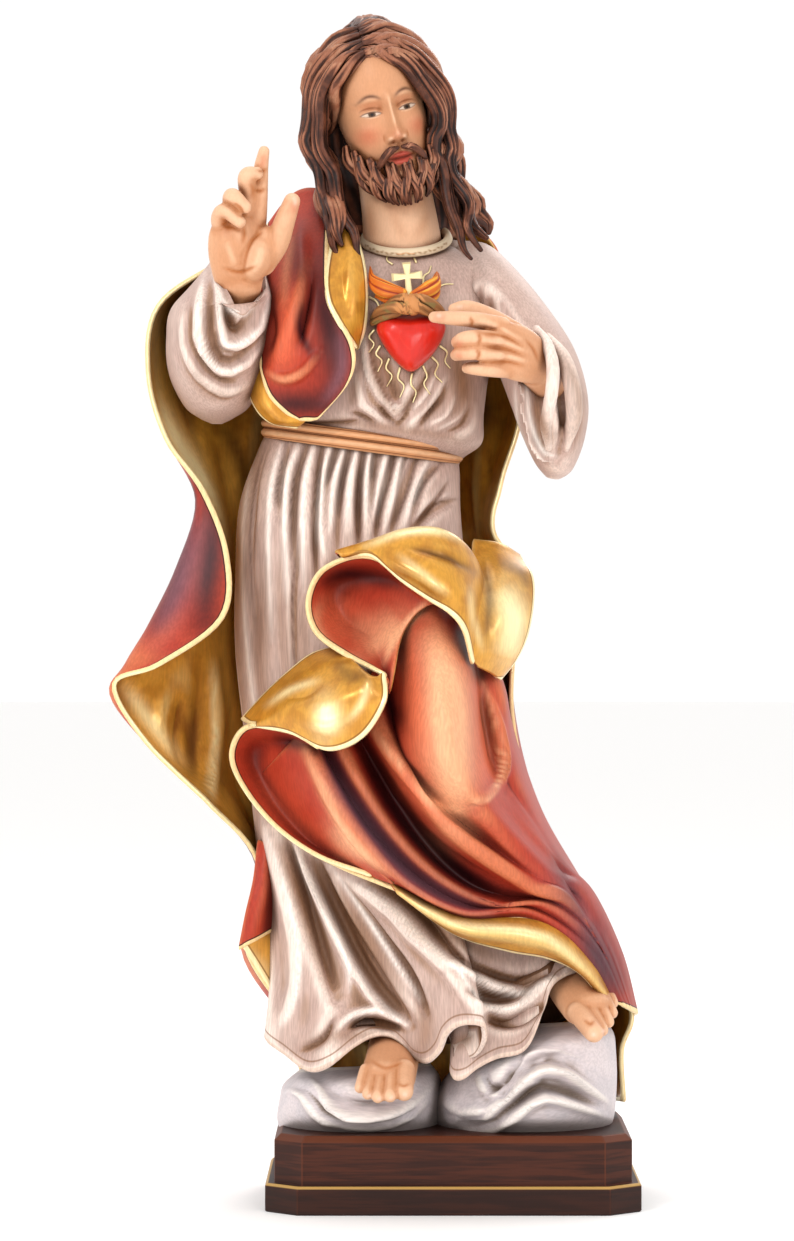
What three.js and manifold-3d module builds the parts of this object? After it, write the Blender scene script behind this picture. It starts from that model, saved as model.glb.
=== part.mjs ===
// A carved and painted wooden figure of a robed, bearded man who lifts one hand in blessing and points with
// the other to the heart on his chest. He stands on a carved cloud, on a stained wooden plinth with cut
// corners. Millimetres, +Z up, the front faces -Y, and the origin is the middle of the plinth's underside.
import * as THREE from "three";
import { mergeVertices } from "three/addons/utils/BufferGeometryUtils.js";
import Module from "manifold-3d";

const wasm = await Module();
wasm.setup();

// Driving dimensions
const FIGURE_HEIGHT = 551;
const PLINTH_WIDTH = 184;
const PLINTH_DEPTH = 140;
const FOOT_HEIGHT = 14;
const BLOCK_HEIGHT = 24;
const LEDGE = 4.5;
const LEDGE_ROUND = 1.8;
const CORNER_CUT = 16;
const TOP_BEVEL = 3;
const CLOTH = 3.4;
const FINENESS = 1.25;
const FIGURE_FACES = 9700;
const PLINTH_HEIGHT = FOOT_HEIGHT + BLOCK_HEIGHT;

// The figure is drawn as a front elevation. A drawn point is [across, down, depth]: across and down are steps
// of the elevation's grid, and depth is in millimetres of the drawing, negative towards the viewer. The
// elevation is what an eye sees from EYE_DISTANCE in front of the axis, so place() moves a nearer point
// towards the eye line.
const DRAWN_HEIGHT = 1102;
const DRAWN_FOOT = 1122;
const DRAWN_AXIS = 452;
const EYE_ACROSS = 397;
const EYE_DOWN = 620.5;
const EYE_DISTANCE = 2300;
const STEPS_PER_MM = 2;
const STEP = FIGURE_HEIGHT / DRAWN_HEIGHT;
const DRAWN_MM = STEP * STEPS_PER_MM;

const fine = (count) => Math.round(count * FINENESS);

function place([across, down, depth]) {
  const nearness = 1 + depth / EYE_DISTANCE;
  return new THREE.Vector3(
    STEP * ((across - EYE_ACROSS) * nearness + EYE_ACROSS - DRAWN_AXIS),
    DRAWN_MM * depth,
    PLINTH_HEIGHT + STEP * (DRAWN_FOOT - EYE_DOWN - (down - EYE_DOWN) * nearness),
  );
}

// Curves through drawn points

function curvePoints(points, count, closed = false) {
  const curve = new THREE.CatmullRomCurve3(
    points.map((p) => new THREE.Vector3(...p)),
    closed,
    "catmullrom",
    0.5,
  );
  const last = closed ? count : count - 1;
  return Array.from({ length: count }, (_, i) => curve.getPoint(i / last).toArray());
}

// A grid of drawn points through rows of control points: a curve along each row, then one across the rows.
function drawnGrid(rows, along, across, closed) {
  const smooth = rows.map((row) => curvePoints(row, along, closed));
  const columns = smooth[0].map((_, i) => curvePoints(smooth.map((row) => row[i]), across));
  return columns[0].map((_, j) => columns.map((column) => column[j]));
}

// Carving strokes: ridges and grooves drawn on the elevation, each with a path, a width in grid steps and a
// height in millimetres. A stroke moves what faces the viewer, or with BEHIND what faces away.
const STROKE_STEPS = 8;
const FRONT = -1;
const BEHIND = 1;

function stroke(path, width, height, side = FRONT) {
  const points = curvePoints(path.map(([across, down]) => [across, down, 0]), STROKE_STEPS + 1);
  return { points, width, height: height * DRAWN_MM, side };
}

// How strongly a stroke acts at a place: full on its path, fading over its width and at both its ends.
function strokeShare({ points, width }, across, down) {
  let nearest = Infinity;
  let share = 0;
  for (let i = 0; i < points.length - 1; i++) {
    const [fromAcross, fromDown] = points[i];
    const [runAcross, runDown] = [points[i + 1][0] - fromAcross, points[i + 1][1] - fromDown];
    const along = (across - fromAcross) * runAcross + (down - fromDown) * runDown;
    const t = THREE.MathUtils.clamp(along / (runAcross ** 2 + runDown ** 2), 0, 1);
    const distance = Math.hypot(across - fromAcross - t * runAcross, down - fromDown - t * runDown);
    if (distance < nearest) {
      nearest = distance;
      share = (i + t) / STROKE_STEPS;
    }
  }
  const ends = Math.sqrt(Math.sin(Math.PI * THREE.MathUtils.clamp(share, 0.02, 0.98)));
  return ends * Math.exp(-((nearest / width) ** 2));
}

// Solids

const volumeOf = (vertices, faces) =>
  faces.reduce((sum, [a, b, c]) => sum + vertices[a].dot(vertices[b].clone().cross(vertices[c])), 0);

// A closed list of faces as a solid, whichever way round its faces were listed.
function solid(vertices, faces) {
  const outward = volumeOf(vertices, faces) > 0 ? faces : faces.map(([a, b, c]) => [a, c, b]);
  const geometry = new THREE.BufferGeometry().setFromPoints(outward.flat().map((i) => vertices[i]));
  return geometrySolid(geometry);
}

function geometrySolid(geometry) {
  const merged = mergeVertices(geometry, 1e-4);
  return new wasm.Manifold(
    new wasm.Mesh({
      numProp: 3,
      vertProperties: merged.attributes.position.array,
      triVerts: new Uint32Array(merged.index.array),
    }),
  );
}

const centreOf = (points) =>
  points.reduce((sum, p) => sum.add(p), new THREE.Vector3()).divideScalar(points.length);

// The direction at each point of a grid that its faces look in, from its neighbours.
function gridNormals(grid, closed) {
  const rows = grid.length;
  const columns = grid[0].length;
  return grid.map((row, j) =>
    row.map((_, i) => {
      const left = closed ? (i + columns - 1) % columns : Math.max(0, i - 1);
      const right = closed ? (i + 1) % columns : Math.min(columns - 1, i + 1);
      const alongRow = row[right].clone().sub(row[left]);
      const acrossRows = grid[Math.min(rows - 1, j + 1)][i].clone().sub(grid[Math.max(0, j - 1)][i]);
      return alongRow.cross(acrossRows).normalize();
    }),
  );
}

function carved(drawn, grid, normals, strokes) {
  return grid.map((row, j) =>
    row.map((point, i) => {
      const normal = normals[j][i];
      const [across, down] = drawn[j][i];
      const height = strokes.reduce((sum, each) => {
        const facing = Math.max(0, each.side * normal.y);
        return facing ? sum + facing * each.height * strokeShare(each, across, down) : sum;
      }, 0);
      return point.clone().addScaledVector(normal, height);
    }),
  );
}

const turnedRound = (normals) => normals.map((row) => row.map((n) => n.negate()));

// A solid through closed rings of points, with both its ends closed.
function ringsSolid(grid) {
  const around = grid[0].length;
  const vertices = grid.flat();
  const faces = [];
  for (let j = 0; j < grid.length - 1; j++) {
    for (let i = 0; i < around; i++) {
      const [a, b] = [j * around + i, j * around + ((i + 1) % around)];
      faces.push([a, b, b + around], [a, b + around, a + around]);
    }
  }
  for (const [row, order] of [[0, -1], [grid.length - 1, 1]]) {
    const hub = vertices.length;
    vertices.push(centreOf(grid[row]));
    for (let i = 0; i < around; i++) {
      const edge = [row * around + i, row * around + ((i + 1) % around)];
      faces.push([...(order > 0 ? edge : edge.reverse()), hub]);
    }
  }
  return solid(vertices, faces);
}

// A body lofted through closed rings of drawn points. It may end in more rings, made from the last one.
function lofted(rings, around, along, strokes = [], endRings = () => []) {
  const drawn = drawnGrid(rings, fine(around), fine(along), true);
  const grid = drawn.map((row) => row.map(place));
  const normals = gridNormals(grid, true);
  const middle = Math.floor(grid.length / 2);
  const centre = centreOf(grid[middle]);
  const outward = grid[middle].reduce((sum, p, i) => sum + p.clone().sub(centre).dot(normals[middle][i]), 0);
  const shaped = carved(drawn, grid, outward < 0 ? turnedRound(normals) : normals, strokes);
  return ringsSolid([...shaped, ...endRings(shaped.at(-1))]);
}

// A sheet of cloth: rows of drawn points, with half the cloth's thickness on both sides of them.
function sheet(rows, along, across, strokes = []) {
  const columns = fine(along);
  const drawn = drawnGrid(rows, columns, fine(across), false);
  const grid = drawn.map((row) => row.map(place));
  const found = gridNormals(grid, false);
  const towardsViewer = found.flat().reduce((sum, n) => sum - n.y, 0);
  const normals = towardsViewer < 0 ? turnedRound(found) : found;
  const pressed = strokes.map((each) => ({ ...each, side: FRONT, height: -each.side * each.height }));
  const shaped = carved(drawn, grid, normals, pressed);
  const half = (CLOTH / 2) * DRAWN_MM;
  const face = (way) =>
    shaped.flatMap((row, j) => row.map((p, i) => p.clone().addScaledVector(normals[j][i], way * half)));
  const vertices = [...face(1), ...face(-1)];
  const back = shaped.length * columns;
  const faces = [];
  const quad = (a, b, c, d) => faces.push([a, b, c], [a, c, d]);
  for (let j = 0; j < shaped.length - 1; j++) {
    for (let i = 0; i < columns - 1; i++) {
      const a = j * columns + i;
      quad(a, a + 1, a + columns + 1, a + columns);
      quad(back + a, back + a + columns, back + a + columns + 1, back + a + 1);
    }
  }
  const steps = (count, at) => Array.from({ length: count - 1 }, (_, i) => at(i));
  const rim = [
    ...steps(columns, (i) => i),
    ...steps(shaped.length, (j) => j * columns + columns - 1),
    ...steps(columns, (i) => back - 1 - i),
    ...steps(shaped.length, (j) => (shaped.length - 1 - j) * columns),
  ];
  rim.forEach((a, i) => {
    const b = rim[(i + 1) % rim.length];
    quad(a, back + a, back + b, b);
  });
  return solid(vertices, faces);
}

// A round or flattened limb along drawn points, with a radius in drawn millimetres at each and rounded ends.
// A flattened limb is widest towards wide.
const LIMB_STEPS = 1.5;
const END_STEPS = [0.45, 0.88];
const ACROSS = new THREE.Vector3(1, 0, 0);
const UPRIGHT = new THREE.Vector3(0, 0, 1);

function limb(path, radii, sides = 6, flat = 1, wide = ACROSS) {
  const count = fine((path.length - 1) * LIMB_STEPS) + 1;
  const around = fine(sides);
  const centres = curvePoints(path, count).map(place);
  const sizes = curvePoints(radii.map((r) => [r, 0, 0]), count).map(([r]) => r * DRAWN_MM);
  const ringAt = (centre, direction, radius) => {
    const side = wide.clone().addScaledVector(direction, -wide.dot(direction)).normalize();
    const other = direction.clone().cross(side).multiplyScalar(flat);
    return turns(around).map((a) =>
      centre
        .clone()
        .addScaledVector(side, radius * Math.cos(a))
        .addScaledVector(other, radius * Math.sin(a)),
    );
  };
  const rings = centres.flatMap((centre, i) => {
    const [before, after] = [centres[Math.max(0, i - 1)], centres[Math.min(count - 1, i + 1)]];
    const direction = after.clone().sub(before).normalize();
    const rounding = (way) => (share) =>
      ringAt(
        centre.clone().addScaledVector(direction, way * share * sizes[i] * flat),
        direction,
        sizes[i] * Math.sqrt(1 - share * share),
      );
    return [
      ...(i === 0 ? END_STEPS.toReversed().map(rounding(-1)) : []),
      ringAt(centre, direction, sizes[i]),
      ...(i === count - 1 ? END_STEPS.map(rounding(1)) : []),
    ];
  });
  return ringsSolid(rings);
}

// A cord closed round a ring of drawn points
function hoop(ring, radius, sides, steps) {
  const count = fine(steps);
  const path = curvePoints(ring, count, true).map(place);
  const vertices = path.flatMap((centre, i) => {
    const direction = path[(i + 1) % count].clone().sub(path[(i + count - 1) % count]).normalize();
    const side = UPRIGHT.clone().addScaledVector(direction, -direction.z).normalize();
    const other = direction.clone().cross(side);
    return turns(sides).map((a) =>
      centre
        .clone()
        .addScaledVector(side, radius * DRAWN_MM * Math.cos(a))
        .addScaledVector(other, radius * DRAWN_MM * Math.sin(a)),
    );
  });
  const faces = [];
  for (let j = 0; j < count; j++) {
    for (let i = 0; i < sides; i++) {
      const [a, b] = [j * sides + i, j * sides + ((i + 1) % sides)];
      const [c, d] = [((j + 1) % count) * sides + i, ((j + 1) % count) * sides + ((i + 1) % sides)];
      faces.push([a, b, d], [a, d, c]);
    }
  }
  return solid(vertices, faces);
}

// Faces of the joined solid

function pointsAndFaces(made) {
  const { vertProperties, triVerts } = made.getMesh();
  const points = Array.from({ length: vertProperties.length / 3 }, (_, i) =>
    new THREE.Vector3().fromArray(vertProperties, 3 * i),
  );
  const faces = Array.from({ length: triVerts.length / 3 }, (_, k) => [
    ...triVerts.subarray(3 * k, 3 * k + 3),
  ]);
  return { points, faces };
}

// The shell with the largest volume, without the walls of pockets that no opening reaches
function outerShell({ points, faces }) {
  const parent = points.map((_, i) => i);
  const rootOf = (i) => {
    while (parent[i] !== i) {
      parent[i] = parent[parent[i]];
      i = parent[i];
    }
    return i;
  };
  faces.forEach(([a, b, c]) => {
    parent[rootOf(a)] = rootOf(b);
    parent[rootOf(b)] = rootOf(c);
  });
  const shells = Map.groupBy(faces, ([a]) => rootOf(a));
  const volumes = [...shells.values()].map((shell) => volumeOf(points, shell));
  return { points, faces: [...shells.values()][volumes.indexOf(Math.max(...volumes))] };
}

// The sum of squared distances to planes, kept as the ten numbers of a symmetric 4 by 4 matrix
const PLANE_PAIRS = [0, 1, 2, 3].flatMap((r) => [0, 1, 2, 3].filter((s) => s >= r).map((s) => [r, s]));

function addPlane(sum, normal, offset, weight) {
  const plane = [normal.x, normal.y, normal.z, offset];
  PLANE_PAIRS.forEach(([r, s], k) => {
    sum[k] += weight * (r === s ? 1 : 2) * plane[r] * plane[s];
  });
}

function strayFrom(sum, p) {
  const { x, y, z } = p;
  return (
    sum[0] * x * x + sum[1] * x * y + sum[2] * x * z + sum[3] * x +
    sum[4] * y * y + sum[5] * y * z + sum[6] * y +
    sum[7] * z * z + sum[8] * z + sum[9]
  );
}

// Head and hands keep more of their faces: a middle on the elevation, a reach in grid steps and a weight
const CARE = [
  [[388, 125], 75, 9],
  [[250, 225], 75, 5],
  [[495, 345], 65, 5],
  [[410, 315], 60, 3],
  [[220, 325], 60, 2.5],
];
const careAt = (point) => {
  const across = point.x / STEP + DRAWN_AXIS;
  const down = DRAWN_FOOT - (point.z - PLINTH_HEIGHT) / STEP;
  const near = CARE.filter(([middle, reach]) => Math.hypot(across - middle[0], down - middle[1]) < reach);
  return Math.max(1, ...near.map(([, , weight]) => weight));
};

// Where two walls only touch at a point, each wall's point moves a little towards its own neighbours.
const TOUCH = 0.01;
const TOUCH_GAP = 0.05;

function partTouching(at, kept, faces) {
  const together = Map.groupBy(kept, (i) => at[i].toArray().map((v) => Math.round(v / TOUCH)).join());
  const touching = [...together.values()].filter((group) => group.length > 1).flat();
  const moves = touching.map((i) => {
    const ring = faces.filter((face) => face.includes(i)).flat().filter((k) => k !== i);
    return centreOf(ring.map((k) => at[k])).sub(at[i]).setLength(TOUCH_GAP);
  });
  touching.forEach((i, k) => at[i].add(moves[k]));
}

const LEAST_TURN = 0.25;
const ROUND_SHARE = 0.1;
const LENGTH_WEIGHT = 0.002;
const faceNormal = (a, b, c) => b.clone().sub(a).cross(c.clone().sub(a));

// The same solid with fewer faces. Round after round, short edges are drawn together to a point, those first
// that leave the surface nearest to where it was. An edge stays if drawing it together would fold or pinch
// the solid.
function leaner({ points, faces }, most) {
  const at = points.map((p) => p.clone());
  const strays = points.map(() => new Float64Array(PLANE_PAIRS.length));
  faces.forEach((face) => {
    const normal = faceNormal(...face.map((i) => at[i]));
    const weight = (careAt(at[face[0]]) * normal.length()) / 2;
    normal.normalize();
    face.forEach((i) => addPlane(strays[i], normal, -normal.dot(at[face[0]]), weight));
  });
  const meetingPlace = (u, v) => {
    const middle = at[u].clone().lerp(at[v], 0.5);
    const costs = [middle, at[u], at[v]].map((p) => strayFrom(strays[u], p) + strayFrom(strays[v], p));
    const least = costs.indexOf(Math.min(...costs));
    const cost = costs[least] + LENGTH_WEIGHT * at[u].distanceToSquared(at[v]) ** 2;
    return { u, v, cost, place: [middle, at[u], at[v]][least].clone() };
  };
  let left = faces;
  for (let before = Infinity; left.length > most && left.length < before; ) {
    before = left.length;
    const facesAt = at.map(() => []);
    left.forEach((face) => face.forEach((i) => facesAt[i].push(face)));
    const edges = left.flatMap(([a, b, c]) => [[a, b], [b, c], [c, a]]).filter(([u, v]) => u < v);
    const queue = edges.map(([u, v]) => meetingPlace(u, v)).sort((p, q) => p.cost - q.cost);
    const stop = left.length - Math.max(most, Math.ceil(before * (1 - ROUND_SHARE)));
    const settled = new Uint8Array(at.length);
    const gone = new Set();
    for (const { u, v, place: meeting } of queue) {
      if (gone.size >= stop) break;
      if (settled[u] || settled[v]) continue;
      const ring = (i) => new Set(facesAt[i].flat());
      const [ringU, ringV] = [ring(u), ring(v)];
      const shared = [...ringU].filter((i) => i !== u && i !== v && ringV.has(i));
      const joinsBoth = (face) => face.includes(u) && face.includes(v);
      const staying = [...facesAt[u], ...facesAt[v]].filter((face) => !joinsBoth(face));
      const folds = staying.some((face) => {
        const was = faceNormal(...face.map((i) => at[i]));
        const is = faceNormal(...face.map((i) => (i === u || i === v ? meeting : at[i])));
        return was.dot(is) <= LEAST_TURN * was.length() * is.length();
      });
      if (shared.length !== 2 || folds) continue;
      facesAt[u].filter((face) => face.includes(v)).forEach((face) => gone.add(face));
      facesAt[v].forEach((face) => face.forEach((i, k) => {
        if (i === v && !gone.has(face)) face[k] = u;
      }));
      at[u] = meeting;
      strays[v].forEach((value, k) => {
        strays[u][k] += value;
      });
      [...ringU, ...ringV].forEach((i) => {
        settled[i] = 1;
      });
    }
    left = left.filter((face) => !gone.has(face));
  }
  const kept = [...new Set(left.flat())];
  partTouching(at, kept, left);
  const places = new Map(kept.map((i, k) => [i, k]));
  return { points: kept.map((i) => at[i]), faces: left.map((face) => face.map((i) => places.get(i))) };
}

// Rings of drawn points

const RING_POINTS = 12;
const turns = (count) => Array.from({ length: count }, (_, i) => (2 * Math.PI * i) / count);

// A level ring that reaches from left to right and from front to back, lower to its right by tilt.
const oval = (down, left, right, front, back, tilt = 0) =>
  turns(RING_POINTS).map((a) => [
    (left + right) / 2 + ((right - left) / 2) * Math.sin(a),
    down + tilt * ((right - left) / 2) * Math.sin(a),
    (front + back) / 2 - ((back - front) / 2) * Math.cos(a),
  ]);

// A ring around a middle, spanned by two half axes.
const spannedPoint = (middle, u, v, a) => middle.map((m, k) => m + u[k] * Math.sin(a) + v[k] * Math.cos(a));
const spanned = (middle, u, v) => turns(RING_POINTS).map((a) => spannedPoint(middle, u, v, a));

// The plinth: levels of a rectangle with its corners cut off.
function plinth() {
  const levels = [
    [0, 0],
    [0, FOOT_HEIGHT - LEDGE_ROUND],
    [LEDGE_ROUND, FOOT_HEIGHT],
    [LEDGE, FOOT_HEIGHT],
    [LEDGE, PLINTH_HEIGHT - TOP_BEVEL],
    [LEDGE + TOP_BEVEL, PLINTH_HEIGHT],
  ];
  const outline = ([inset, height]) => {
    const [x, y] = [PLINTH_WIDTH / 2 - inset, PLINTH_DEPTH / 2 - inset];
    const cut = CORNER_CUT - inset / 2;
    const [nearX, nearY] = [x - cut, y - cut];
    return [
      [x, -nearY], [x, nearY], [nearX, y], [-nearX, y], [-x, nearY], [-x, -nearY], [-nearX, -y], [nearX, -y],
    ].map(([atX, atY]) => new THREE.Vector3(atX, atY, height));
  };
  return ringsSolid(levels.map(outline));
}

// The tunic above and below the belt

const TORSO = [
  [234, 374, 444, -18, 20, 0],
  [252, 336, 474, -27, 28, 0.02],
  [268, 300, 504, -32, 33, 0.03],
  [300, 286, 508, -40, 37, 0.05],
  [350, 284, 492, -44, 38, 0.08],
  [400, 274, 484, -43, 37, 0.12],
  [428, 270, 482, -40, 35, 0.14],
  [446, 272, 462, -33, 32, 0.14],
  [466, 262, 456, -30, 32, 0.1],
];
const CHEST_FOLDS = [
  stroke([[366, 332], [372, 368], [388, 402], [398, 416]], 6, 3.4),
  stroke([[432, 362], [416, 392], [398, 414]], 6, 3),
  stroke([[384, 350], [392, 380], [399, 402]], 7, -2.6),
  stroke([[446, 376], [430, 408], [408, 428]], 5, 2.8),
  stroke([[356, 366], [362, 398], [374, 418]], 6, 2.6),
  stroke([[474, 396], [470, 424], [452, 438]], 8, 4),
];
const torso = () => lofted(TORSO.map((station) => oval(...station)), 32, 16, CHEST_FOLDS);

// Each station of the skirt ends with the share that the hem's waves have there.
const SKIRT = [
  [436, 272, 456, -32, 32, 0.14, 0],
  [462, 258, 459, -38, 35, 0.1, 0],
  [510, 240, 460, -45, 40, 0.04, 0],
  [570, 236, 466, -50, 44, 0, 0],
  [650, 236, 482, -54, 48, 0, 0.06],
  [740, 246, 504, -57, 50, 0, 0.15],
  [840, 258, 530, -60, 52, 0, 0.35],
  [920, 270, 552, -61, 53, 0, 0.6],
  [985, 274, 564, -62, 54, 0, 0.82],
];
const HEM_LEVEL = [1040, 270, 575, -62, 54];
const HEM_FRONT = [
  [264, 1036, -22], [284, 1054, -40], [308, 1070, -52], [331, 1064, -60], [355, 1046, -57], [374, 1036, -54],
  [390, 1036, -54], [404, 1046, -56], [416, 1059, -60], [427, 1061, -64], [437, 1052, -68], [444, 1036, -72],
  [455, 1026, -76], [470, 1023, -78], [485, 1027, -76], [487, 1040, -69], [479, 1053, -62], [462, 1060, -58],
  [450, 1067, -58], [453, 1078, -62], [465, 1077, -64], [480, 1066, -61], [498, 1057, -59], [522, 1051, -58],
  [536, 1030, -59], [546, 1003, -58], [556, 982, -54], [580, 972, -42],
];
const HEM_BACK = [
  [592, 990, -8], [560, 1022, 40], [470, 1040, 56], [370, 1040, 54], [296, 1026, 36], [268, 1014, 4],
];
const FRONT_ARC = (95 * Math.PI) / 180;
const HEM_LIP = 3;
const HEM_RECESS = 9;

function skirtRings() {
  const hem = [...HEM_FRONT, ...HEM_BACK];
  const angles = hem.map((_, i) =>
    i < HEM_FRONT.length
      ? FRONT_ARC * ((2 * i) / (HEM_FRONT.length - 1) - 1)
      : FRONT_ARC + ((2 * Math.PI - 2 * FRONT_ARC) * (i + 1 - HEM_FRONT.length)) / (HEM_BACK.length + 1),
  );
  const round = (a, left, right, front, back) => [
    (left + right) / 2 + ((right - left) / 2) * Math.sin(a),
    (front + back) / 2 - ((back - front) / 2) * Math.cos(a),
  ];
  const [hemDown, ...hemSpan] = HEM_LEVEL;
  const ringAt = ([down, left, right, front, back, tilt, share]) =>
    hem.map((point, i) => {
      const [across, depth] = round(angles[i], left, right, front, back);
      const [plainAcross, plainDepth] = round(angles[i], ...hemSpan);
      return [
        across + share * (point[0] - plainAcross),
        down + share * (point[1] - hemDown) + tilt * (across - (left + right) / 2),
        depth + share * (point[2] - plainDepth),
      ];
    });
  return [...SKIRT.map(ringAt), hem];
}

// Under the hem the cloth is cut back, so that its edge stands as a lip.
function hemRings(rim) {
  const inwards = rim.map((_, i) => {
    const run = rim[(i + 1) % rim.length].clone().sub(rim[(i + rim.length - 1) % rim.length]);
    return new THREE.Vector3(-run.y, run.x, 0).normalize();
  });
  const centre = centreOf(rim);
  const pointsIn = rim.reduce((sum, p, i) => sum + centre.clone().sub(p).dot(inwards[i]), 0) > 0 ? 1 : -1;
  const shifted = (inset, rise) =>
    rim.map((p, i) =>
      p
        .clone()
        .addScaledVector(inwards[i], pointsIn * inset * DRAWN_MM)
        .addScaledVector(UPRIGHT, rise * DRAWN_MM),
    );
  return [shifted(HEM_LIP, 0), shifted(HEM_LIP + 1, HEM_RECESS)];
}

// Grooves between the gathered pleats under the belt, then the long folds down to the hem.
const PLEAT_WIDTH = 4.2;
const PLEAT_DEPTH = -3.2;
const PLEATS = [
  [[268, 440], [254, 480], [250, 560]],
  [[290, 440], [280, 468], [277, 520]],
  [[307, 440], [295, 485], [292, 575]],
  [[321, 442], [316, 485], [314, 590]],
  [[340, 444], [326, 480], [322, 530]],
  [[352, 446], [339, 490], [337, 560]],
  [[365, 448], [359, 490], [359, 556]],
  [[379, 450], [373, 478], [371, 520]],
  [[395, 451], [383, 490], [376, 545]],
  [[415, 455], [401, 495], [390, 540]],
  [[438, 462], [423, 482], [410, 536]],
  [[456, 500], [434, 512], [412, 534]],
].map((path) => stroke(path, PLEAT_WIDTH, PLEAT_DEPTH));
const SKIRT_FOLDS = [
  ...PLEATS,
  stroke([[262, 560], [252, 640], [256, 720], [270, 800]], 8, -3),
  stroke([[284, 530], [276, 600], [282, 700], [300, 780]], 9, -3.4),
  stroke([[306, 540], [298, 600], [300, 660]], 8, -2.4),
  stroke([[262, 818], [274, 860], [290, 930], [298, 985], [280, 1030]], 11, 5),
  stroke([[280, 836], [295, 880], [316, 940], [336, 996]], 8, -8),
  stroke([[298, 848], [316, 895], [336, 940], [368, 998], [404, 1024]], 5, 5),
  stroke([[312, 860], [338, 915], [370, 974], [410, 1028]], 6, -6),
  stroke([[326, 872], [362, 932], [392, 980], [420, 1014]], 8, 3.4),
  stroke([[343, 882], [384, 944], [412, 985], [428, 1020]], 4.5, -4),
  stroke([[347, 880], [386, 904], [418, 938], [448, 964], [468, 992], [482, 1020]], 10, 7),
  stroke([[374, 882], [414, 911], [442, 950], [464, 978], [492, 1012]], 7, -7),
  stroke([[449, 956], [484, 981], [520, 993], [552, 978]], 6, 4.5),
  stroke([[468, 990], [500, 996], [540, 984]], 4.5, -4),
  stroke([[480, 1004], [504, 1008], [534, 996], [552, 980]], 5, 4),
  stroke([[484, 1018], [512, 1022], [544, 1004]], 5, -3),
  stroke([[340, 1026], [362, 1014], [396, 1018]], 5, 3.4),
  stroke([[346, 1028], [366, 1022], [396, 1027]], 4, -4),
];
const skirt = () => lofted(skirtRings(), 64, 24, SKIRT_FOLDS, hemRings);

// The belt's two cords and the neckline's band
const BELT = [[[363, 436, -1], [97, 13, 0], [0, 0, -37]], [[362, 445, -1], [95, 13, 0], [0, 0, -36]]];
const BELT_CORD = 2.6;
const NECKLINE = [[406, 240, -5], [43, -1, 0], [0, 14, -25]];
const NECKLINE_CORD = 2;
const cords = () => [
  ...BELT.map((span) => hoop(spanned(...span), BELT_CORD, 5, 20)),
  hoop(spanned(...NECKLINE), NECKLINE_CORD, 4, 16),
];

// Sleeves: each hangs as a bag under its wrist, with an open cuff.
const RIGHT_SLEEVE = [
  oval(419, 204, 230, -30, -4),
  oval(406, 184, 250, -46, 14),
  oval(375, 169, 266, -60, 20),
  oval(340, 166, 273, -68, 20),
  oval(305, 173, 275, -71, 14),
  spanned([240.5, 283, -47], [29, 9, 0], [0, 33, -25]),
  spanned([240.5, 288, -45], [24, 8, 0], [0, 28, -20]),
  spanned([240, 322, -34], [17, 4, 0], [0, 14, -13]),
];
const RIGHT_SLEEVE_FOLDS = [
  stroke([[211, 256], [220, 304], [222, 338], [236, 348], [256, 336], [267, 314], [268, 270]], 4.5, 4),
  stroke([[204, 280], [197, 327], [208, 356], [228, 372], [252, 358], [270, 330]], 5, 4),
  stroke([[208, 270], [209, 330], [222, 360], [246, 356], [266, 328]], 5, -4),
  stroke([[214, 262], [228, 318], [238, 330], [252, 316], [262, 280]], 5, -4),
  stroke([[182, 320], [196, 372], [226, 392], [258, 378]], 7, 3),
  stroke([[186, 300], [190, 350], [214, 384], [246, 376]], 6, -2.6),
];
const LEFT_SLEEVE = [
  spanned([484, 282, 2], [24, -22, 0], [0, 0, -30]),
  spanned([512, 318, -2], [30, -18, 0], [0, 0, -34]),
  spanned([536, 360, -12], [38, -12, 0], [0, 0, -38]),
  spanned([549, 400, -26], [39, -3, 0], [0, 2, -38]),
  spanned([553, 435, -34], [32, 2, 0], [0, 2, -32]),
  spanned([554, 466, -38], [19, 3, 0], [0, 1, -19]),
  spanned([553, 479, -38], [6, 1, 0], [0, 0, -6]),
];
const LEFT_CUFF = [
  spanned([560, 405, -44], [10, 0, 8], [2, 46, 0]),
  spanned([546, 404, -58], [15, 2, 9], [4, 60, -2]),
  spanned([533, 402, -64], [15, 3, 10], [6, 58, 0]),
  spanned([535, 401, -62], [12, 2, 8], [5, 52, 0]),
  spanned([548, 402, -52], [7, 1, 5], [3, 36, 0]),
];
const LEFT_SLEEVE_FOLDS = [
  stroke([[560, 352], [575, 388], [582, 424], [570, 460]], 6, 4),
  stroke([[552, 350], [563, 392], [568, 430], [558, 464]], 6, -5),
  stroke([[462, 290], [490, 292], [520, 330]], 9, 3),
  stroke([[492, 296], [488, 314], [498, 330]], 4, -3.5),
];
const UPPER_ARM = [[[306, 246, 2], [258, 305, 0], [222, 362, -14]], [26, 24, 20]];
const sleeves = () => [
  lofted(RIGHT_SLEEVE, 30, 20, RIGHT_SLEEVE_FOLDS),
  limb(...UPPER_ARM, 8),
  lofted(LEFT_SLEEVE, 24, 14, LEFT_SLEEVE_FOLDS),
  lofted(LEFT_CUFF, 16, 7),
];

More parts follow.
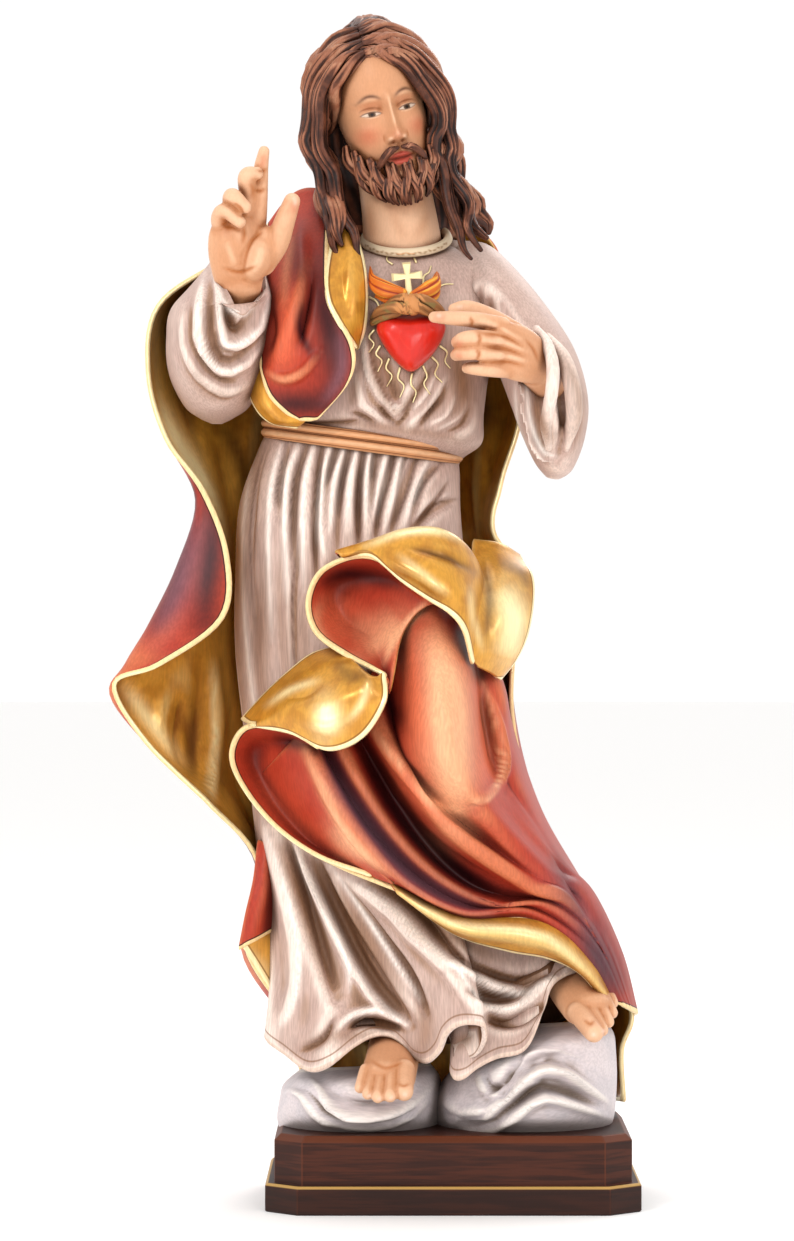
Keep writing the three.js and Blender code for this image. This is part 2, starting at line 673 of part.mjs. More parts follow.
// Hands and feet: a flattened palm or instep with its fingers or toes, each as a path, radii, sides and
// flatness
const RAISED_HAND = [
  [[[232, 345, -40], [239, 312, -50], [241, 286, -58]], [10.5, 10.5, 10.5], 8, 0.85],
  [[[240, 296, -58], [238, 266, -65], [238, 240, -68], [242, 216, -67]], [10, 13.5, 14.5, 12], 8, 0.5],
  [[[246, 276, -67], [256, 256, -70], [266, 240, -70]], [7, 8.5, 7], 6, 1],
  [[[256, 220, -68], [261, 194, -72], [262, 168, -73], [264, 151, -72]], [4.6, 4.2, 3.7, 2.9], 5, 1],
  [[[246, 214, -68], [243, 188, -75], [247, 172, -82], [257, 177, -88]], [4.4, 4.1, 3.8, 3], 5, 1],
  [[[233, 216, -68], [228, 198, -77], [232, 194, -86], [242, 208, -88]], [4.3, 4.1, 3.8, 3.1], 5, 1],
  [[[222, 226, -66], [216, 214, -74], [222, 208, -83], [238, 222, -86]], [4, 3.8, 3.5, 2.8], 5, 1],
  [[[262, 262, -66], [276, 244, -71], [284, 223, -74], [292, 201, -74]], [7, 6, 5.2, 4.1], 5, 1],
];
const POINTING_HAND = [
  [[[566, 398, -46], [552, 380, -58], [538, 366, -70]], [10.5, 11, 11], 8, 0.85],
  [[[544, 366, -72], [520, 354, -80], [498, 345, -85]], [10, 13.5, 12.5], 8, 0.55],
  [[[502, 326, -84], [476, 320, -88], [452, 318, -85], [434, 317, -78]], [4.6, 4, 3.5, 2.8], 5, 1],
  [[[496, 340, -89], [478, 338, -94], [464, 339, -92], [457, 342, -85]], [4.4, 4.1, 3.7, 3], 5, 1],
  [[[496, 355, -89], [478, 352, -93], [463, 353, -90], [456, 355, -83]], [4.3, 4, 3.6, 2.9], 5, 1],
  [[[506, 370, -84], [488, 369, -89], [474, 368, -87], [467, 368, -81]], [4, 3.8, 3.4, 2.7], 5, 1],
  [[[524, 338, -76], [492, 318, -71], [468, 308, -69], [454, 309, -68]], [5.4, 4.6, 3.9, 2.9], 5, 1],
];
const RIGHT_FOOT = [
  [[[398, 1020, -20], [394, 1050, -44], [388, 1078, -64]], [12, 13, 13.5], 8, 0.7],
  [[[404, 1070, -66], [404, 1092, -79]], [5.4, 4.6], 5, 1],
  [[[392, 1076, -70], [390, 1096, -81]], [3.9, 3.3], 5, 1],
  [[[382, 1077, -69], [378, 1097, -80]], [3.7, 3.2], 5, 1],
  [[[373, 1075, -67], [368, 1094, -77]], [3.5, 3], 5, 1],
  [[[366, 1070, -64], [360, 1088, -73]], [3.3, 2.8], 5, 1],
];
const LEFT_FOOT = [
  [[[556, 955, -12], [572, 985, -38], [587, 1008, -54]], [12, 13, 12.5], 8, 0.7],
  [[[578, 1012, -60], [594, 1033, -72]], [5.6, 4.8], 5, 1],
  [[[590, 1010, -59], [602, 1030, -68]], [3.9, 3.3], 5, 1],
  [[[597, 1002, -54], [608, 1022, -62]], [3.7, 3.2], 5, 1],
  [[[602, 995, -48], [612, 1013, -55]], [3.5, 3], 5, 1],
  [[[605, 988, -42], [613, 1003, -47]], [3.3, 2.8], 5, 1],
];
const limbs = (parts, wide) =>
  parts.map(([path, radii, sides, flat]) => limb(path, radii, sides, flat, wide));

// The mantle's cloth in front, each sheet as rows of drawn points from one edge to the other

const CHEST_PANEL = [
  [[266, 232, -16], [258, 290, -34], [260, 345, -44], [267, 388, -47], [284, 410, -49], [300, 419, -48]],
  [[290, 212, -18], [281, 280, -46], [284, 340, -55], [290, 378, -54], [298, 402, -52], [305, 419, -49]],
  [[312, 204, -16], [306, 270, -46], [314, 330, -57], [322, 372, -57], [320, 400, -53], [312, 419, -49]],
  [[336, 208, -16], [327, 266, -45], [329, 302, -53], [352, 345, -58], [349, 380, -55], [318, 418, -49]],
];
const CHEST_PANEL_FOLDS = [
  stroke([[300, 232], [302, 280], [291, 326], [276, 366]], 8, 4.5),
  stroke([[312, 270], [307, 310], [298, 350]], 5, -4),
  stroke([[266, 368], [284, 378], [302, 373], [320, 352]], 5, 3.5),
  stroke([[270, 300], [274, 330], [270, 352]], 5, -3),
];
const LAPEL = [
  [[336, 226, -32], [327, 272, -47], [328, 300, -54], [340, 325, -57], [354, 346, -56]],
  [[343, 224, -35], [348, 265, -49], [348, 298, -54], [350, 324, -54], [356, 347, -54]],
  [[350, 222, -32], [362, 258, -42], [366, 293, -46], [364, 327, -48], [357, 348, -50]],
];
const FLAP = [
  [
    [345, 557, -75], [373, 556, -84], [402, 580, -91], [428, 598, -94], [450, 612, -94], [464, 630, -90],
    [472, 662, -80],
  ],
  [
    [341, 554, -77], [372, 550, -84], [405, 560, -94], [437, 574, -97], [460, 590, -92], [472, 612, -82],
    [478, 648, -70],
  ],
  [
    [337, 552, -73], [370, 542, -78], [404, 531, -82], [438, 531, -80], [464, 546, -72], [480, 572, -62],
    [486, 606, -54],
  ],
  [
    [345, 560, -58], [378, 552, -60], [408, 543, -60], [440, 546, -58], [462, 562, -52], [474, 590, -46],
    [480, 620, -42],
  ],
];
const SIDE_LOBE = [
  [[478, 548, -40], [474, 580, -62], [468, 612, -76], [470, 640, -81], [474, 662, -78], [489, 668, -66]],
  [[500, 545, -34], [503, 580, -56], [500, 615, -68], [496, 645, -70], [496, 668, -64], [498, 677, -58]],
  [[512, 552, -20], [531, 576, -34], [532, 602, -42], [526, 635, -48], [514, 660, -52], [500, 678, -54]],
];
const UPPER_FUNNEL = [
  [
    [430, 598, -92], [373, 557, -83], [326, 567, -68], [308, 598, -62], [315, 631, -68], [346, 655, -82],
    [384, 674, -95],
  ],
  [
    [430, 600, -84], [390, 574, -60], [352, 580, -46], [340, 602, -44], [350, 626, -50], [370, 644, -68],
    [387, 682, -92],
  ],
  [
    [432, 602, -78], [424, 606, -74], [414, 614, -72], [404, 628, -74], [398, 644, -81], [394, 666, -89],
    [389, 692, -93],
  ],
];
const LOWER_LOBE = [
  [[334, 648, -62], [312, 655, -60], [292, 670, -56], [268, 692, -52], [243, 719, -46]],
  [[350, 660, -84], [328, 670, -81], [304, 684, -77], [277, 702, -70], [250, 723, -56]],
  [[370, 678, -96], [348, 694, -98], [322, 706, -94], [290, 713, -82], [256, 724, -64]],
  [[384, 674, -95], [384, 702, -99], [362, 736, -98], [328, 749, -92], [290, 732, -78], [250, 725, -60]],
];
const LOWER_FUNNEL = [
  [
    [318, 747, -90], [285, 728, -76], [246, 727, -56], [231, 754, -46], [243, 787, -48], [275, 826, -58],
    [318, 856, -68], [368, 874, -76],
  ],
  [
    [320, 746, -80], [292, 738, -58], [266, 744, -40], [262, 768, -36], [280, 805, -44], [312, 842, -57],
    [345, 862, -68], [375, 876, -75],
  ],
  [
    [322, 745, -72], [310, 748, -66], [306, 760, -66], [316, 785, -72], [332, 812, -78], [352, 840, -82],
    [372, 862, -83], [392, 882, -82],
  ],
];
// The cloth over the forward leg, row by row along its ridges and valleys from its hem up to the right side
const LEG_PANEL = [
  [
    [240, 780, -42], [291, 838, -56], [339, 866, -68], [404, 893, -78], [465, 921, -82], [528, 921, -76],
    [576, 952, -62], [610, 1001, -44],
  ],
  [
    [262, 775, -36], [296, 822, -50], [345, 860, -66], [408, 890, -78], [466, 917, -82], [530, 917, -76],
    [580, 950, -62], [614, 1002, -43],
  ],
  [
    [300, 735, -64], [326, 782, -78], [357, 830, -86], [402, 880, -90], [462, 912, -87], [530, 912, -78],
    [584, 948, -61], [617, 1003, -42],
  ],
  [
    [314, 730, -54], [342, 785, -64], [378, 838, -72], [424, 882, -77], [474, 907, -78], [534, 908, -73],
    [588, 946, -58], [620, 1004, -41],
  ],
  [
    [330, 722, -62], [360, 780, -80], [400, 838, -87], [444, 880, -88], [494, 906, -83], [545, 908, -74],
    [592, 944, -57], [622, 1005, -40],
  ],
  [
    [346, 712, -48], [378, 770, -58], [420, 834, -66], [464, 880, -70], [510, 902, -71], [556, 908, -65],
    [596, 944, -53], [624, 1006, -38],
  ],
  [
    [362, 700, -64], [394, 752, -82], [430, 808, -94], [482, 856, -90], [522, 886, -81], [566, 910, -68],
    [600, 946, -52], [626, 1007, -36],
  ],
  [
    [386, 640, -54], [391, 705, -62], [412, 776, -84], [486, 842, -86], [534, 880, -77], [572, 908, -62],
    [605, 948, -47], [628, 1008, -33],
  ],
  [
    [404, 612, -60], [410, 672, -84], [432, 762, -104], [496, 834, -90], [540, 876, -75], [576, 908, -59],
    [608, 949, -45], [629, 1008, -32],
  ],
  [
    [430, 600, -64], [444, 665, -94], [458, 765, -108], [504, 826, -86], [546, 872, -70], [582, 908, -55],
    [611, 950, -41], [630, 1009, -30],
  ],
  [
    [452, 604, -56], [470, 672, -76], [478, 755, -84], [510, 818, -72], [554, 869, -59], [588, 906, -46],
    [616, 952, -35], [632, 1010, -26],
  ],
  [
    [466, 620, -50], [478, 680, -56], [488, 755, -60], [518, 814, -60], [562, 868, -50], [592, 904, -38],
    [619, 953, -28], [634, 1011, -20],
  ],
  [
    [484, 640, -40], [502, 690, -46], [508, 745, -46], [532, 812, -40], [566, 868, -34], [594, 904, -26],
    [621, 954, -18], [636, 1012, -12],
  ],
  [
    [482, 640, 0], [502, 690, 0], [516, 745, 2], [540, 812, 4], [572, 868, 6], [596, 905, 8],
    [620, 955, 10], [636, 1013, 10],
  ],
  [
    [476, 640, 42], [500, 690, 46], [516, 745, 50], [540, 812, 52], [572, 868, 54], [596, 905, 55],
    [620, 955, 50], [634, 1014, 44],
  ],
];
const LEG_FOLDS = [
  stroke([[478, 690], [490, 740], [490, 786]], 7, -5),
  stroke([[484, 690], [498, 728], [503, 762], [497, 788], [476, 798]], 4, 4),
  stroke([[375, 730], [400, 768], [432, 804], [456, 812]], 5, 4),
  stroke([[372, 752], [398, 790], [440, 826]], 5, -4),
  stroke([[404, 790], [460, 838], [530, 884], [575, 912]], 6, 3.5),
  stroke([[400, 800], [450, 850], [520, 892]], 5, -4),
  stroke([[470, 800], [530, 860], [590, 940]], 9, 3),
  stroke([[508, 780], [556, 850], [602, 950]], 6, -3),
];
const HEM_TURN = [
  [
    [392, 886, -84], [430, 906, -90], [468, 920, -91], [528, 919, -84], [563, 934, -75], [594, 970, -62],
    [611, 1000, -50],
  ],
  [
    [398, 892, -82], [430, 914, -90], [466, 930, -92], [520, 936, -86], [558, 948, -77], [588, 974, -64],
    [610, 1003, -48],
  ],
  [
    [404, 896, -74], [432, 918, -78], [464, 937, -80], [510, 950, -76], [548, 957, -70], [580, 972, -60],
    [604, 1000, -46],
  ],
];
// The mantle behind: rows from the shoulders down, each from its free left edge round the back to its right
// edge
const BACK_MANTLE = [
  [
    [322, 206, -10], [300, 210, 0], [296, 214, 14], [345, 206, 30], [405, 202, 36], [460, 216, 34],
    [492, 244, 24], [500, 268, 12],
  ],
  [
    [214, 262, -14], [206, 262, -4], [226, 258, 16], [300, 270, 40], [390, 275, 47], [465, 280, 42],
    [505, 295, 28], [514, 305, 14],
  ],
  [
    [166, 302, -14], [160, 304, -4], [186, 310, 20], [280, 330, 46], [380, 335, 52], [460, 340, 47],
    [508, 350, 32], [520, 360, 14],
  ],
  [
    [150, 372, -20], [148, 378, -8], [184, 380, 18], [270, 395, 46], [375, 400, 54], [452, 400, 50],
    [505, 410, 34], [520, 420, 10],
  ],
  [
    [168, 436, -30], [166, 440, -18], [198, 445, 14], [262, 455, 44], [365, 460, 56], [442, 460, 52],
    [492, 470, 36], [502, 480, 6],
  ],
  [
    [204, 492, -38], [198, 500, -30], [216, 505, 6], [256, 515, 42], [360, 520, 58], [440, 520, 54],
    [484, 525, 38], [494, 530, 4],
  ],
  [
    [227, 556, -46], [178, 568, -38], [210, 570, 0], [250, 575, 40], [355, 580, 60], [440, 580, 57],
    [492, 575, 42], [518, 575, 2],
  ],
  [
    [222, 618, -58], [152, 622, -40], [200, 630, -4], [248, 635, 36], [355, 640, 62], [446, 640, 60],
    [500, 640, 44], [514, 650, 0],
  ],
  [
    [160, 664, -62], [128, 664, -44], [190, 680, -10], [246, 692, 30], [355, 700, 64], [455, 700, 62],
    [506, 700, 45], [512, 710, 0],
  ],
  [
    [114, 684, -48], [118, 700, -36], [190, 724, -8], [248, 742, 30], [360, 750, 65], [464, 750, 63],
    [518, 760, 46], [522, 770, 4],
  ],
  [
    [146, 742, -38], [160, 752, -28], [208, 768, -4], [256, 790, 32], [370, 800, 66], [478, 810, 64],
    [538, 820, 47], [542, 830, 8],
  ],
  [
    [205, 800, -28], [212, 802, -18], [238, 812, 4], [270, 840, 38], [385, 850, 66], [500, 865, 64],
    [566, 880, 48], [574, 890, 12],
  ],
  [
    [258, 862, -16], [258, 866, -6], [266, 872, 14], [284, 890, 44], [400, 900, 66], [520, 920, 64],
    [590, 940, 48], [606, 950, 14],
  ],
  [
    [246, 944, -22], [244, 950, -10], [262, 956, 16], [290, 960, 46], [415, 965, 66], [535, 985, 64],
    [604, 1005, 46], [632, 1012, 8],
  ],
  [
    [284, 1010, -16], [280, 1012, -4], [284, 1016, 18], [306, 1030, 46], [425, 1040, 64], [545, 1050, 62],
    [604, 1065, 44], [622, 1050, 14],
  ],
  [
    [300, 1050, -4], [298, 1052, 4], [300, 1060, 20], [318, 1085, 42], [430, 1095, 60], [550, 1095, 58],
    [608, 1098, 42], [624, 1100, 20],
  ],
];
const LINING_FOLDS = [
  stroke([[206, 650], [213, 720], [212, 770], [206, 800]], 5, 6),
  stroke([[182, 690], [190, 740], [186, 780]], 8, -4),
  stroke([[228, 700], [234, 760], [240, 800]], 6, -4),
  stroke([[160, 330], [172, 400], [204, 470]], 5, 3),
];
const BACK_FOLDS = [
  stroke([[330, 240], [300, 420], [285, 640], [300, 900], [330, 1080]], 17, 8, BEHIND),
  stroke([[364, 240], [334, 440], [320, 660], [338, 900], [366, 1085]], 13, -8, BEHIND),
  stroke([[400, 300], [378, 500], [366, 700], [392, 900], [410, 1090]], 16, 7, BEHIND),
  stroke([[420, 260], [416, 460], [412, 660], [436, 900], [460, 1090]], 13, -8, BEHIND),
  stroke([[448, 300], [452, 460], [456, 640], [486, 860], [510, 1090]], 16, 8, BEHIND),
  stroke([[480, 320], [486, 460], [500, 660], [536, 880], [560, 1090]], 12, -6, BEHIND),
  stroke([[270, 330], [240, 500], [222, 680], [268, 860]], 13, -6, BEHIND),
  stroke([[226, 300], [190, 420], [196, 560], [160, 680]], 14, 5, BEHIND),
];
const SHEETS = [
  [CHEST_PANEL, 16, 12, CHEST_PANEL_FOLDS],
  [LAPEL, 6, 3],
  [FLAP, 10, 5],
  [SIDE_LOBE, 8, 4],
  [UPPER_FUNNEL, 10, 5],
  [LOWER_LOBE, 8, 5],
  [LOWER_FUNNEL, 11, 5],
  [LEG_PANEL, 16, 30, LEG_FOLDS],
  [HEM_TURN, 9, 3],
  [BACK_MANTLE, 22, 18, [...LINING_FOLDS, ...BACK_FOLDS]],
];
const mantle = () => SHEETS.map((each) => sheet(...each));

// The head has a frame of its own: drawn millimetres to its left, back and up from its middle.
const HEAD_MIDDLE = place([381, 109, -14]);
const HEAD_NOD = 8;
const HEAD_ROLL = -13;
const HEAD_TURN = 8;
const HEAD_TURNS = [HEAD_NOD, HEAD_ROLL, HEAD_TURN].map(THREE.MathUtils.degToRad);
const HEAD_FRAME = new THREE.Matrix4()
  .makeRotationFromEuler(new THREE.Euler(...HEAD_TURNS, "YXZ"))
  .scale(new THREE.Vector3(DRAWN_MM, DRAWN_MM, DRAWN_MM))
  .setPosition(HEAD_MIDDLE);

// The plain head, from chin to crown: height, half width, front and back
const HEAD_LEVELS = [
  [-41, 4, -19, -11],
  [-39.5, 9, -24, -4],
  [-35, 13, -26.5, 2],
  [-27, 16.5, -27.5, 10],
  [-17, 19.4, -28, 22],
  [-7, 21.4, -28, 29],
  [2, 22.3, -27.5, 32],
  [11, 22.6, -28.5, 33],
  [21, 21.6, -26.5, 31],
  [30, 18, -21.5, 25],
  [36, 12.5, -14, 17],
  [39.5, 6.5, -7, 9],
  [40.5, 1.5, -1.5, 2],
];

const bump = (x, z, atX, atZ, wide, high) =>
  Math.exp(-(((x - atX) / wide) ** 2) - ((z - atZ) / high) ** 2);
const pair = (x, z, atX, atZ, wide, high) =>
  bump(x, z, atX, atZ, wide, high) + bump(x, z, -atX, atZ, wide, high);

// How far a calm, evenly proportioned face stands out of the plain head: eyes at half its height, then the
// nose's base, the mouth and the chin at even steps below them
const faceRelief = (x, z) =>
  1.3 * pair(x, z, 9, 6.4, 7, 2.8) -
  3.6 * pair(x, z, 9, 0.6, 5.6, 4) +
  2.6 * pair(x, z, 9.2, -0.4, 4.4, 2.6) +
  2.4 * bump(x, z, 0, 3, 2.8, 5) +
  4 * bump(x, z, 0, -5, 2.9, 5) +
  6.8 * bump(x, z, 0, -12.6, 3.6, 3.8) +
  2.2 * pair(x, z, 4, -14.6, 1.8, 2) +
  1.2 * pair(x, z, 13, -8, 6, 6) +
  1.6 * bump(x, z, 0, -22.4, 6, 1.6) -
  1.4 * bump(x, z, 0, -24.4, 6.6, 0.8) +
  2 * bump(x, z, 0, -26.4, 5, 1.8) +
  2 * bump(x, z, 0, -34, 7, 4.5);

function head() {
  const rings = HEAD_LEVELS.map(([up, half, front, back]) =>
    turns(RING_POINTS).map((a) => [
      half * Math.sin(a),
      (front + back) / 2 - ((back - front) / 2) * Math.cos(a),
      up,
    ]),
  );
  const grid = drawnGrid(rings, fine(40), fine(36), true).map((ring) =>
    ring.map(([x, y, z], i) => {
      const facing = Math.max(0, Math.cos((2 * Math.PI * i) / ring.length));
      return new THREE.Vector3(x, y - Math.sqrt(facing) * faceRelief(x, z), z).applyMatrix4(HEAD_FRAME);
    }),
  );
  return ringsSolid(grid);
}

// A drawn point from one in the head's frame, so that limbs can follow the head
function drawnFromHead([x, y, z]) {
  const at = new THREE.Vector3(x, y, z).applyMatrix4(HEAD_FRAME);
  const depth = at.y / DRAWN_MM;
  const nearness = 1 + depth / EYE_DISTANCE;
  return [
    EYE_ACROSS + (at.x / STEP - EYE_ACROSS + DRAWN_AXIS) / nearness,
    EYE_DOWN - ((at.z - PLINTH_HEIGHT) / STEP - DRAWN_FOOT + EYE_DOWN) / nearness,
    depth,
  ];
}

const NECK = [[[404, 264, -4], [398, 215, -6], [390, 160, -6]], [19.5, 18.5, 17]];

// Hair: a cap over the skull, locks over its back, and wavy locks that fall from the parting to the shoulders
const HAIR_CAP = [
  [[366, 24, 4], [16, -2, 0], [0, 0, -10]],
  [[368, 40, 4], [38, -4, 0], [0, 0, -24]],
  [[370, 66, 6], [55, -7, 0], [0, 2, -27]],
  [[374, 95, 10], [64, -10, 0], [0, 4, -27]],
  [[378, 130, 14], [66, -8, 0], [0, 4, -25]],
  [[384, 170, 17], [68, -2, 0], [0, 4, -22]],
  [[392, 205, 18], [70, 2, 0], [0, 4, -20]],
  [[398, 236, 16], [68, 4, 0], [0, 0, -17]],
];
const LOCK_TIP = 0.4;
const BACK_LOCKS = 8;
const BACK_LOCK_RADIUS = 7.5;
const BACK_LOCK_SINK = 0.86;
const SIDE_LOCKS = [
  [
    [
      [356, 60, -33], [338, 78, -38], [325, 102, -37], [323, 130, -34], [328, 155, -32], [334, 178, -31],
      [337, 198, -33], [346, 216, -37], [350, 236, -39], [360, 258, -43],
    ],
    5.5,
  ],
  [
    [
      [352, 54, -29], [330, 70, -33], [317, 96, -30], [318, 122, -28], [317, 150, -27], [323, 178, -27],
      [332, 198, -31], [328, 220, -36], [334, 238, -41], [337, 252, -43],
    ],
    6.5,
  ],
  [
    [
      [350, 50, -16], [326, 64, -20], [314, 88, -16], [320, 114, -14], [316, 140, -13], [321, 164, -13],
      [327, 186, -18], [324, 208, -28], [326, 228, -34],
    ],
    7,
  ],
  [
    [
      [354, 47, -2], [328, 60, -1], [318, 84, 0], [323, 118, 2], [321, 158, 3], [327, 188, 0], [322, 210, -8],
    ],
    8,
  ],
  [[[322, 188, -26], [336, 206, -37], [333, 226, -42], [343, 244, -44]], 5],
  [
    [
      [356, 60, -34], [384, 62, -38], [406, 74, -38], [420, 94, -37], [430, 118, -34], [436, 145, -31],
      [438, 172, -29], [444, 196, -28], [452, 216, -31], [458, 238, -36], [470, 258, -41],
    ],
    5.5,
  ],
  [
    [
      [358, 50, -31], [388, 56, -34], [410, 70, -34], [425, 92, -32], [437, 114, -29], [443, 136, -27],
      [441, 158, -26], [448, 180, -27], [460, 198, -28], [461, 220, -32], [473, 238, -36], [484, 252, -37],
    ],
    6,
  ],
  [
    [
      [358, 48, -22], [388, 52, -24], [408, 64, -22], [424, 86, -19], [435, 108, -17], [442, 126, -15],
      [446, 148, -15], [449, 166, -15], [461, 186, -17], [464, 208, -21], [477, 226, -26], [485, 238, -30],
    ],
    7,
  ],
  [
    [
      [358, 48, -6], [388, 56, -8], [407, 68, -6], [421, 84, -2], [432, 110, 0], [443, 145, 2],
      [450, 170, 2], [462, 190, 0], [464, 214, -6],
    ],
    8,
  ],
  [[[460, 184, 6], [474, 204, 8], [482, 219, 8], [487, 233, 6]], 7],
  [[[430, 130, -24], [438, 160, -21], [442, 190, -22], [452, 214, -27], [463, 236, -35]], 5.5],
];

function hair() {
  const backLock = (turn, k) =>
    HAIR_CAP.slice(1).map(([middle, u, v], j) => {
      const sway = 0.14 * Math.sin(1.3 * j + 2.1 * k);
      const [across, down, depth] = spannedPoint(
        middle,
        u.map((step) => step * BACK_LOCK_SINK),
        v.map((step) => step * BACK_LOCK_SINK),
        turn + sway,
      );
      return [across, down + (j * (k % 3) * 2) / 3, depth];
    });
  const backTurns = Array.from(
    { length: BACK_LOCKS },
    (_, k) => Math.PI * (0.56 + (0.88 * k) / (BACK_LOCKS - 1)),
  );
  const tapered = (path, radius) => path.map((_, i) => (i === path.length - 1 ? LOCK_TIP : 1) * radius);
  return [
    lofted(HAIR_CAP.map((span) => spanned(...span)), 14, 10),
    ...backTurns.map((turn, k) => {
      const path = backLock(turn, k);
      return limb(path, tapered(path, BACK_LOCK_RADIUS), 5);
    }),
    ...SIDE_LOCKS.map(([path, radius]) => limb(path, tapered(path, radius), 5)),
  ];
}

// The beard: a mass along the jaw from ear to ear, tapered curls that flow down over it, and a moustache
const JAW_MASS = [
  [
    [-20, 8, -12], [-17, -8, -25], [-9, -19, -34], [0, -22, -37], [9, -19, -34], [17, -8, -25],
    [20, 8, -12],
  ],
  [3, 5, 6.5, 7.5, 6.5, 5, 3],
];
const CURLS = 15;
const CURL_REACH = 1.45;
const CURL_RADIUS = 3.5;
const CURL_SHARES = [0, 0.3, 0.55, 0.8, 1];
const CURL_TAPER = [0.7, 1, 1, 0.75, 0.3];
const MOUSTACHE = [[[1.5, -30, -19], [6, -30.5, -21], [10.5, -28, -26]], [1.4, 1.9, 1.1]];

// A curl starts high on the jaw at its turn from the chin and sweeps down and inwards to the beard's tip.
function curlPath(turn, sway) {
  return CURL_SHARES.map((share) => {
    const at = turn * (1 - 0.28 * share);
    const out = 2 + 4 * Math.sin(Math.PI * (0.2 + 0.7 * share));
    return [
      (18.5 + out) * Math.sin(at) + sway * Math.sin(2 * Math.PI * share),
      -3 - (20 + out) * Math.cos(at),
      -9 - 17 * Math.cos(at) - share * (13 + 9 * Math.cos(at)),
    ];
  });
}

function beard() {
  const along = (path) => path.map(drawnFromHead);
  const curls = Array.from({ length: CURLS }, (_, k) =>
    limb(
      along(curlPath(CURL_REACH * ((2 * k) / (CURLS - 1) - 1), k % 2 ? 1.6 : -1.6)),
      CURL_TAPER.map((share) => share * CURL_RADIUS),
      5,
    ),
  );
  const sides = [1, -1].map((side) => {
    const path = MOUSTACHE[0].map(([x, y, z]) => [side * x, y, z]);
    return limb(along(path), MOUSTACHE[1], 5);
  });
  return [limb(along(JAW_MASS[0]), JAW_MASS[1], 8), ...curls, ...sides];
}

// The heart in relief, its crown of thorns, two flames and a cross
const HEART_MIDDLE = [411, 331];
const HEART_HALF = 33;
const HEART_LAYERS = [[0.98, -36], [1, -46], [0.86, -53], [0.5, -57]];

function heart() {
  const outline = turns(20).map((a) => [
    Math.sin(a) ** 3,
    -(13 * Math.cos(a) - 5 * Math.cos(2 * a) - 2 * Math.cos(3 * a) - Math.cos(4 * a)) / 15,
  ]);
  const [across, down] = HEART_MIDDLE;
  const rings = HEART_LAYERS.map(([share, depth]) =>
    outline.map(([u, v]) => [across + HEART_HALF * share * u, down + HEART_HALF * share * v, depth]),
  );
  return lofted(rings, 16, 4);
}
const HEART_TRIM = [
  [
    [[376, 318, -45], [390, 308, -53], [411, 304, -56], [430, 306, -54], [442, 316, -46]],
    [2.6, 3, 3.2, 3, 2.6], 5, 1,
  ],
  [
    [[378, 312, -46], [394, 314, -55], [412, 311, -58], [428, 313, -55], [440, 309, -46]],
    [2, 2.4, 2.6, 2.4, 2], 5, 1,
  ],
  [[[369, 270, -35], [380, 288, -42], [401, 298, -49]], [1.6, 5.5, 3.5], 5, 0.6],
  [[[438, 274, -34], [434, 290, -40], [420, 298, -49]], [1.6, 5.5, 3.5], 5, 0.6],
  [[[407, 265, -34], [408, 282, -40], [410, 302, -50]], [2.4, 2.2, 2.6], 4, 1],
  [[[393, 275, -35], [408, 275, -38], [421, 275, -35]], [2.3, 2.1, 2.3], 4, 1],
];

// The carved cloud
const CLOUD_LEFT = [
  oval(1136, 282, 436, -44, 48),
  oval(1118, 277, 440, -56, 54),
  oval(1098, 280, 442, -58, 54, 0.02),
  oval(1080, 284, 440, -50, 46, -0.04),
  oval(1066, 300, 430, -30, 36, -0.05),
];
const CLOUD_RIGHT = [
  oval(1136, 440, 608, -44, 48),
  oval(1116, 434, 614, -58, 54),
  oval(1088, 436, 617, -60, 54, -0.06),
  oval(1060, 452, 616, -58, 50, -0.12),
  oval(1040, 490, 614, -50, 44, -0.1),
  oval(1022, 530, 606, -30, 34, -0.06),
];
const CLOUD_WAVES = [
  stroke([[294, 1074], [312, 1086], [326, 1104], [350, 1115], [384, 1117], [414, 1106], [434, 1086]], 6, 6),
  stroke([[278, 1094], [292, 1090], [304, 1098], [314, 1114], [334, 1127]], 4.5, 4),
  stroke([[316, 1076], [334, 1092], [364, 1104], [400, 1098], [420, 1080]], 9, -6),
  stroke([
    [441, 1098], [462, 1112], [489, 1111], [508, 1100], [522, 1082], [541, 1071], [562, 1071],
    [584, 1085], [612, 1107],
  ], 7, 8),
  stroke([
    [466, 1092], [490, 1096], [508, 1080], [522, 1062], [550, 1052], [580, 1058], [612, 1082],
  ], 8, -5),
  stroke([[444, 1122], [482, 1129], [511, 1119], [530, 1103], [549, 1097], [576, 1106], [612, 1112]], 6, 5),
  stroke([[498, 1112], [520, 1098], [545, 1086], [580, 1096], [608, 1108]], 4.5, -5),
  stroke([[478, 1074], [484, 1092], [498, 1092], [504, 1074]], 4, 4),
];
const cloud = () => [lofted(CLOUD_LEFT, 32, 14, CLOUD_WAVES), lofted(CLOUD_RIGHT, 36, 18, CLOUD_WAVES)];

function figure() {
  const parts = [
    torso(),
    skirt(),
    ...cords(),
    ...sleeves(),
    ...mantle(),
    ...limbs(RAISED_HAND),
    ...limbs(POINTING_HAND, UPRIGHT),
    ...limbs(RIGHT_FOOT),
    ...limbs(LEFT_FOOT),
    limb(...NECK, 10),
    head(),
    ...hair(),
    ...beard(),
    heart(),
    ...limbs(HEART_TRIM),
    ...cloud(),
  ];
  const below = new THREE.BoxGeometry(4 * PLINTH_WIDTH, 4 * PLINTH_DEPTH, 2 * PLINTH_HEIGHT);
  below.deleteAttribute("normal");
  below.deleteAttribute("uv");
  const whole = parts.reduce((sum, next) => sum.add(next)).subtract(geometrySolid(below));
  return leaner(outerShell(pointsAndFaces(whole)), FIGURE_FACES);
}

// The two pieces

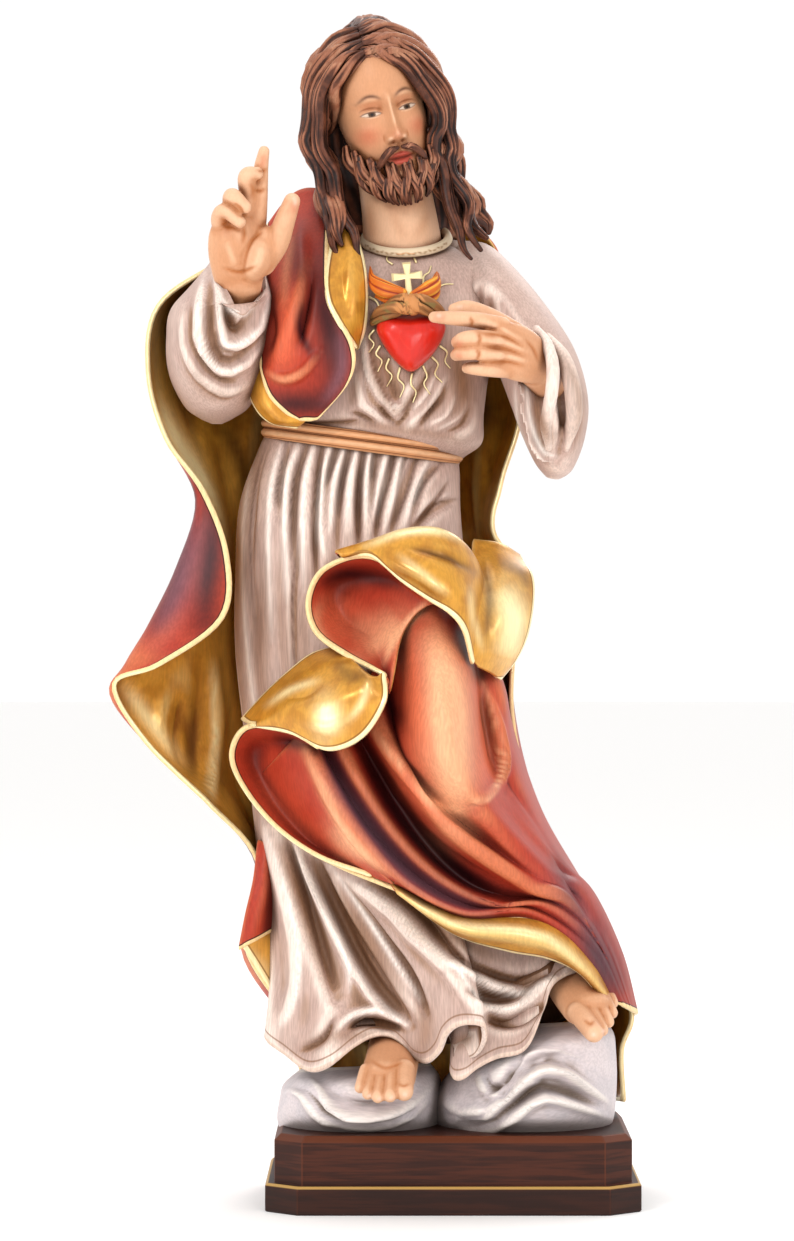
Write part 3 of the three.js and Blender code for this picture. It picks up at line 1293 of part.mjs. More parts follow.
function mesh(name, { points, faces }, colour, roughness) {
  const geometry = new THREE.BufferGeometry().setFromPoints(points);
  geometry.setIndex(faces.flat());
  geometry.computeVertexNormals();
  const material = new THREE.MeshStandardMaterial({ color: colour, roughness, metalness: 0 });
  const piece = new THREE.Mesh(geometry, material);
  piece.name = name;
  return piece;
}

const statue = new THREE.Group();
statue.add(mesh("figure", figure(), 0xc9b3a6, 0.55));
statue.add(mesh("plinth", pointsAndFaces(plinth()), 0x4a2a1c, 0.45));

export default statue;
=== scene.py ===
"""The finish of a carved and painted wooden figure of a robed, bearded man on a cloud base, with its plinth.

The carving is modelled in millimetres from the same drawn control points as the solid it stands for, with
finer folds, locks and features, and goes to Blender in metres. Each zone of its paint is a piece.
"""

import math

import bpy
import numpy as np
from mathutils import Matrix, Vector
from mathutils.bvhtree import BVHTree


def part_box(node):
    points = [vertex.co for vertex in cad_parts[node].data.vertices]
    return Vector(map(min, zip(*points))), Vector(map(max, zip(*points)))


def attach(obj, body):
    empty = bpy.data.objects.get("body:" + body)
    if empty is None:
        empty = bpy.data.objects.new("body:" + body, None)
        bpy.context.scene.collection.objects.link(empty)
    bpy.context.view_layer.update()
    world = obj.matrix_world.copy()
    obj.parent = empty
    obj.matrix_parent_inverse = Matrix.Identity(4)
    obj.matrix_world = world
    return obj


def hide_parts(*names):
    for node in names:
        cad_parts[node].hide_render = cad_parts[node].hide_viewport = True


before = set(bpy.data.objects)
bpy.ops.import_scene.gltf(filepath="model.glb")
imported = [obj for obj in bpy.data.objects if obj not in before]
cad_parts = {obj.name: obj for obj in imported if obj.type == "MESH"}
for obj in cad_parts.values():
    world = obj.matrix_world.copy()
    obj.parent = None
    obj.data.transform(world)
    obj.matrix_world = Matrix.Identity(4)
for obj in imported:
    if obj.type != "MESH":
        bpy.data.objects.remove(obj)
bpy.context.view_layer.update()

# The elevation that the figure is drawn on, as in the solid
MM = 0.001
FIGURE_HEIGHT = 551
DRAWN_HEIGHT = 1102
DRAWN_FOOT = 1122
DRAWN_AXIS = 452
EYE_ACROSS = 397
EYE_DOWN = 620.5
EYE_DISTANCE = 2300
STEP = FIGURE_HEIGHT / DRAWN_HEIGHT
PLINTH_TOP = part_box("plinth")[1].z / MM
CLOTH = 2.3
FRONT = -1
BEHIND = 1
STROKE_STEPS = 8
RING_POINTS = 12
ACROSS = np.array([1.0, 0, 0])
UPRIGHT = np.array([0, 0, 1.0])
FACING_GAIN = 3
FACING_START = 0.6

camera_data = bpy.data.cameras.new("camera")
camera_data.lens = 133.4
camera_data.sensor_width = 36
camera = bpy.data.objects.new("camera", camera_data)
bpy.context.scene.collection.objects.link(camera)
camera.location = Vector(
    (
        STEP * (EYE_ACROSS - DRAWN_AXIS) * MM,
        -EYE_DISTANCE * MM,
        (PLINTH_TOP + STEP * (DRAWN_FOOT - EYE_DOWN)) * MM,
    )
)
camera.rotation_euler = (math.pi / 2, 0, 0)
bpy.context.scene.camera = camera


def place(drawn):
    """Points in millimetres from drawn ones: across and down on the elevation, and depth."""
    across, down, depth = np.moveaxis(np.asarray(drawn, float), -1, 0)
    near = 1 + depth / EYE_DISTANCE
    return np.stack(
        [
            STEP * ((across - EYE_ACROSS) * near + EYE_ACROSS - DRAWN_AXIS),
            depth,
            PLINTH_TOP + STEP * (DRAWN_FOOT - EYE_DOWN - (down - EYE_DOWN) * near),
        ],
        -1,
    )


def elevation(points):
    """Where points in millimetres show on the elevation: across and down."""
    near = 1 + points[..., 1] / EYE_DISTANCE
    across = EYE_ACROSS + (points[..., 0] / STEP - EYE_ACROSS + DRAWN_AXIS) / near
    down = EYE_DOWN - ((points[..., 2] - PLINTH_TOP) / STEP - DRAWN_FOOT + EYE_DOWN) / near
    return across, down


def curve(points, count, closed=False):
    """A smooth curve through points along their first axis."""
    p = np.asarray(points, float)
    n = len(p)
    if closed:
        at = np.arange(count) * n / count
        i = np.floor(at).astype(int)
        before, start, stop, after = (p[(i + k) % n] for k in (-1, 0, 1, 2))
    else:
        at = np.linspace(0, n - 1, count)
        i = np.minimum(np.floor(at).astype(int), n - 2)
        padded = np.concatenate([[2 * p[0] - p[1]], p, [2 * p[-1] - p[-2]]])
        before, start, stop, after = (padded[i + k] for k in range(4))
    w = (at - i).reshape(-1, *[1] * (p.ndim - 1))
    slope = (stop - before) / 2
    next_slope = (after - start) / 2
    return (
        start
        + slope * w
        + (3 * (stop - start) - 2 * slope - next_slope) * w**2
        + (2 * (start - stop) + slope + next_slope) * w**3
    )


def drawn_grid(rows, along, across, closed=False):
    return curve(np.stack([curve(row, along, closed) for row in rows]), across)


def stroke(path, width, height, side=FRONT, sharp=2):
    """A carving or brush stroke on the elevation, with a width in grid steps and a height or strength."""
    return {
        "points": curve(np.reshape(path, (-1, 2)), STROKE_STEPS + 1),
        "width": width,
        "height": height,
        "side": side,
        "sharp": sharp,
    }


def strokes(rows, side=FRONT):
    """Strokes from rows of a width, a height or strength, and the path's places across and down."""
    return [stroke(row[2:], row[0], row[1], side) for row in rows]


def creased(paths, width, height, sharp=1.3):
    """Narrow strokes of one width and height, from rows of places across and down."""
    return [stroke(path, width, height, FRONT, sharp) for path in paths]


def point_rows(rows):
    """Rows of drawn points, from rows of numbers: across, down and depth by turns."""
    return [np.reshape(row, (-1, 3)) for row in rows]


def stroke_share(mark, across, down):
    """How strongly a stroke acts at each place: full on its path, fading over its width and at its ends."""
    nearest = np.full(across.shape, np.inf)
    share = np.zeros(across.shape)
    starts = mark["points"][:-1]
    for i, (start, run) in enumerate(zip(starts, np.diff(mark["points"], axis=0))):
        along = ((across - start[0]) * run[0] + (down - start[1]) * run[1]) / (run @ run)
        t = np.clip(along, 0, 1)
        distance = np.hypot(across - start[0] - t * run[0], down - start[1] - t * run[1])
        closer = distance < nearest
        nearest = np.where(closer, distance, nearest)
        share = np.where(closer, (i + t) / STROKE_STEPS, share)
    ends = np.sqrt(np.sin(math.pi * np.clip(share, 0.02, 0.98)))
    return ends * np.exp(-((nearest / mark["width"]) ** mark["sharp"]))


def stroked(marks, across, down, facing):
    """The sum of strokes at each place, on what faces the viewer (facing 1) or away (facing -1)."""
    total = np.zeros(across.shape)
    for mark in marks:
        reach = 4 * mark["width"]
        low = mark["points"].min(0) - reach
        high = mark["points"].max(0) + reach
        near = (across > low[0]) & (across < high[0]) & (down > low[1]) & (down < high[1])
        share = stroke_share(mark, across[near], down[near])
        towards = np.maximum(0, -mark["side"] * facing[near])
        total[near] += towards * mark["height"] * share
    return total


def facing_share(normals):
    """From 0 for what faces away from the viewer to 1 for what faces the viewer."""
    return np.clip(-normals[:, 1] * FACING_GAIN + FACING_START, 0, 1)


def unit(vectors):
    return vectors / np.maximum(np.linalg.norm(vectors, axis=-1, keepdims=True), 1e-9)


def grid_normals(points, closed=False):
    if closed:
        along = np.roll(points, -1, 1) - np.roll(points, 1, 1)
    else:
        along = np.gradient(points, axis=1)
    return unit(np.cross(along, np.gradient(points, axis=0)))


def outward_normals(points):
    """The normals of a body of rings, turned out of it."""
    normals = grid_normals(points, True)
    middle = len(points) // 2
    if ((points[middle] - points[middle].mean(0)) * normals[middle]).sum() < 0:
        return -normals
    return normals


def fanned(shape):
    """The triangles that a shape's faces part into, by number, and the places of their three corners."""
    fans = np.concatenate([shape.quads[:, [0, 1, 2]], shape.quads[:, [0, 2, 3]], shape.triangles])
    return fans, *(shape.points[fans[:, k]] for k in range(3))


class Shape:
    """A closed surface in millimetres: points, faces with a material slot each, and values at the points."""

    def __init__(self, points, quads, triangles=(), slots=0, **marks):
        self.points = np.asarray(points, float)
        self.quads = np.asarray(quads, int).reshape(-1, 4)
        self.triangles = np.asarray(triangles, int).reshape(-1, 3)
        count = len(self.quads) + len(self.triangles)
        self.slots = np.broadcast_to(slots, count).copy()
        self.marks = marks
        _, a, b, c = fanned(self)
        if (a * np.cross(b, c)).sum() < 0:
            self.quads = self.quads[:, ::-1]
            self.triangles = self.triangles[:, ::-1]


UNMARKED = {"rim": 99.0}


def joined(shapes):
    names = {name for shape in shapes for name in shape.marks}
    starts = np.cumsum([0] + [len(shape.points) for shape in shapes])
    whole = Shape.__new__(Shape)
    whole.points = np.concatenate([shape.points for shape in shapes])
    whole.quads = np.concatenate([shape.quads + start for shape, start in zip(shapes, starts)])
    whole.triangles = np.concatenate([shape.triangles + start for shape, start in zip(shapes, starts)])
    quad_slots = [shape.slots[: len(shape.quads)] for shape in shapes]
    triangle_slots = [shape.slots[len(shape.quads) :] for shape in shapes]
    whole.slots = np.concatenate(quad_slots + triangle_slots)
    whole.marks = {
        name: np.concatenate(
            [
                np.broadcast_to(shape.marks.get(name, UNMARKED.get(name, 0)), len(shape.points))
                for shape in shapes
            ]
        )
        for name in names
    }
    return whole


def strip_faces(rows, columns, closed):
    i = np.arange(columns if closed else columns - 1)
    a = np.arange(rows - 1)[:, None] * columns + i
    b = np.arange(rows - 1)[:, None] * columns + (i + 1) % columns
    return np.stack([a, b, b + columns, a + columns], -1).reshape(-1, 4)


def rings_shape(rings, slots=0, **marks):
    """A closed surface through rings of points, with both its ends closed."""
    rows, columns = rings.shape[:2]
    hubs = [rows * columns, rows * columns + 1]
    i = np.arange(columns)
    j = (i + 1) % columns
    last = (rows - 1) * columns
    ends = [np.stack([j, i, np.full(columns, hubs[0])], -1)]
    ends.append(np.stack([last + i, last + j, np.full(columns, hubs[1])], -1))
    points = np.concatenate([rings.reshape(-1, 3), [rings[0].mean(0), rings[-1].mean(0)]])
    marks = {
        name: np.concatenate([value.reshape(-1), [value[0].mean(), value[-1].mean()]])
        for name, value in marks.items()
    }
    return Shape(points, strip_faces(rows, columns, True), np.concatenate(ends), slots, **marks)


def lofted(rings, around, along, strokes=(), end_rings=None, rim_ring=None):
    """A body lofted through closed rings of drawn points, which may have a rim at one of its rings."""
    drawn = drawn_grid(rings, around, along, True)
    points = place(drawn)
    normals = outward_normals(points)
    height = stroked(strokes, drawn[..., 0], drawn[..., 1], -normals[..., 1])
    shaped = points + normals * height[..., None]
    if end_rings:
        shaped = np.concatenate([shaped, end_rings(shaped[-1])])
    if rim_ring is None:
        return rings_shape(shaped)
    at = round(rim_ring / (len(rings) - 1) * (along - 1))
    steps = np.linalg.norm(np.diff(shaped, axis=0), axis=-1)
    run = np.insert(np.cumsum(steps, axis=0), 0, 0, axis=0)
    return rings_shape(shaped, rim=np.abs(run - run[at]))


RIM_STEPS = 3


def sheet(rows, along, across, strokes=(), slots=(0, 1), free=(1, 1, 1, 1)):
    """A sheet of cloth with a rolled rim, a slot for each face, and each point's distance from its free rim.

    Free says which rims are: the first and the last row, and the first and the last point of each row.
    """
    drawn = drawn_grid(rows, along, across)
    points = place(drawn)
    normals = grid_normals(points)
    if normals[..., 1].sum() > 0:
        normals = -normals
    pressed = [{**mark, "side": FRONT, "height": -mark["side"] * mark["height"]} for mark in strokes]
    height = stroked(pressed, drawn[..., 0], drawn[..., 1], -normals[..., 1])
    shaped = points + normals * height[..., None]
    found = grid_normals(shaped)
    turned = np.sign((found * normals).sum(-1))
    normals = found * np.where(turned == 0, 1, turned)[..., None]
    count, columns = shaped.shape[:2]
    half = CLOTH / 2
    number = np.arange(count * columns).reshape(count, columns)
    rim = np.concatenate([number[0, :-1], number[:-1, -1], number[-1, :0:-1], number[:0:-1, 0]])
    inner = number[1:-1, 1:-1]
    padded = np.pad(inner, 1, mode="edge")
    middle = shaped.reshape(-1, 3)
    flat_normals = normals.reshape(-1, 3)
    out = unit(middle[rim] - middle[padded.reshape(-1)[rim]])
    loops = []
    for k in range(1, RIM_STEPS + 1):
        turn = math.pi * k / (RIM_STEPS + 1)
        loops.append(middle[rim] + half * (out * math.sin(turn) + flat_normals[rim] * math.cos(turn)))
    front = middle + half * flat_normals
    back = middle - half * flat_normals
    total = count * columns
    quads = strip_faces(count, columns, False)
    starts = [2 * total + k * len(rim) + np.arange(len(rim)) for k in range(RIM_STEPS)]
    starts = [rim, *starts, rim + total]
    pairs = zip(starts, starts[1:])
    edges = [np.stack([one, other, np.roll(other, -1), np.roll(one, -1)], -1) for one, other in pairs]
    to_rim = rim_distance(shaped, free).reshape(-1)
    slot_rows = [slots[0]] * len(quads) + [slots[1]] * len(quads)
    slot_rows += [slots[0]] * (2 * len(rim)) + [slots[1]] * (2 * len(rim))
    return Shape(
        np.concatenate([front, back, *loops]),
        np.concatenate([quads, quads[:, ::-1] + total, *edges]),
        slots=np.array(slot_rows),
        rim=np.concatenate([to_rim, to_rim, np.tile(to_rim[rim], RIM_STEPS)]),
    )


def rim_distance(points, free):
    """The distance along the cloth from each point of a grid to the grid's nearest free edge."""
    distances = [np.full(points.shape[:2], UNMARKED["rim"])]
    for axis in (0, 1):
        steps = np.linalg.norm(np.diff(points, axis=axis), axis=-1)
        run = np.cumsum(steps, axis=axis)
        start = np.insert(run, 0, 0, axis=axis)
        whole = np.take(start, [-1], axis=axis)
        distances += [start] * free[2 * axis] + [whole - start] * free[2 * axis + 1]
    return np.min(distances, axis=0)


END_STEPS = 5


def limb_rings(path, radii, around, steps, flat=1, wide=ACROSS, drawn=True, grooves=None):
    count = (len(path) - 1) * steps + 1
    centres = curve(path, count)
    if drawn:
        centres = place(centres)
    sizes = curve(np.asarray(radii, float), count)
    directions = unit(np.gradient(centres, axis=0))
    side = unit(wide - (directions @ wide)[:, None] * directions)
    other = np.cross(directions, side) * flat
    ends = np.sin(np.linspace(0, math.pi / 2, END_STEPS + 1)[1:] * 0.985)
    stations = [(0, -share) for share in ends[::-1]] + [(i, 0) for i in range(count)]
    stations += [(count - 1, share) for share in ends]
    turn = turns(around)
    rings = []
    for i, share in stations:
        centre = centres[i] + directions[i] * share * sizes[i] * flat
        radius = sizes[i] * math.sqrt(1 - share * share)
        radius = radius * (1 if grooves is None else 1 + grooves(turn, i / (count - 1)))
        radius = np.broadcast_to(radius, turn.shape)[:, None]
        rim = np.cos(turn)[:, None] * side[i] + np.sin(turn)[:, None] * other[i]
        rings.append(centre + radius * rim)
    return np.array(rings)


def limb(path, radii, around=16, steps=6, flat=1, wide=ACROSS, drawn=True, grooves=None):
    """A round or flattened limb with rounded ends. Grooves is a share of the radius by turn and by run."""
    return rings_shape(limb_rings(path, radii, around, steps, flat, wide, drawn, grooves))


def hoop(ring, radius, around, steps, twist=0, strands=3):
    """A closed cord round a ring of drawn points, of several twisted strands."""
    path = place(curve(ring, steps, True))
    directions = unit(np.roll(path, -1, 0) - np.roll(path, 1, 0))
    side = unit(UPRIGHT - (directions @ UPRIGHT)[:, None] * directions)
    other = np.cross(directions, side)
    turn = turns(around)
    at = np.arange(steps)[:, None] * 2 * math.pi * twist / steps
    size = radius * (1 + 0.16 * np.abs(np.cos((strands * turn[None] + at) / 2)) - 0.1)
    points = (
        path[:, None]
        + (size * np.cos(turn))[..., None] * side[:, None]
        + (size * np.sin(turn))[..., None] * other[:, None]
    )
    faces = strip_faces(steps + 1, around, True) % (steps * around)
    return Shape(points.reshape(-1, 3), faces)


def turns(count):
    return np.arange(count) * 2 * math.pi / count


def oval(down, left, right, front, back, tilt=0):
    """A level ring of drawn points, lower to its right by tilt."""
    a = turns(RING_POINTS)
    half = (right - left) / 2
    return np.stack(
        [
            (left + right) / 2 + half * np.sin(a),
            down + tilt * half * np.sin(a),
            (front + back) / 2 - (back - front) / 2 * np.cos(a),
        ],
        -1,
    )


def spanned_point(middle, u, v, a):
    a = np.asarray(a)[..., None]
    return np.asarray(middle) + np.asarray(u) * np.sin(a) + np.asarray(v) * np.cos(a)


def spanned(middle, u, v):
    """A ring of drawn points around a middle, spanned by two half axes."""
    return spanned_point(middle, u, v, turns(RING_POINTS))


def pointed(middle, u, v):
    """A spanned ring whose front is drawn down to a point."""
    ring = spanned(middle, u, v)
    a = turns(RING_POINTS)
    narrower = 1 - np.abs(np.sin(a)) ** 1.2 - np.cos(a)
    ring[:, 1] += v[1] * np.where(np.cos(a) > 0, narrower, 0)
    return ring


# The drawn control points

# Rings of the torso: down, left, right, front, back and tilt
TORSO = [
    [240, 378, 440, -12, 20, 0], [254, 338, 474, -27, 28, 0.02], [268, 300, 504, -32, 33, 0.03],
    [300, 286, 508, -40, 37, 0.05], [350, 284, 492, -44, 38, 0.08], [400, 274, 484, -43, 37, 0.12],
    [428, 270, 482, -40, 35, 0.14], [446, 272, 462, -33, 32, 0.14], [466, 262, 456, -30, 32, 0.1],
]

CHEST_FOLDS = strokes([
    [6, 3.4, 366, 332, 372, 368, 388, 402, 398, 416], [6, 3, 432, 362, 416, 392, 398, 414],
    [7, -2.6, 384, 350, 392, 380, 399, 402], [5, 2.8, 446, 376, 430, 408, 408, 428],
    [6, 2.6, 356, 366, 362, 398, 374, 418], [8, 4, 474, 396, 470, 424, 452, 438],
])

# Rings of the skirt: down, left, right, front, back, tilt and their share of the hem's waves
SKIRT = [
    [436, 272, 456, -32, 32, 0.14, 0], [462, 258, 459, -38, 35, 0.1, 0], [510, 240, 460, -45, 40, 0.04, 0],
    [570, 236, 466, -50, 44, 0, 0], [650, 236, 482, -54, 48, 0, 0.06], [740, 246, 504, -57, 50, 0, 0.15],
    [840, 258, 530, -60, 52, 0, 0.35], [920, 270, 552, -61, 53, 0, 0.6], [985, 274, 564, -62, 54, 0, 0.82],
]

HEM_LEVEL = [1040, 270, 575, -62, 54]

HEM_FRONT = [
    [264, 1036, -22], [284, 1054, -40], [308, 1070, -52], [331, 1064, -60], [355, 1046, -57],
    [374, 1036, -54], [390, 1036, -54], [404, 1046, -56], [416, 1059, -60], [427, 1061, -64],
    [437, 1052, -68], [444, 1036, -72], [455, 1026, -76], [470, 1023, -78], [485, 1027, -76],
    [487, 1040, -69], [479, 1053, -62], [462, 1060, -58], [450, 1067, -58], [453, 1078, -62],
    [465, 1077, -64], [480, 1066, -61], [498, 1057, -59], [522, 1051, -58], [536, 1030, -59],
    [546, 1003, -58], [556, 982, -54], [580, 972, -42],
]

HEM_BACK = [
    [592, 990, -8], [560, 1022, 40], [470, 1040, 52], [374, 1040, 48], [322, 1028, 32], [290, 1020, 4],
]

PLEAT_PATHS = [
    [268, 440, 254, 480, 250, 560], [290, 440, 280, 468, 277, 520], [307, 440, 295, 485, 292, 575],
    [321, 442, 316, 485, 314, 590], [340, 444, 326, 480, 322, 530], [352, 446, 339, 490, 337, 560],
    [365, 448, 359, 490, 359, 556], [379, 450, 373, 478, 371, 520], [395, 451, 383, 490, 376, 545],
    [415, 455, 401, 495, 390, 540], [438, 462, 423, 482, 410, 536], [456, 500, 434, 512, 412, 534],
]

PLEATS = creased(PLEAT_PATHS, 4.2, -3.2, 2)
SKIRT_FOLDS = PLEATS + strokes([
    [8, -3, 262, 560, 252, 640, 256, 720, 270, 800], [9, -3.4, 284, 530, 276, 600, 282, 700, 300, 780],
    [8, -2.4, 306, 540, 298, 600, 300, 660], [11, 5, 262, 818, 274, 860, 290, 930, 298, 985, 280, 1030],
    [8, -8, 280, 836, 295, 880, 316, 940, 336, 996],
    [5, 5, 298, 848, 316, 895, 336, 940, 368, 998, 404, 1024],
    [6, -6, 312, 860, 338, 915, 370, 974, 410, 1028], [8, 3.4, 326, 872, 362, 932, 392, 980, 420, 1014],
    [4.5, -4, 343, 882, 384, 944, 412, 985, 428, 1020],
    [10, 7, 347, 880, 386, 904, 418, 938, 448, 964, 468, 992, 482, 1020],
    [7, -7, 374, 882, 414, 911, 442, 950, 464, 978, 492, 1012],
    [6, 4.5, 449, 956, 484, 981, 520, 993, 552, 978], [4.5, -4, 468, 990, 500, 996, 540, 984],
    [5, 4, 480, 1004, 504, 1008, 534, 996, 552, 980], [5, -3, 484, 1018, 512, 1022, 544, 1004],
    [5, 3.4, 340, 1026, 362, 1014, 396, 1018], [4, -4, 346, 1028, 366, 1022, 396, 1027],
])

# Rings by their middle and two half axes
BELT = [[[363, 436, -1], [97, 13, 0], [0, 0, -37]], [[362, 445, -1], [95, 13, 0], [0, 0, -36]]]

NECKLINE = [[406, 239, -5], [42, -1, 0], [0, 14, -26]]

RIGHT_SLEEVE = [
    oval(424, 212, 222, -21, -13),
    oval(418, 199, 234, -33, -2),
    oval(406, 184, 250, -46, 14),
    oval(375, 169, 266, -60, 20),
    oval(340, 166, 273, -68, 20),
    oval(305, 173, 275, -71, 14),
    pointed([240.5, 280, -47], [28, 9, 0], [0, 35, -25]),
    pointed([240.5, 283, -45], [23, 8, 0], [0, 31, -20]),
    pointed([241, 326, -30], [16, 4, 0], [0, 12, -12]),
]

RIGHT_SLEEVE_FOLDS = strokes([
    [4.5, 4, 211, 256, 220, 304, 222, 338, 236, 348, 256, 336, 267, 314, 268, 270],
    [5, 4, 204, 280, 197, 327, 208, 356, 228, 372, 252, 358, 270, 330],
    [5, -4, 208, 270, 209, 330, 222, 360, 246, 356, 266, 328],
    [5, -4, 214, 262, 228, 318, 238, 330, 252, 316, 262, 280],
    [7, 3, 182, 320, 196, 372, 226, 392, 258, 378], [6, -2.6, 186, 300, 190, 350, 214, 384, 246, 376],
])

LEFT_SLEEVE = [
    spanned([452, 250, 10], [10, -10, 0], [0, 0, -14]),
    spanned([466, 263, 6], [21, -19, 0], [0, 0, -25]),
    spanned([485, 284, 2], [24, -22, 0], [0, 0, -31]),
    spanned([512, 318, -2], [30, -18, 0], [0, 0, -35]),
    spanned([536, 360, -12], [38, -12, 0], [0, 0, -38]),
    spanned([549, 400, -26], [39, -3, 0], [0, 2, -38]),
    spanned([553, 435, -34], [32, 2, 0], [0, 2, -32]),
    spanned([554, 466, -38], [19, 3, 0], [0, 1, -19]),
    spanned([553, 479, -38], [6, 1, 0], [0, 0, -6]),
]

LEFT_CUFF = [
    spanned([560, 405, -44], [10, 0, 8], [2, 46, 0]),
    spanned([546, 404, -58], [15, 2, 9], [4, 60, -2]),
    spanned([533, 402, -64], [15, 3, 10], [6, 58, 0]),
    spanned([535, 401, -62], [12, 2, 8], [5, 52, 0]),
    spanned([548, 402, -52], [7, 1, 5], [3, 36, 0]),
]

LEFT_SLEEVE_FOLDS = strokes([
    [6, 4, 560, 352, 575, 388, 582, 424, 570, 460], [6, -5, 552, 350, 563, 392, 568, 430, 558, 464],
    [9, 3, 462, 290, 490, 292, 520, 330], [4, -3.5, 492, 296, 488, 314, 498, 330],
])

UPPER_ARM = [[[310, 254, 5], [258, 305, 0], [222, 362, -14]], [22, 24, 20]]
SHOULDER = [[[430, 260, 4], [460, 268, 6], [490, 290, 4]], [11, 13, 13]]

# Limbs of the hands and feet: how flat, radii, and places across, down and in depth
RAISED_HAND = [
    [0.9, [8, 9, 10.8], [238, 350, -32, 239, 314, -47, 240, 284, -59]],
    [0.5, [10, 13.5, 14.5, 12], [240, 296, -58, 238, 266, -65, 238, 240, -68, 242, 216, -67]],
    [1, [5, 8.5, 7], [246, 282, -60, 257, 258, -69, 268, 240, -70]],
    [1, [4.8, 4.3, 3.6, 2.7], [257, 220, -68, 259, 194, -72, 261, 168, -73, 264, 151, -72]],
    [1, [4.6, 4.6, 4.2, 3.2], [250, 216, -68, 248, 192, -75, 247, 176, -80, 257, 173, -79]],
    [1, [4.4, 4.2, 3.9, 3.2], [236, 218, -68, 231, 202, -76, 233, 196, -83, 245, 207, -84]],
    [1, [4.2, 4.0, 3.7, 3], [222, 232, -66, 219, 218, -74, 225, 211, -81, 240, 222, -82]],
    [1, [7, 6, 5.2, 4.1], [262, 262, -66, 276, 244, -71, 284, 223, -74, 292, 201, -74]],
]

POINTING_HAND = [
    [0.85, [8, 10, 11], [562, 404, -28, 550, 386, -50, 536, 366, -70]],
    [0.55, [10, 13.5, 12.5], [544, 366, -72, 520, 354, -80, 498, 345, -85]],
    [1, [4.6, 4, 3.5, 2.8], [502, 326, -84, 476, 320, -88, 452, 318, -85, 434, 317, -78]],
    [1, [4.4, 4.1, 3.7, 3], [496, 340, -89, 478, 338, -94, 464, 339, -92, 457, 342, -85]],
    [1, [4.3, 4, 3.6, 2.9], [496, 355, -89, 478, 352, -93, 463, 353, -90, 456, 355, -83]],
    [1, [4, 3.8, 3.4, 2.7], [506, 370, -84, 488, 369, -89, 474, 368, -87, 467, 368, -81]],
    [1, [5.4, 4.6, 3.9, 2.9], [524, 338, -76, 492, 318, -71, 468, 308, -69, 454, 309, -68]],
]

RIGHT_FOOT = [
    [0.7, [12, 13, 13.5], [398, 1020, -20, 394, 1050, -44, 388, 1078, -64]],
    [1, [5.4, 4.6], [404, 1070, -66, 404, 1092, -79]], [1, [3.9, 3.3], [392, 1076, -70, 390, 1096, -81]],
    [1, [3.7, 3.2], [382, 1077, -69, 378, 1097, -80]], [1, [3.5, 3], [373, 1075, -67, 368, 1094, -77]],
    [1, [3.3, 2.8], [366, 1070, -64, 360, 1088, -73]],
]

LEFT_FOOT = [
    [0.7, [12, 13, 12.5], [556, 955, -12, 572, 985, -38, 587, 1008, -54]],
    [1, [5.6, 4.8], [578, 1012, -60, 594, 1033, -72]], [1, [3.9, 3.3], [590, 1010, -59, 602, 1030, -68]],
    [1, [3.7, 3.2], [597, 1002, -54, 608, 1022, -62]], [1, [3.5, 3], [602, 995, -48, 612, 1013, -55]],
    [1, [3.3, 2.8], [605, 988, -42, 613, 1003, -47]],
]

CHEST_PANEL = point_rows([
    [268, 226, -6, 258, 290, -34, 260, 345, -44, 267, 388, -47, 284, 410, -49, 300, 419, -48],
    [288, 200, -4, 281, 280, -46, 284, 340, -55, 290, 378, -54, 298, 402, -52, 305, 419, -49],
    [306, 190, -4, 306, 270, -46, 314, 330, -57, 322, 372, -57, 320, 400, -53, 312, 419, -49],
    [330, 192, -10, 327, 266, -45, 329, 302, -53, 352, 345, -58, 349, 380, -55, 318, 418, -49],
])

CHEST_PANEL_FOLDS = strokes([
    [8, 4.5, 300, 232, 302, 280, 291, 326, 276, 366], [5, -4, 312, 270, 307, 310, 298, 350],
    [5, 3.5, 266, 368, 284, 378, 302, 373, 320, 352], [5, -3, 270, 300, 274, 330, 270, 352],
])

CHEST_TURN = point_rows([
    [251, 330, -24, 248, 366, -28, 252, 398, -34, 268, 420, -40, 296, 427, -44],
    [258, 330, -36, 256, 372, -40, 264, 402, -44, 282, 419, -47, 302, 422, -47],
    [270, 330, -40, 270, 380, -45, 282, 404, -48, 298, 415, -48, 308, 417, -48],
])

LAPEL = point_rows([
    [336, 226, -32, 327, 272, -47, 328, 300, -54, 340, 325, -57, 354, 346, -56],
    [343, 224, -35, 348, 265, -49, 348, 298, -54, 350, 324, -54, 356, 347, -54],
    [350, 222, -32, 362, 258, -42, 366, 293, -46, 364, 327, -48, 357, 348, -50],
])

FLAP = point_rows([
    [345, 557, -75, 373, 556, -84, 402, 580, -91, 428, 598, -94, 450, 612, -94, 464, 630, -90, 472, 662,
     -80],
    [341, 554, -77, 372, 550, -84, 405, 560, -94, 437, 574, -97, 460, 590, -92, 472, 612, -82, 478, 648,
     -70],
    [337, 552, -73, 370, 542, -78, 404, 531, -82, 438, 531, -80, 464, 546, -72, 480, 572, -62, 486, 606,
     -54],
    [345, 560, -58, 378, 552, -60, 408, 543, -60, 440, 546, -58, 462, 562, -52, 474, 590, -46, 480, 620,
     -42],
])

SIDE_LOBE = point_rows([
    [474, 541, -38, 474, 580, -62, 468, 612, -76, 470, 640, -81, 474, 662, -78, 489, 668, -66],
    [500, 545, -34, 503, 580, -56, 500, 615, -68, 496, 645, -70, 496, 668, -64, 498, 677, -58],
    [519, 556, -20, 531, 576, -34, 532, 602, -42, 526, 635, -48, 514, 660, -52, 500, 678, -54],
])

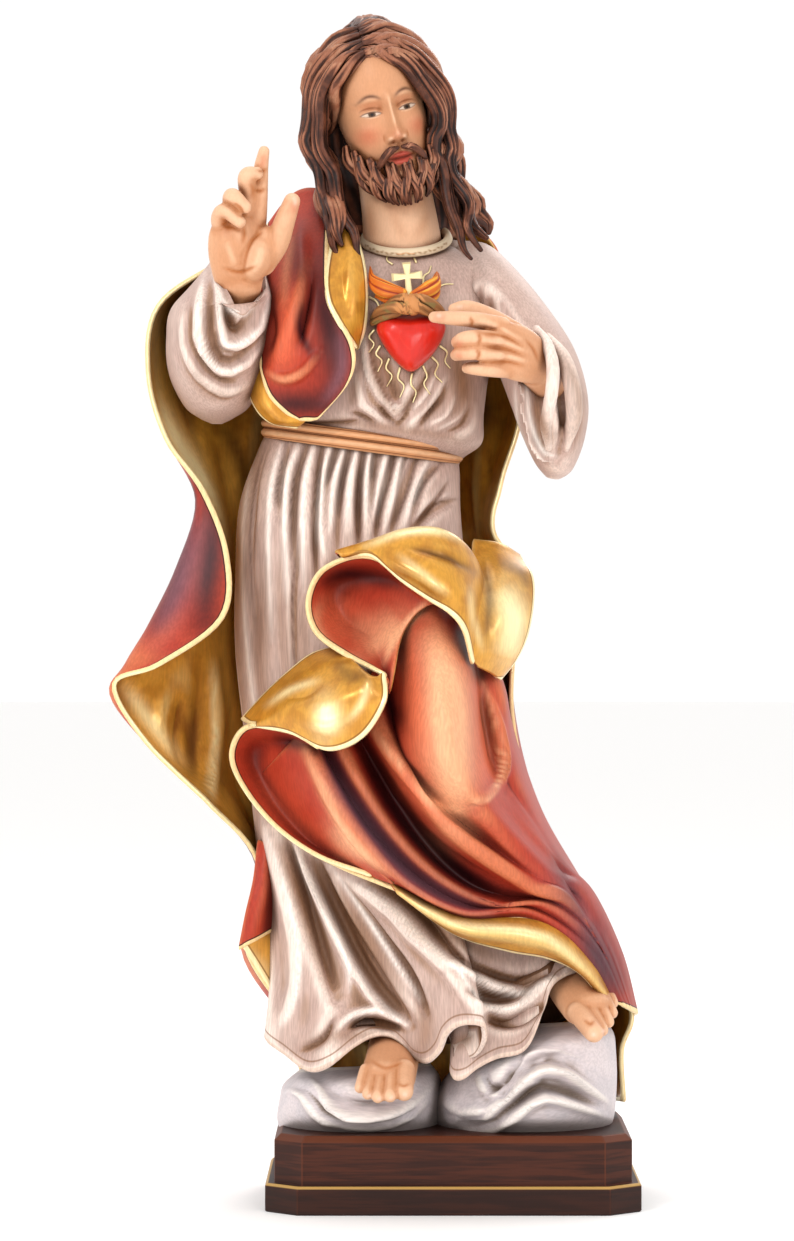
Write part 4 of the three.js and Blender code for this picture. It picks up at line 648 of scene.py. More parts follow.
UPPER_FUNNEL = point_rows([
    [430, 598, -92, 373, 557, -83, 326, 567, -68, 308, 598, -62, 315, 631, -68, 346, 655, -82, 384, 674,
     -95],
    [430, 600, -84, 390, 574, -60, 352, 580, -46, 340, 602, -44, 350, 626, -50, 370, 644, -68, 387, 682,
     -92],
    [432, 602, -78, 424, 606, -74, 414, 614, -72, 404, 628, -74, 398, 644, -81, 394, 666, -89, 389, 692,
     -93],
])

LOWER_LOBE = point_rows([
    [334, 648, -62, 312, 655, -60, 292, 670, -56, 268, 692, -52, 243, 719, -46],
    [350, 660, -84, 328, 670, -81, 304, 684, -77, 277, 702, -70, 250, 723, -56],
    [370, 678, -96, 348, 694, -98, 322, 706, -94, 290, 713, -82, 256, 724, -64],
    [384, 674, -95, 384, 702, -99, 362, 736, -98, 328, 749, -92, 290, 732, -78, 250, 725, -60],
])

LOWER_FUNNEL = point_rows([
    [318, 747, -90, 285, 728, -76, 246, 727, -56, 231, 754, -46, 243, 787, -48, 275, 826, -58, 318, 856,
     -68, 368, 874, -76],
    [320, 746, -80, 292, 738, -58, 266, 744, -40, 262, 768, -36, 280, 805, -44, 312, 842, -57, 345, 862,
     -68, 375, 876, -75],
    [322, 745, -72, 310, 748, -66, 306, 760, -66, 316, 785, -72, 332, 812, -78, 352, 840, -82, 372, 862,
     -83, 392, 882, -82],
])

LEG_PANEL = point_rows([
    [240, 780, -42, 291, 838, -56, 339, 866, -68, 404, 893, -78, 465, 921, -82, 528, 921, -76, 576, 952,
     -62, 610, 1001, -44],
    [262, 775, -36, 296, 822, -50, 345, 860, -66, 408, 890, -78, 466, 917, -82, 530, 917, -76, 580, 950,
     -62, 614, 1002, -43],
    [300, 735, -64, 326, 782, -78, 357, 830, -86, 402, 880, -90, 462, 912, -87, 530, 912, -78, 584, 948,
     -61, 617, 1003, -42],
    [314, 730, -54, 342, 785, -64, 378, 838, -72, 424, 882, -77, 474, 907, -78, 534, 909, -74, 588, 946,
     -58, 620, 1004, -41],
    [330, 722, -62, 360, 780, -80, 400, 838, -87, 444, 880, -88, 494, 904, -83, 545, 905, -75, 592, 944,
     -57, 622, 1005, -40],
    [346, 712, -48, 378, 770, -58, 420, 834, -66, 464, 880, -70, 510, 897, -73, 556, 902, -67, 596, 944,
     -53, 624, 1006, -38],
    [362, 700, -64, 394, 752, -82, 430, 808, -94, 482, 856, -90, 522, 886, -81, 566, 899, -70, 600, 946,
     -52, 626, 1007, -36],
    [386, 640, -54, 391, 705, -62, 412, 776, -84, 486, 842, -86, 534, 878, -77, 572, 897, -64, 605, 948,
     -47, 628, 1008, -33],
    [404, 612, -60, 410, 672, -84, 432, 762, -104, 496, 834, -90, 540, 872, -75, 576, 895, -60, 608, 949,
     -45, 629, 1008, -32],
    [430, 600, -64, 444, 665, -94, 458, 765, -108, 504, 826, -86, 546, 868, -70, 582, 893, -56, 611, 950,
     -41, 630, 1009, -30],
    [452, 604, -56, 470, 672, -76, 478, 755, -84, 510, 818, -72, 554, 866, -59, 587, 892, -48, 616, 952,
     -35, 632, 1010, -26],
    [466, 620, -50, 478, 680, -56, 488, 755, -60, 518, 814, -60, 562, 864, -50, 591, 893, -39, 619, 953,
     -28, 634, 1011, -20],
    [484, 640, -40, 502, 690, -46, 508, 745, -46, 532, 812, -40, 566, 864, -34, 594, 896, -27, 621, 954,
     -18, 636, 1012, -12],
    [482, 640, 0, 502, 690, 0, 516, 745, 2, 540, 812, 4, 572, 868, 6, 596, 905, 8, 620, 955, 10, 636, 1013,
     10],
    [476, 640, 42, 500, 690, 46, 516, 745, 50, 540, 812, 52, 572, 868, 54, 596, 905, 55, 620, 955, 50, 634,
     1014, 44],
])

LEG_FOLDS = strokes([
    [7, -5, 478, 690, 490, 740, 490, 786], [4, 4, 484, 690, 498, 728, 503, 762, 497, 788, 476, 798],
    [5, 3.5, 375, 730, 396, 762, 420, 790], [5, -2, 372, 752, 398, 790, 440, 826],
    [6, 3.5, 404, 790, 460, 838, 530, 884, 575, 912], [5, -4, 400, 800, 450, 850, 520, 892],
    [9, 3, 470, 800, 530, 860, 590, 940], [6, -3, 508, 780, 556, 850, 602, 950],
])

HEM_TURN = point_rows([
    [392, 884, -76, 430, 904, -81, 468, 917, -81, 528, 916, -74, 563, 931, -66, 594, 966, -54, 611, 997,
     -42],
    [398, 892, -82, 430, 914, -90, 466, 930, -92, 520, 936, -86, 558, 948, -77, 588, 974, -64, 610, 1003,
     -48],
    [404, 896, -74, 432, 918, -78, 464, 937, -80, 510, 950, -76, 548, 957, -70, 580, 972, -60, 604, 1000,
     -46],
])

LEG_BANDS = strokes([
    [5, 3, 312, 762, 337, 811, 362, 845, 388, 874],
    [9, -4, 360, 750, 376, 782, 402, 822, 440, 862, 500, 904],
    [3, 1.8, 370, 745, 396, 792, 432, 830, 500, 880],
])

LEFT_LINING = point_rows([
    [243, 944, -25, 262, 936, -22, 276, 929, -16, 294, 920, -6],
    [257, 966, -22, 272, 962, -18, 286, 958, -12, 300, 954, -5],
    [281, 1006, -17, 286, 1005, -14, 294, 1003, -9, 306, 1000, -4],
])

LEFT_TURN = point_rows([
    [259, 842, -20, 255, 880, -27, 247, 915, -31, 240, 948, -33],
    [270, 846, -22, 268, 885, -27, 262, 914, -29, 257, 938, -29],
    [284, 850, -10, 286, 885, -10, 286, 905, -10, 284, 922, -10],
])

BACK_MANTLE = point_rows([
    [322, 206, -10, 300, 210, 0, 296, 214, 14, 345, 206, 30, 405, 202, 36, 460, 216, 34, 492, 244, 24, 500,
     268, 12],
    [220, 262, -16, 226, 264, -2, 240, 262, 16, 300, 270, 40, 390, 275, 47, 465, 280, 42, 505, 295, 28,
     514, 305, 14],
    [158, 306, -18, 166, 310, -2, 190, 312, 20, 280, 330, 46, 380, 335, 52, 460, 340, 47, 508, 350, 32,
     520, 360, 14],
    [148, 372, -24, 156, 380, -4, 188, 382, 18, 270, 395, 46, 375, 400, 54, 452, 400, 50, 505, 410, 34,
     520, 420, 10],
    [166, 438, -32, 174, 442, -14, 202, 447, 14, 262, 455, 44, 365, 460, 56, 442, 460, 52, 492, 470, 36,
     502, 480, 6],
    [204, 492, -38, 198, 500, -30, 216, 505, 6, 256, 515, 42, 360, 520, 58, 440, 520, 54, 484, 525, 38,
     494, 530, 4],
    [227, 556, -46, 178, 568, -38, 210, 570, 0, 250, 575, 40, 355, 580, 60, 440, 580, 57, 492, 575, 42,
     518, 575, 2],
    [222, 618, -58, 152, 622, -40, 200, 630, -4, 248, 635, 36, 355, 640, 62, 446, 640, 60, 500, 640, 44,
     514, 650, 0],
    [160, 664, -62, 128, 664, -44, 190, 680, -10, 246, 692, 30, 355, 700, 64, 455, 700, 62, 506, 700, 45,
     512, 710, 0],
    [114, 684, -48, 118, 700, -36, 190, 724, -8, 248, 742, 30, 360, 750, 65, 464, 750, 63, 518, 760, 46,
     522, 770, 4],
    [146, 742, -38, 160, 752, -28, 208, 768, -4, 256, 790, 32, 370, 800, 66, 478, 810, 64, 538, 820, 47,
     542, 830, 8],
    [205, 800, -28, 212, 802, -18, 238, 812, 4, 270, 840, 38, 385, 850, 66, 500, 865, 64, 566, 880, 48,
     574, 890, 12],
    [258, 862, -16, 258, 866, -6, 266, 872, 14, 284, 890, 44, 400, 900, 66, 520, 920, 64, 590, 940, 48,
     606, 950, 14],
    [246, 944, -22, 244, 950, -10, 262, 956, 16, 290, 960, 46, 415, 965, 66, 535, 985, 64, 604, 1005, 46,
     632, 1012, 8],
    [284, 1010, -16, 280, 1012, -4, 284, 1016, 18, 306, 1030, 46, 425, 1040, 64, 545, 1050, 62, 604, 1065,
     44, 622, 1050, 14],
    [300, 1050, -4, 298, 1052, 4, 300, 1060, 20, 318, 1085, 42, 430, 1095, 60, 550, 1095, 58, 608, 1098,
     42, 624, 1100, 20],
])

LINING_FOLDS = strokes([
    [5, 6, 206, 650, 213, 720, 212, 770, 206, 800], [8, -4, 182, 690, 190, 740, 186, 780],
    [6, -4, 228, 700, 234, 760, 240, 800], [5, 3, 160, 330, 172, 400, 204, 470],
])

BACK_FOLDS = strokes([
    [17, 8, 330, 240, 300, 420, 285, 640, 300, 900, 330, 1080],
    [13, -8, 364, 240, 334, 440, 320, 660, 338, 900, 366, 1085],
    [16, 7, 400, 300, 378, 500, 366, 700, 392, 900, 410, 1090],
    [13, -8, 420, 260, 416, 460, 412, 660, 436, 900, 460, 1090],
    [16, 8, 448, 300, 452, 460, 456, 640, 486, 860, 510, 1090],
    [12, -6, 480, 320, 486, 460, 500, 660, 536, 880, 560, 1090],
    [13, -6, 270, 330, 240, 500, 222, 680, 268, 860], [14, 5, 226, 300, 190, 420, 196, 560, 160, 680],
], BEHIND)

# Levels of the plain head in millimetres from its middle: up, half width, front and back
HEAD_LEVELS = [
    [-41, 4, -19, -11], [-39.5, 9, -24, -4], [-35, 13, -26.5, 2], [-27, 16.5, -27.5, 10],
    [-17, 19.4, -28, 22], [-7, 21.4, -28, 29], [2, 22.3, -27.5, 32], [11, 22.6, -28.5, 33],
    [21, 21.6, -26.5, 31], [30, 18, -21.5, 25], [36, 12.5, -14, 17], [39.5, 6.5, -7, 9],
    [40.5, 1.5, -1.5, 2],
]

NECK = [[[405, 266, -6], [399, 215, -7], [390, 160, -6]], [20.5, 18.5, 17]]

HAIR_CAP = [
    [[366, 24, 4], [16, -2, 0], [0, 0, -10]],
    [[368, 40, 4], [38, -4, 0], [0, 0, -24]],
    [[370, 66, 6], [55, -7, 0], [0, 2, -27]],
    [[374, 95, 10], [64, -10, 0], [0, 4, -27]],
    [[378, 130, 14], [66, -8, 0], [0, 4, -25]],
    [[384, 170, 17], [68, -2, 0], [0, 4, -22]],
    [[392, 205, 18], [70, 2, 0], [0, 4, -20]],
    [[398, 236, 16], [68, 4, 0], [0, 0, -17]],
]

# Locks beside the face: a radius, and places across, down and in depth
SIDE_LOCKS = [
    [4.8, 358, 54, -36, 341, 63, -38, 327, 82, -36, 319, 106, -33, 320, 134, -30, 328, 160, -29, 331, 180,
     -30, 341, 200, -35, 345, 222, -39, 355, 240, -42, 361, 260, -43],
    [5.6, 357, 48, -31, 334, 57, -32, 318, 78, -29, 311, 104, -26, 312, 132, -24, 310, 152, -24, 321, 180,
     -26, 331, 198, -31, 327, 220, -36, 334, 238, -41, 337, 253, -43],
    [7, 350, 50, -16, 326, 64, -20, 314, 88, -16, 320, 114, -14, 316, 140, -13, 321, 164, -13, 327, 186,
     -18, 324, 208, -28, 326, 228, -34],
    [8, 354, 47, -2, 328, 60, -1, 318, 84, 0, 323, 118, 2, 321, 158, 3, 327, 188, 0, 322, 210, -8],
    [5, 322, 188, -26, 336, 206, -37, 333, 226, -42, 343, 244, -44],
    [4.8, 358, 54, -36, 380, 53, -39, 402, 60, -39, 419, 77, -36, 432, 100, -32, 441, 126, -28, 436, 152,
     -27, 441, 178, -27, 452, 200, -29, 454, 222, -33, 461, 242, -37, 472, 258, -41],
    [5.4, 358, 48, -32, 384, 45, -35, 407, 52, -34, 425, 68, -31, 440, 92, -26, 450, 116, -22, 447, 140,
     -21, 447, 160, -22, 460, 184, -24, 466, 206, -29, 469, 226, -34, 481, 250, -37],
    [7, 358, 48, -22, 388, 52, -24, 408, 64, -22, 424, 86, -19, 435, 108, -17, 442, 126, -15, 446, 148,
     -15, 449, 166, -15, 461, 186, -17, 464, 208, -21, 477, 226, -26, 485, 238, -30],
    [8, 358, 48, -6, 388, 56, -8, 407, 68, -6, 421, 84, -2, 432, 110, 0, 443, 145, 2, 450, 170, 2, 462,
     190, 0, 464, 214, -6],
    [7, 460, 184, 6, 474, 204, 8, 482, 219, 8, 487, 233, 6],
    [5.5, 430, 130, -24, 438, 160, -21, 442, 190, -22, 452, 214, -27, 463, 236, -35],
]

CLOUD_LEFT = [
    oval(1136, 282, 436, -44, 48),
    oval(1118, 277, 440, -56, 54),
    oval(1098, 280, 442, -58, 54, 0.02),
    oval(1080, 284, 440, -50, 46, -0.04),
    oval(1066, 300, 430, -30, 36, -0.05),
]

CLOUD_RIGHT = [
    oval(1136, 440, 608, -44, 48),
    oval(1116, 434, 614, -58, 54),
    oval(1088, 436, 617, -60, 54, -0.06),
    oval(1060, 452, 616, -58, 50, -0.12),
    oval(1040, 490, 614, -50, 44, -0.1),
    oval(1022, 530, 606, -30, 34, -0.06),
]

CLOUD_WAVES = strokes([
    [6, 6, 294, 1074, 312, 1086, 326, 1104, 350, 1115, 384, 1117, 414, 1106, 434, 1086],
    [4.5, 4, 278, 1094, 292, 1090, 304, 1098, 314, 1114, 334, 1127],
    [9, -6, 316, 1076, 334, 1092, 364, 1104, 400, 1098, 420, 1080],
    [7, 8, 441, 1098, 462, 1112, 489, 1111, 508, 1100, 522, 1082, 541, 1071, 562, 1071, 584, 1085, 612,
     1107], [8, -5, 466, 1092, 490, 1096, 508, 1080, 522, 1062, 550, 1052, 580, 1058, 612, 1082],
    [6, 5, 444, 1122, 482, 1129, 511, 1119, 530, 1103, 549, 1097, 576, 1106, 612, 1112],
    [4.5, -5, 498, 1112, 520, 1098, 545, 1086, 580, 1096, 608, 1108],
    [4, 4, 478, 1074, 484, 1092, 498, 1092, 504, 1074],
])

# Finer carving than the solid's: narrow creases and ridges

PLEAT_LINES = [
    [287, 438, 277, 488, 277, 506], [308, 440, 295, 473, 291, 513, 292, 567],
    [323, 440, 316, 479, 313, 529, 315, 575], [338, 441, 330, 463, 324, 486],
    [350, 443, 343, 473, 338, 513], [364, 445, 360, 473, 358, 509, 359, 542],
    [378, 445, 373, 460, 372, 478], [394, 446, 391, 473, 381, 506, 376, 534],
    [407, 450, 402, 470, 398, 490], [418, 453, 409, 486, 394, 526], [441, 463, 422, 487, 414, 506],
    [449, 480, 437, 499, 414, 526], [458, 499, 436, 504, 416, 528],
    [268, 440, 256, 480, 250, 540, 254, 620], [300, 530, 292, 600, 296, 690],
]
PLEAT_RIDGES = [
    [281, 445, 270, 490, 268, 560, 272, 640], [299, 442, 286, 480, 284, 540, 286, 600],
    [315, 443, 305, 480, 302, 540, 304, 590], [331, 444, 323, 480, 320, 530, 326, 560],
    [344, 446, 336, 480, 331, 530], [357, 447, 351, 480, 348, 530], [371, 449, 367, 480, 368, 520],
    [387, 452, 382, 480, 373, 520], [402, 454, 396, 485, 386, 525], [428, 458, 416, 490, 404, 526],
    [250, 470, 242, 530, 244, 620, 256, 720, 274, 810],
]
SKIRT_LINES = [
    [282, 837, 302, 882, 322, 933, 337, 985], [316, 858, 345, 915, 382, 972, 412, 1026],
    [343, 882, 384, 938, 410, 974, 427, 1014], [380, 884, 424, 919, 455, 952, 480, 978],
    [451, 952, 486, 972, 520, 980, 550, 972], [468, 992, 500, 1000, 540, 988],
    [347, 1023, 363, 1018, 384, 1022, 402, 1030], [300, 1050, 320, 1040, 334, 1020],
    [486, 1020, 512, 1024, 540, 1008],
]
SKIRT_RIDGES = [
    [261, 817, 282, 882, 298, 944, 296, 995, 282, 1025],
    [294, 846, 316, 893, 341, 940, 369, 991, 406, 1026],
    [349, 880, 386, 903, 422, 940, 453, 964, 475, 995, 486, 1020],
    [331, 866, 372, 926, 400, 970, 420, 1000], [455, 962, 486, 984, 520, 994, 552, 980],
    [480, 1003, 506, 1011, 536, 998], [341, 1026, 355, 1015, 380, 1011, 406, 1024],
    [300, 860, 324, 910, 346, 960, 350, 990],
]
# The skirt gives way behind the mantle's two hanging turns
SKIRT_HOLLOWS = strokes([
    [24, -17, 330, 585, 345, 605, 365, 630], [22, -22, 262, 750, 285, 790, 320, 830],
    [34, -16, 350, 720, 400, 800, 450, 860],
])
FINE_SKIRT = (
    creased(PLEAT_LINES, 2.6, -2.6)
    + creased(PLEAT_RIDGES, 3.4, 1.1, 2)
    + creased(SKIRT_LINES, 3.6, -5)
    + creased(SKIRT_RIDGES, 4, 2.8, 1.5)
    + SKIRT_HOLLOWS
)
FINE_CHEST = creased([
    [370, 330, 374, 368, 390, 402, 398, 418], [434, 362, 418, 390, 401, 414],
    [351, 412, 364, 416, 376, 424], [379, 404, 386, 414, 398, 424], [412, 406, 404, 418, 396, 428],
    [440, 396, 430, 412, 418, 428], [470, 404, 462, 424, 448, 432], [300, 425, 340, 424, 360, 420],
    [446, 383, 439, 402, 414, 425],
], 2.8, -3) + creased([
    [363, 340, 368, 376, 384, 408], [428, 352, 410, 384, 398, 404], [456, 392, 446, 414, 430, 424],
    [358, 404, 372, 410, 384, 422], [388, 398, 398, 408, 408, 400], [436, 372, 424, 396, 406, 416],
    [466, 396, 458, 416, 436, 430],
], 3, 2, 1.6)
FINE_SLEEVE = creased([
    [224, 306, 230, 322, 238, 330, 247, 314], [213, 290, 217, 335, 226, 352, 246, 350, 262, 334],
    [206, 300, 206, 340, 218, 362, 236, 370], [176, 350, 192, 380, 222, 400, 246, 392],
    [190, 300, 188, 340, 204, 372], [196, 352, 214, 378, 240, 384],
], 3, -3) + creased([
    [211, 254, 222, 300, 238, 313, 249, 309, 263, 266],
    [215, 277, 221, 335, 226, 345, 246, 341, 265, 323, 270, 277],
    [205, 270, 198, 316, 202, 350, 222, 372, 250, 362], [186, 300, 182, 340, 196, 372, 224, 388],
], 2.6, 2.2, 1.5)
FINE_LEFT_SLEEVE = creased([
    [552, 352, 560, 392, 566, 430, 558, 462], [566, 370, 574, 400, 576, 430, 566, 456],
    [484, 284, 480, 298, 479, 312], [500, 300, 512, 322, 526, 340],
], 3, -3) + creased([
    [558, 352, 568, 390, 572, 430, 562, 462], [546, 350, 556, 392, 558, 430],
], 3, 1.6, 1.6)
CLOUD_LINES = creased([
    [285, 1086, 310, 1092, 319, 1108, 342, 1121, 374, 1122, 404, 1115, 426, 1096],
    [300, 1072, 316, 1092, 334, 1106, 362, 1110, 392, 1106],
    [448, 1112, 470, 1118, 496, 1108, 520, 1082, 540, 1061, 566, 1064, 600, 1090],
    [458, 1126, 490, 1124, 516, 1104, 540, 1090, 566, 1094, 608, 1112],
    [480, 1096, 500, 1086, 512, 1068, 526, 1049], [484, 1074, 488, 1086, 496, 1088],
    [530, 1080, 548, 1080, 566, 1084, 590, 1100],
], 4, -4.6) + creased([
    [304, 1076, 320, 1085, 325, 1100, 344, 1114, 372, 1115, 400, 1109],
    [280, 1092, 310, 1098, 320, 1117, 347, 1127, 376, 1128, 406, 1121, 430, 1100],
    [444, 1103, 462, 1119, 494, 1113, 519, 1087, 537, 1068, 561, 1071, 586, 1090, 610, 1106],
    [478, 1100, 503, 1091, 512, 1074, 524, 1055, 548, 1049, 574, 1055, 606, 1072],
    [454, 1124, 489, 1130, 519, 1110, 540, 1099, 564, 1103, 610, 1119],
], 3.6, 3.4, 1.5)
LAPEL_FOLDS = creased([[345, 240, 342, 280, 348, 320]], 7, -2.4, 2)
FLAP_FOLDS = creased([[408, 548, 443, 556, 474, 572]], 4, -3) + creased([
    [380, 540, 432, 531, 466, 540], [376, 556, 420, 576, 452, 600],
], 5, 1.6, 2)
LOBE_FOLDS = creased([[282, 700, 306, 696, 324, 684]], 5, -2.5) + creased([
    [300, 720, 330, 728, 356, 712], [340, 664, 364, 676, 374, 700],
], 6, 1.8, 2)
SIDE_LOBE_FOLDS = strokes([
    [6, -2.5, 484, 560, 490, 600, 488, 650], [9, 2.5, 500, 600, 508, 636, 502, 664],
])
FINE_LEG = creased([
    [472, 650, 476, 715, 474, 786], [484, 800, 472, 806, 462, 812], [500, 770, 540, 830, 590, 920],
], 4, -3.5) + creased([
    [310, 750, 334, 800, 366, 850, 390, 876], [375, 732, 402, 768, 432, 804, 462, 811],
    [484, 684, 498, 736, 502, 772, 488, 798, 472, 802], [430, 660, 446, 720, 454, 790],
], 4, 2.4, 1.6)
FINE_LINING = creased([
    [196, 660, 198, 730, 196, 790], [226, 690, 230, 750, 240, 810], [180, 700, 176, 740, 184, 776],
    [214, 440, 226, 500, 232, 560, 228, 620], [488, 440, 498, 500, 506, 560],
], 5, -4) + creased([
    [210, 650, 214, 720, 212, 800], [158, 326, 162, 380, 170, 420, 206, 486],
    [476, 470, 484, 520, 494, 560], [166, 690, 160, 730, 170, 762],
], 5, 2.6, 1.8)

PALM_LINES = [
    [222, 224, 232, 227, 241, 231], [243, 226, 244, 234, 243, 243],
    [262, 232, 252, 240, 246, 254, 243, 272], [224, 268, 240, 272, 256, 266],
    [258, 170, 262, 171, 267, 169], [256, 190, 260, 191, 265, 189], [234, 203, 240, 208, 244, 214],
]
PALM_RIDGES = [
    [226, 240, 232, 256, 236, 266], [262, 246, 258, 262, 252, 272],
]
BACK_LINES = [
    [488, 333, 506, 337, 522, 346], [488, 347, 506, 349, 524, 356], [492, 362, 508, 362, 524, 366],
    [470, 317, 472, 322, 471, 327], [478, 333, 480, 339, 478, 345], [477, 349, 479, 354, 477, 360],
    [526, 340, 534, 350, 538, 360],
]
BACK_RIDGES = [
    [480, 321, 500, 328, 524, 342], [486, 341, 506, 343, 526, 351], [486, 355, 506, 356, 526, 361],
]
TOE_LINES = [
    [398, 1084, 404, 1086, 409, 1084], [370, 1060, 386, 1068, 404, 1062], [584, 1020, 590, 1024, 594, 1021],
]
PALM = creased(PALM_LINES, 1.8, -0.9) + creased(PALM_RIDGES, 5, 0.8, 2)
HAND_BACK = creased(BACK_LINES, 1.8, -0.7) + creased(BACK_RIDGES, 3.4, 0.7, 2)
TOES = creased(TOE_LINES, 2, -0.5)

# Bodies of cloth


def skirt_rings():
    """Rings of the skirt: plain ovals that take on the hem's waves towards the floor."""
    hem = np.array(HEM_FRONT + HEM_BACK, float)
    arc = math.radians(95)
    front = arc * np.linspace(-1, 1, len(HEM_FRONT))
    back = arc + 2 * (math.pi - arc) * np.arange(1, len(HEM_BACK) + 1) / (len(HEM_BACK) + 1)
    angles = np.concatenate([front, back])

    def round_points(left, right, fore, rear):
        across = (left + right) / 2 + (right - left) / 2 * np.sin(angles)
        return across, (fore + rear) / 2 - (rear - fore) / 2 * np.cos(angles)

    hem_down, *hem_span = HEM_LEVEL
    plain_across, plain_depth = round_points(*hem_span)
    rings = []
    for down, left, right, fore, rear, tilt, share in SKIRT:
        across, depth = round_points(left, right, fore, rear)
        across = across + share * (hem[:, 0] - plain_across)
        down = down + share * (hem[:, 1] - hem_down) + tilt * (across - (left + right) / 2)
        rings.append(np.stack([across, down, depth + share * (hem[:, 2] - plain_depth)], -1))
    return rings + [hem]


HEM_LIP = 3
HEM_RECESS = 9


def hem_rings(rim):
    """Under the hem the cloth is cut back, so that its edge stands as a lip."""
    run = np.roll(rim, -1, 0) - np.roll(rim, 1, 0)
    inwards = unit(np.stack([-run[:, 1], run[:, 0], 0 * run[:, 0]], -1))
    if ((rim.mean(0) - rim) * inwards).sum() < 0:
        inwards = -inwards
    insets = [(0.6, -0.9), (1.6, -1.2), (2.6, -0.7), (HEM_LIP, 0), (HEM_LIP + 1, HEM_RECESS)]
    return np.array([rim + inwards * inset + UPRIGHT * rise for inset, rise in insets])


def points_normals(shape):
    normals = np.zeros_like(shape.points)
    fans, a, b, c = fanned(shape)
    faces = np.cross(b - a, c - a)
    for k in range(3):
        np.add.at(normals, fans[:, k], faces)
    return unit(normals)


def hollows(shape, normals, rounds):
    """How far each point lies under the surface around it in millimetres, less than none on ridges."""
    around = np.concatenate([shape.quads[:, [k, (k + 1) % 4]] for k in range(4)])
    around = np.concatenate([around] + [shape.triangles[:, [k, (k + 1) % 3]] for k in range(3)])
    around = np.concatenate([around, around[:, ::-1]])
    count = np.bincount(around[:, 0], minlength=len(shape.points))[:, None]
    smooth = shape.points
    for _ in range(rounds):
        total = [np.bincount(around[:, 0], smooth[around[:, 1], k], len(shape.points)) for k in range(3)]
        smooth = (smooth + np.stack(total, -1) / np.maximum(count, 1)) / 2
    return ((smooth - shape.points) * normals).sum(-1)


HOLLOW_ROUNDS = 24
CREASE_ROUNDS = 5


def painted(shape, **dabs):
    """Marks for the paint: hollows, and airbrushed dabs drawn on the elevation."""
    normals = points_normals(shape)
    across, down = elevation(shape.points)
    facing = facing_share(normals)
    shape.marks["hollow"] = hollows(shape, normals, HOLLOW_ROUNDS)
    crease = hollows(shape, normals, CREASE_ROUNDS)
    shape.marks["crease"] = (crease - np.median(crease)) / crease.std()
    shape.marks.setdefault("rim", np.full(len(shape.points), UNMARKED["rim"]))
    for name, marks in dabs.items():
        shape.marks[name] = np.clip(stroked(marks, across, down, facing), 0, 1)
    return shape


PAINTS = {}


def piece(name, shape, slot, paints=None, smooth=True, stands_for="figure"):
    """The shape as a mesh in metres, with the paint that its slot names or others in its place."""
    mesh = bpy.data.meshes.new(name)
    quads = len(shape.quads)
    corners = np.concatenate([shape.quads.ravel(), shape.triangles.ravel()])
    sizes = np.concatenate([np.full(quads, 4), np.full(len(shape.triangles), 3)])
    mesh.vertices.add(len(shape.points))
    mesh.vertices.foreach_set("co", (shape.points * MM).astype(np.float32).ravel())
    mesh.loops.add(len(corners))
    mesh.loops.foreach_set("vertex_index", corners.astype(np.int32))
    mesh.polygons.add(len(sizes))
    mesh.polygons.foreach_set("loop_start", (np.cumsum(sizes) - sizes).astype(np.int32))
    mesh.polygons.foreach_set("material_index", shape.slots.astype(np.int32))
    mesh.polygons.foreach_set("use_smooth", np.full(len(sizes), smooth))
    mesh.update(calc_edges=True)
    for mark, values in shape.marks.items():
        layer = mesh.attributes.new(mark, "FLOAT", "POINT")
        layer.data.foreach_set("value", values.astype(np.float32))
    for paint in paints or [slot]:
        mesh.materials.append(PAINTS[paint])
    made = bpy.data.objects.new(name, mesh)
    bpy.context.scene.collection.objects.link(made)
    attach(made, "root")
    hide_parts(stands_for)


def rotation(x, y, z):
    (cx, sx), (cy, sy), (cz, sz) = ((math.cos(a), math.sin(a)) for a in (x, y, z))
    about_x = np.array([[1, 0, 0], [0, cx, -sx], [0, sx, cx]])
    about_y = np.array([[cy, 0, sy], [0, 1, 0], [-sy, 0, cy]])
    about_z = np.array([[cz, -sz, 0], [sz, cz, 0], [0, 0, 1]])
    return about_y @ about_x @ about_z


HEAD_MIDDLE = place([381, 109, -14])
HEAD_TURNED = rotation(*np.radians([8, -13, 8]))


def from_head(points):
    """Points in millimetres from the head's own: to its left, back and up from its middle."""
    return np.asarray(points, float) @ HEAD_TURNED.T + HEAD_MIDDLE


def bump(x, z, at_x, at_z, wide, high):
    return np.exp(-(((x - at_x) / wide) ** 2) - ((z - at_z) / high) ** 2)


def pair(x, z, at_x, at_z, wide, high):
    return bump(x, z, at_x, at_z, wide, high) + bump(x, z, -at_x, at_z, wide, high)


def step_up(value, low, high):
    t = np.clip((value - low) / (high - low), 0, 1)
    return t * t * (3 - 2 * t)


EYE_AT = 9.2
EYE_HALF = 4.9


def lids(x):
    """Heights of the upper and the lower lid's edge, and of the crease over the eye."""
    arch = np.clip(1 - ((np.abs(x) - EYE_AT) / EYE_HALF) ** 2, 0, 1)
    corner = -0.9 + 0.05 * (np.abs(x) - EYE_AT)
    return corner + 1.2 * arch**0.8, corner - 1.1 * arch**0.8, corner + 1.2 * arch**0.7 + 2.0


def between_lids(x, z):
    upper, lower, _ = lids(x)
    inside = np.abs(np.abs(x) - EYE_AT) < EYE_HALF
    return inside * step_up(z - lower, -0.15, 0.25) * step_up(upper - z, -0.15, 0.25)


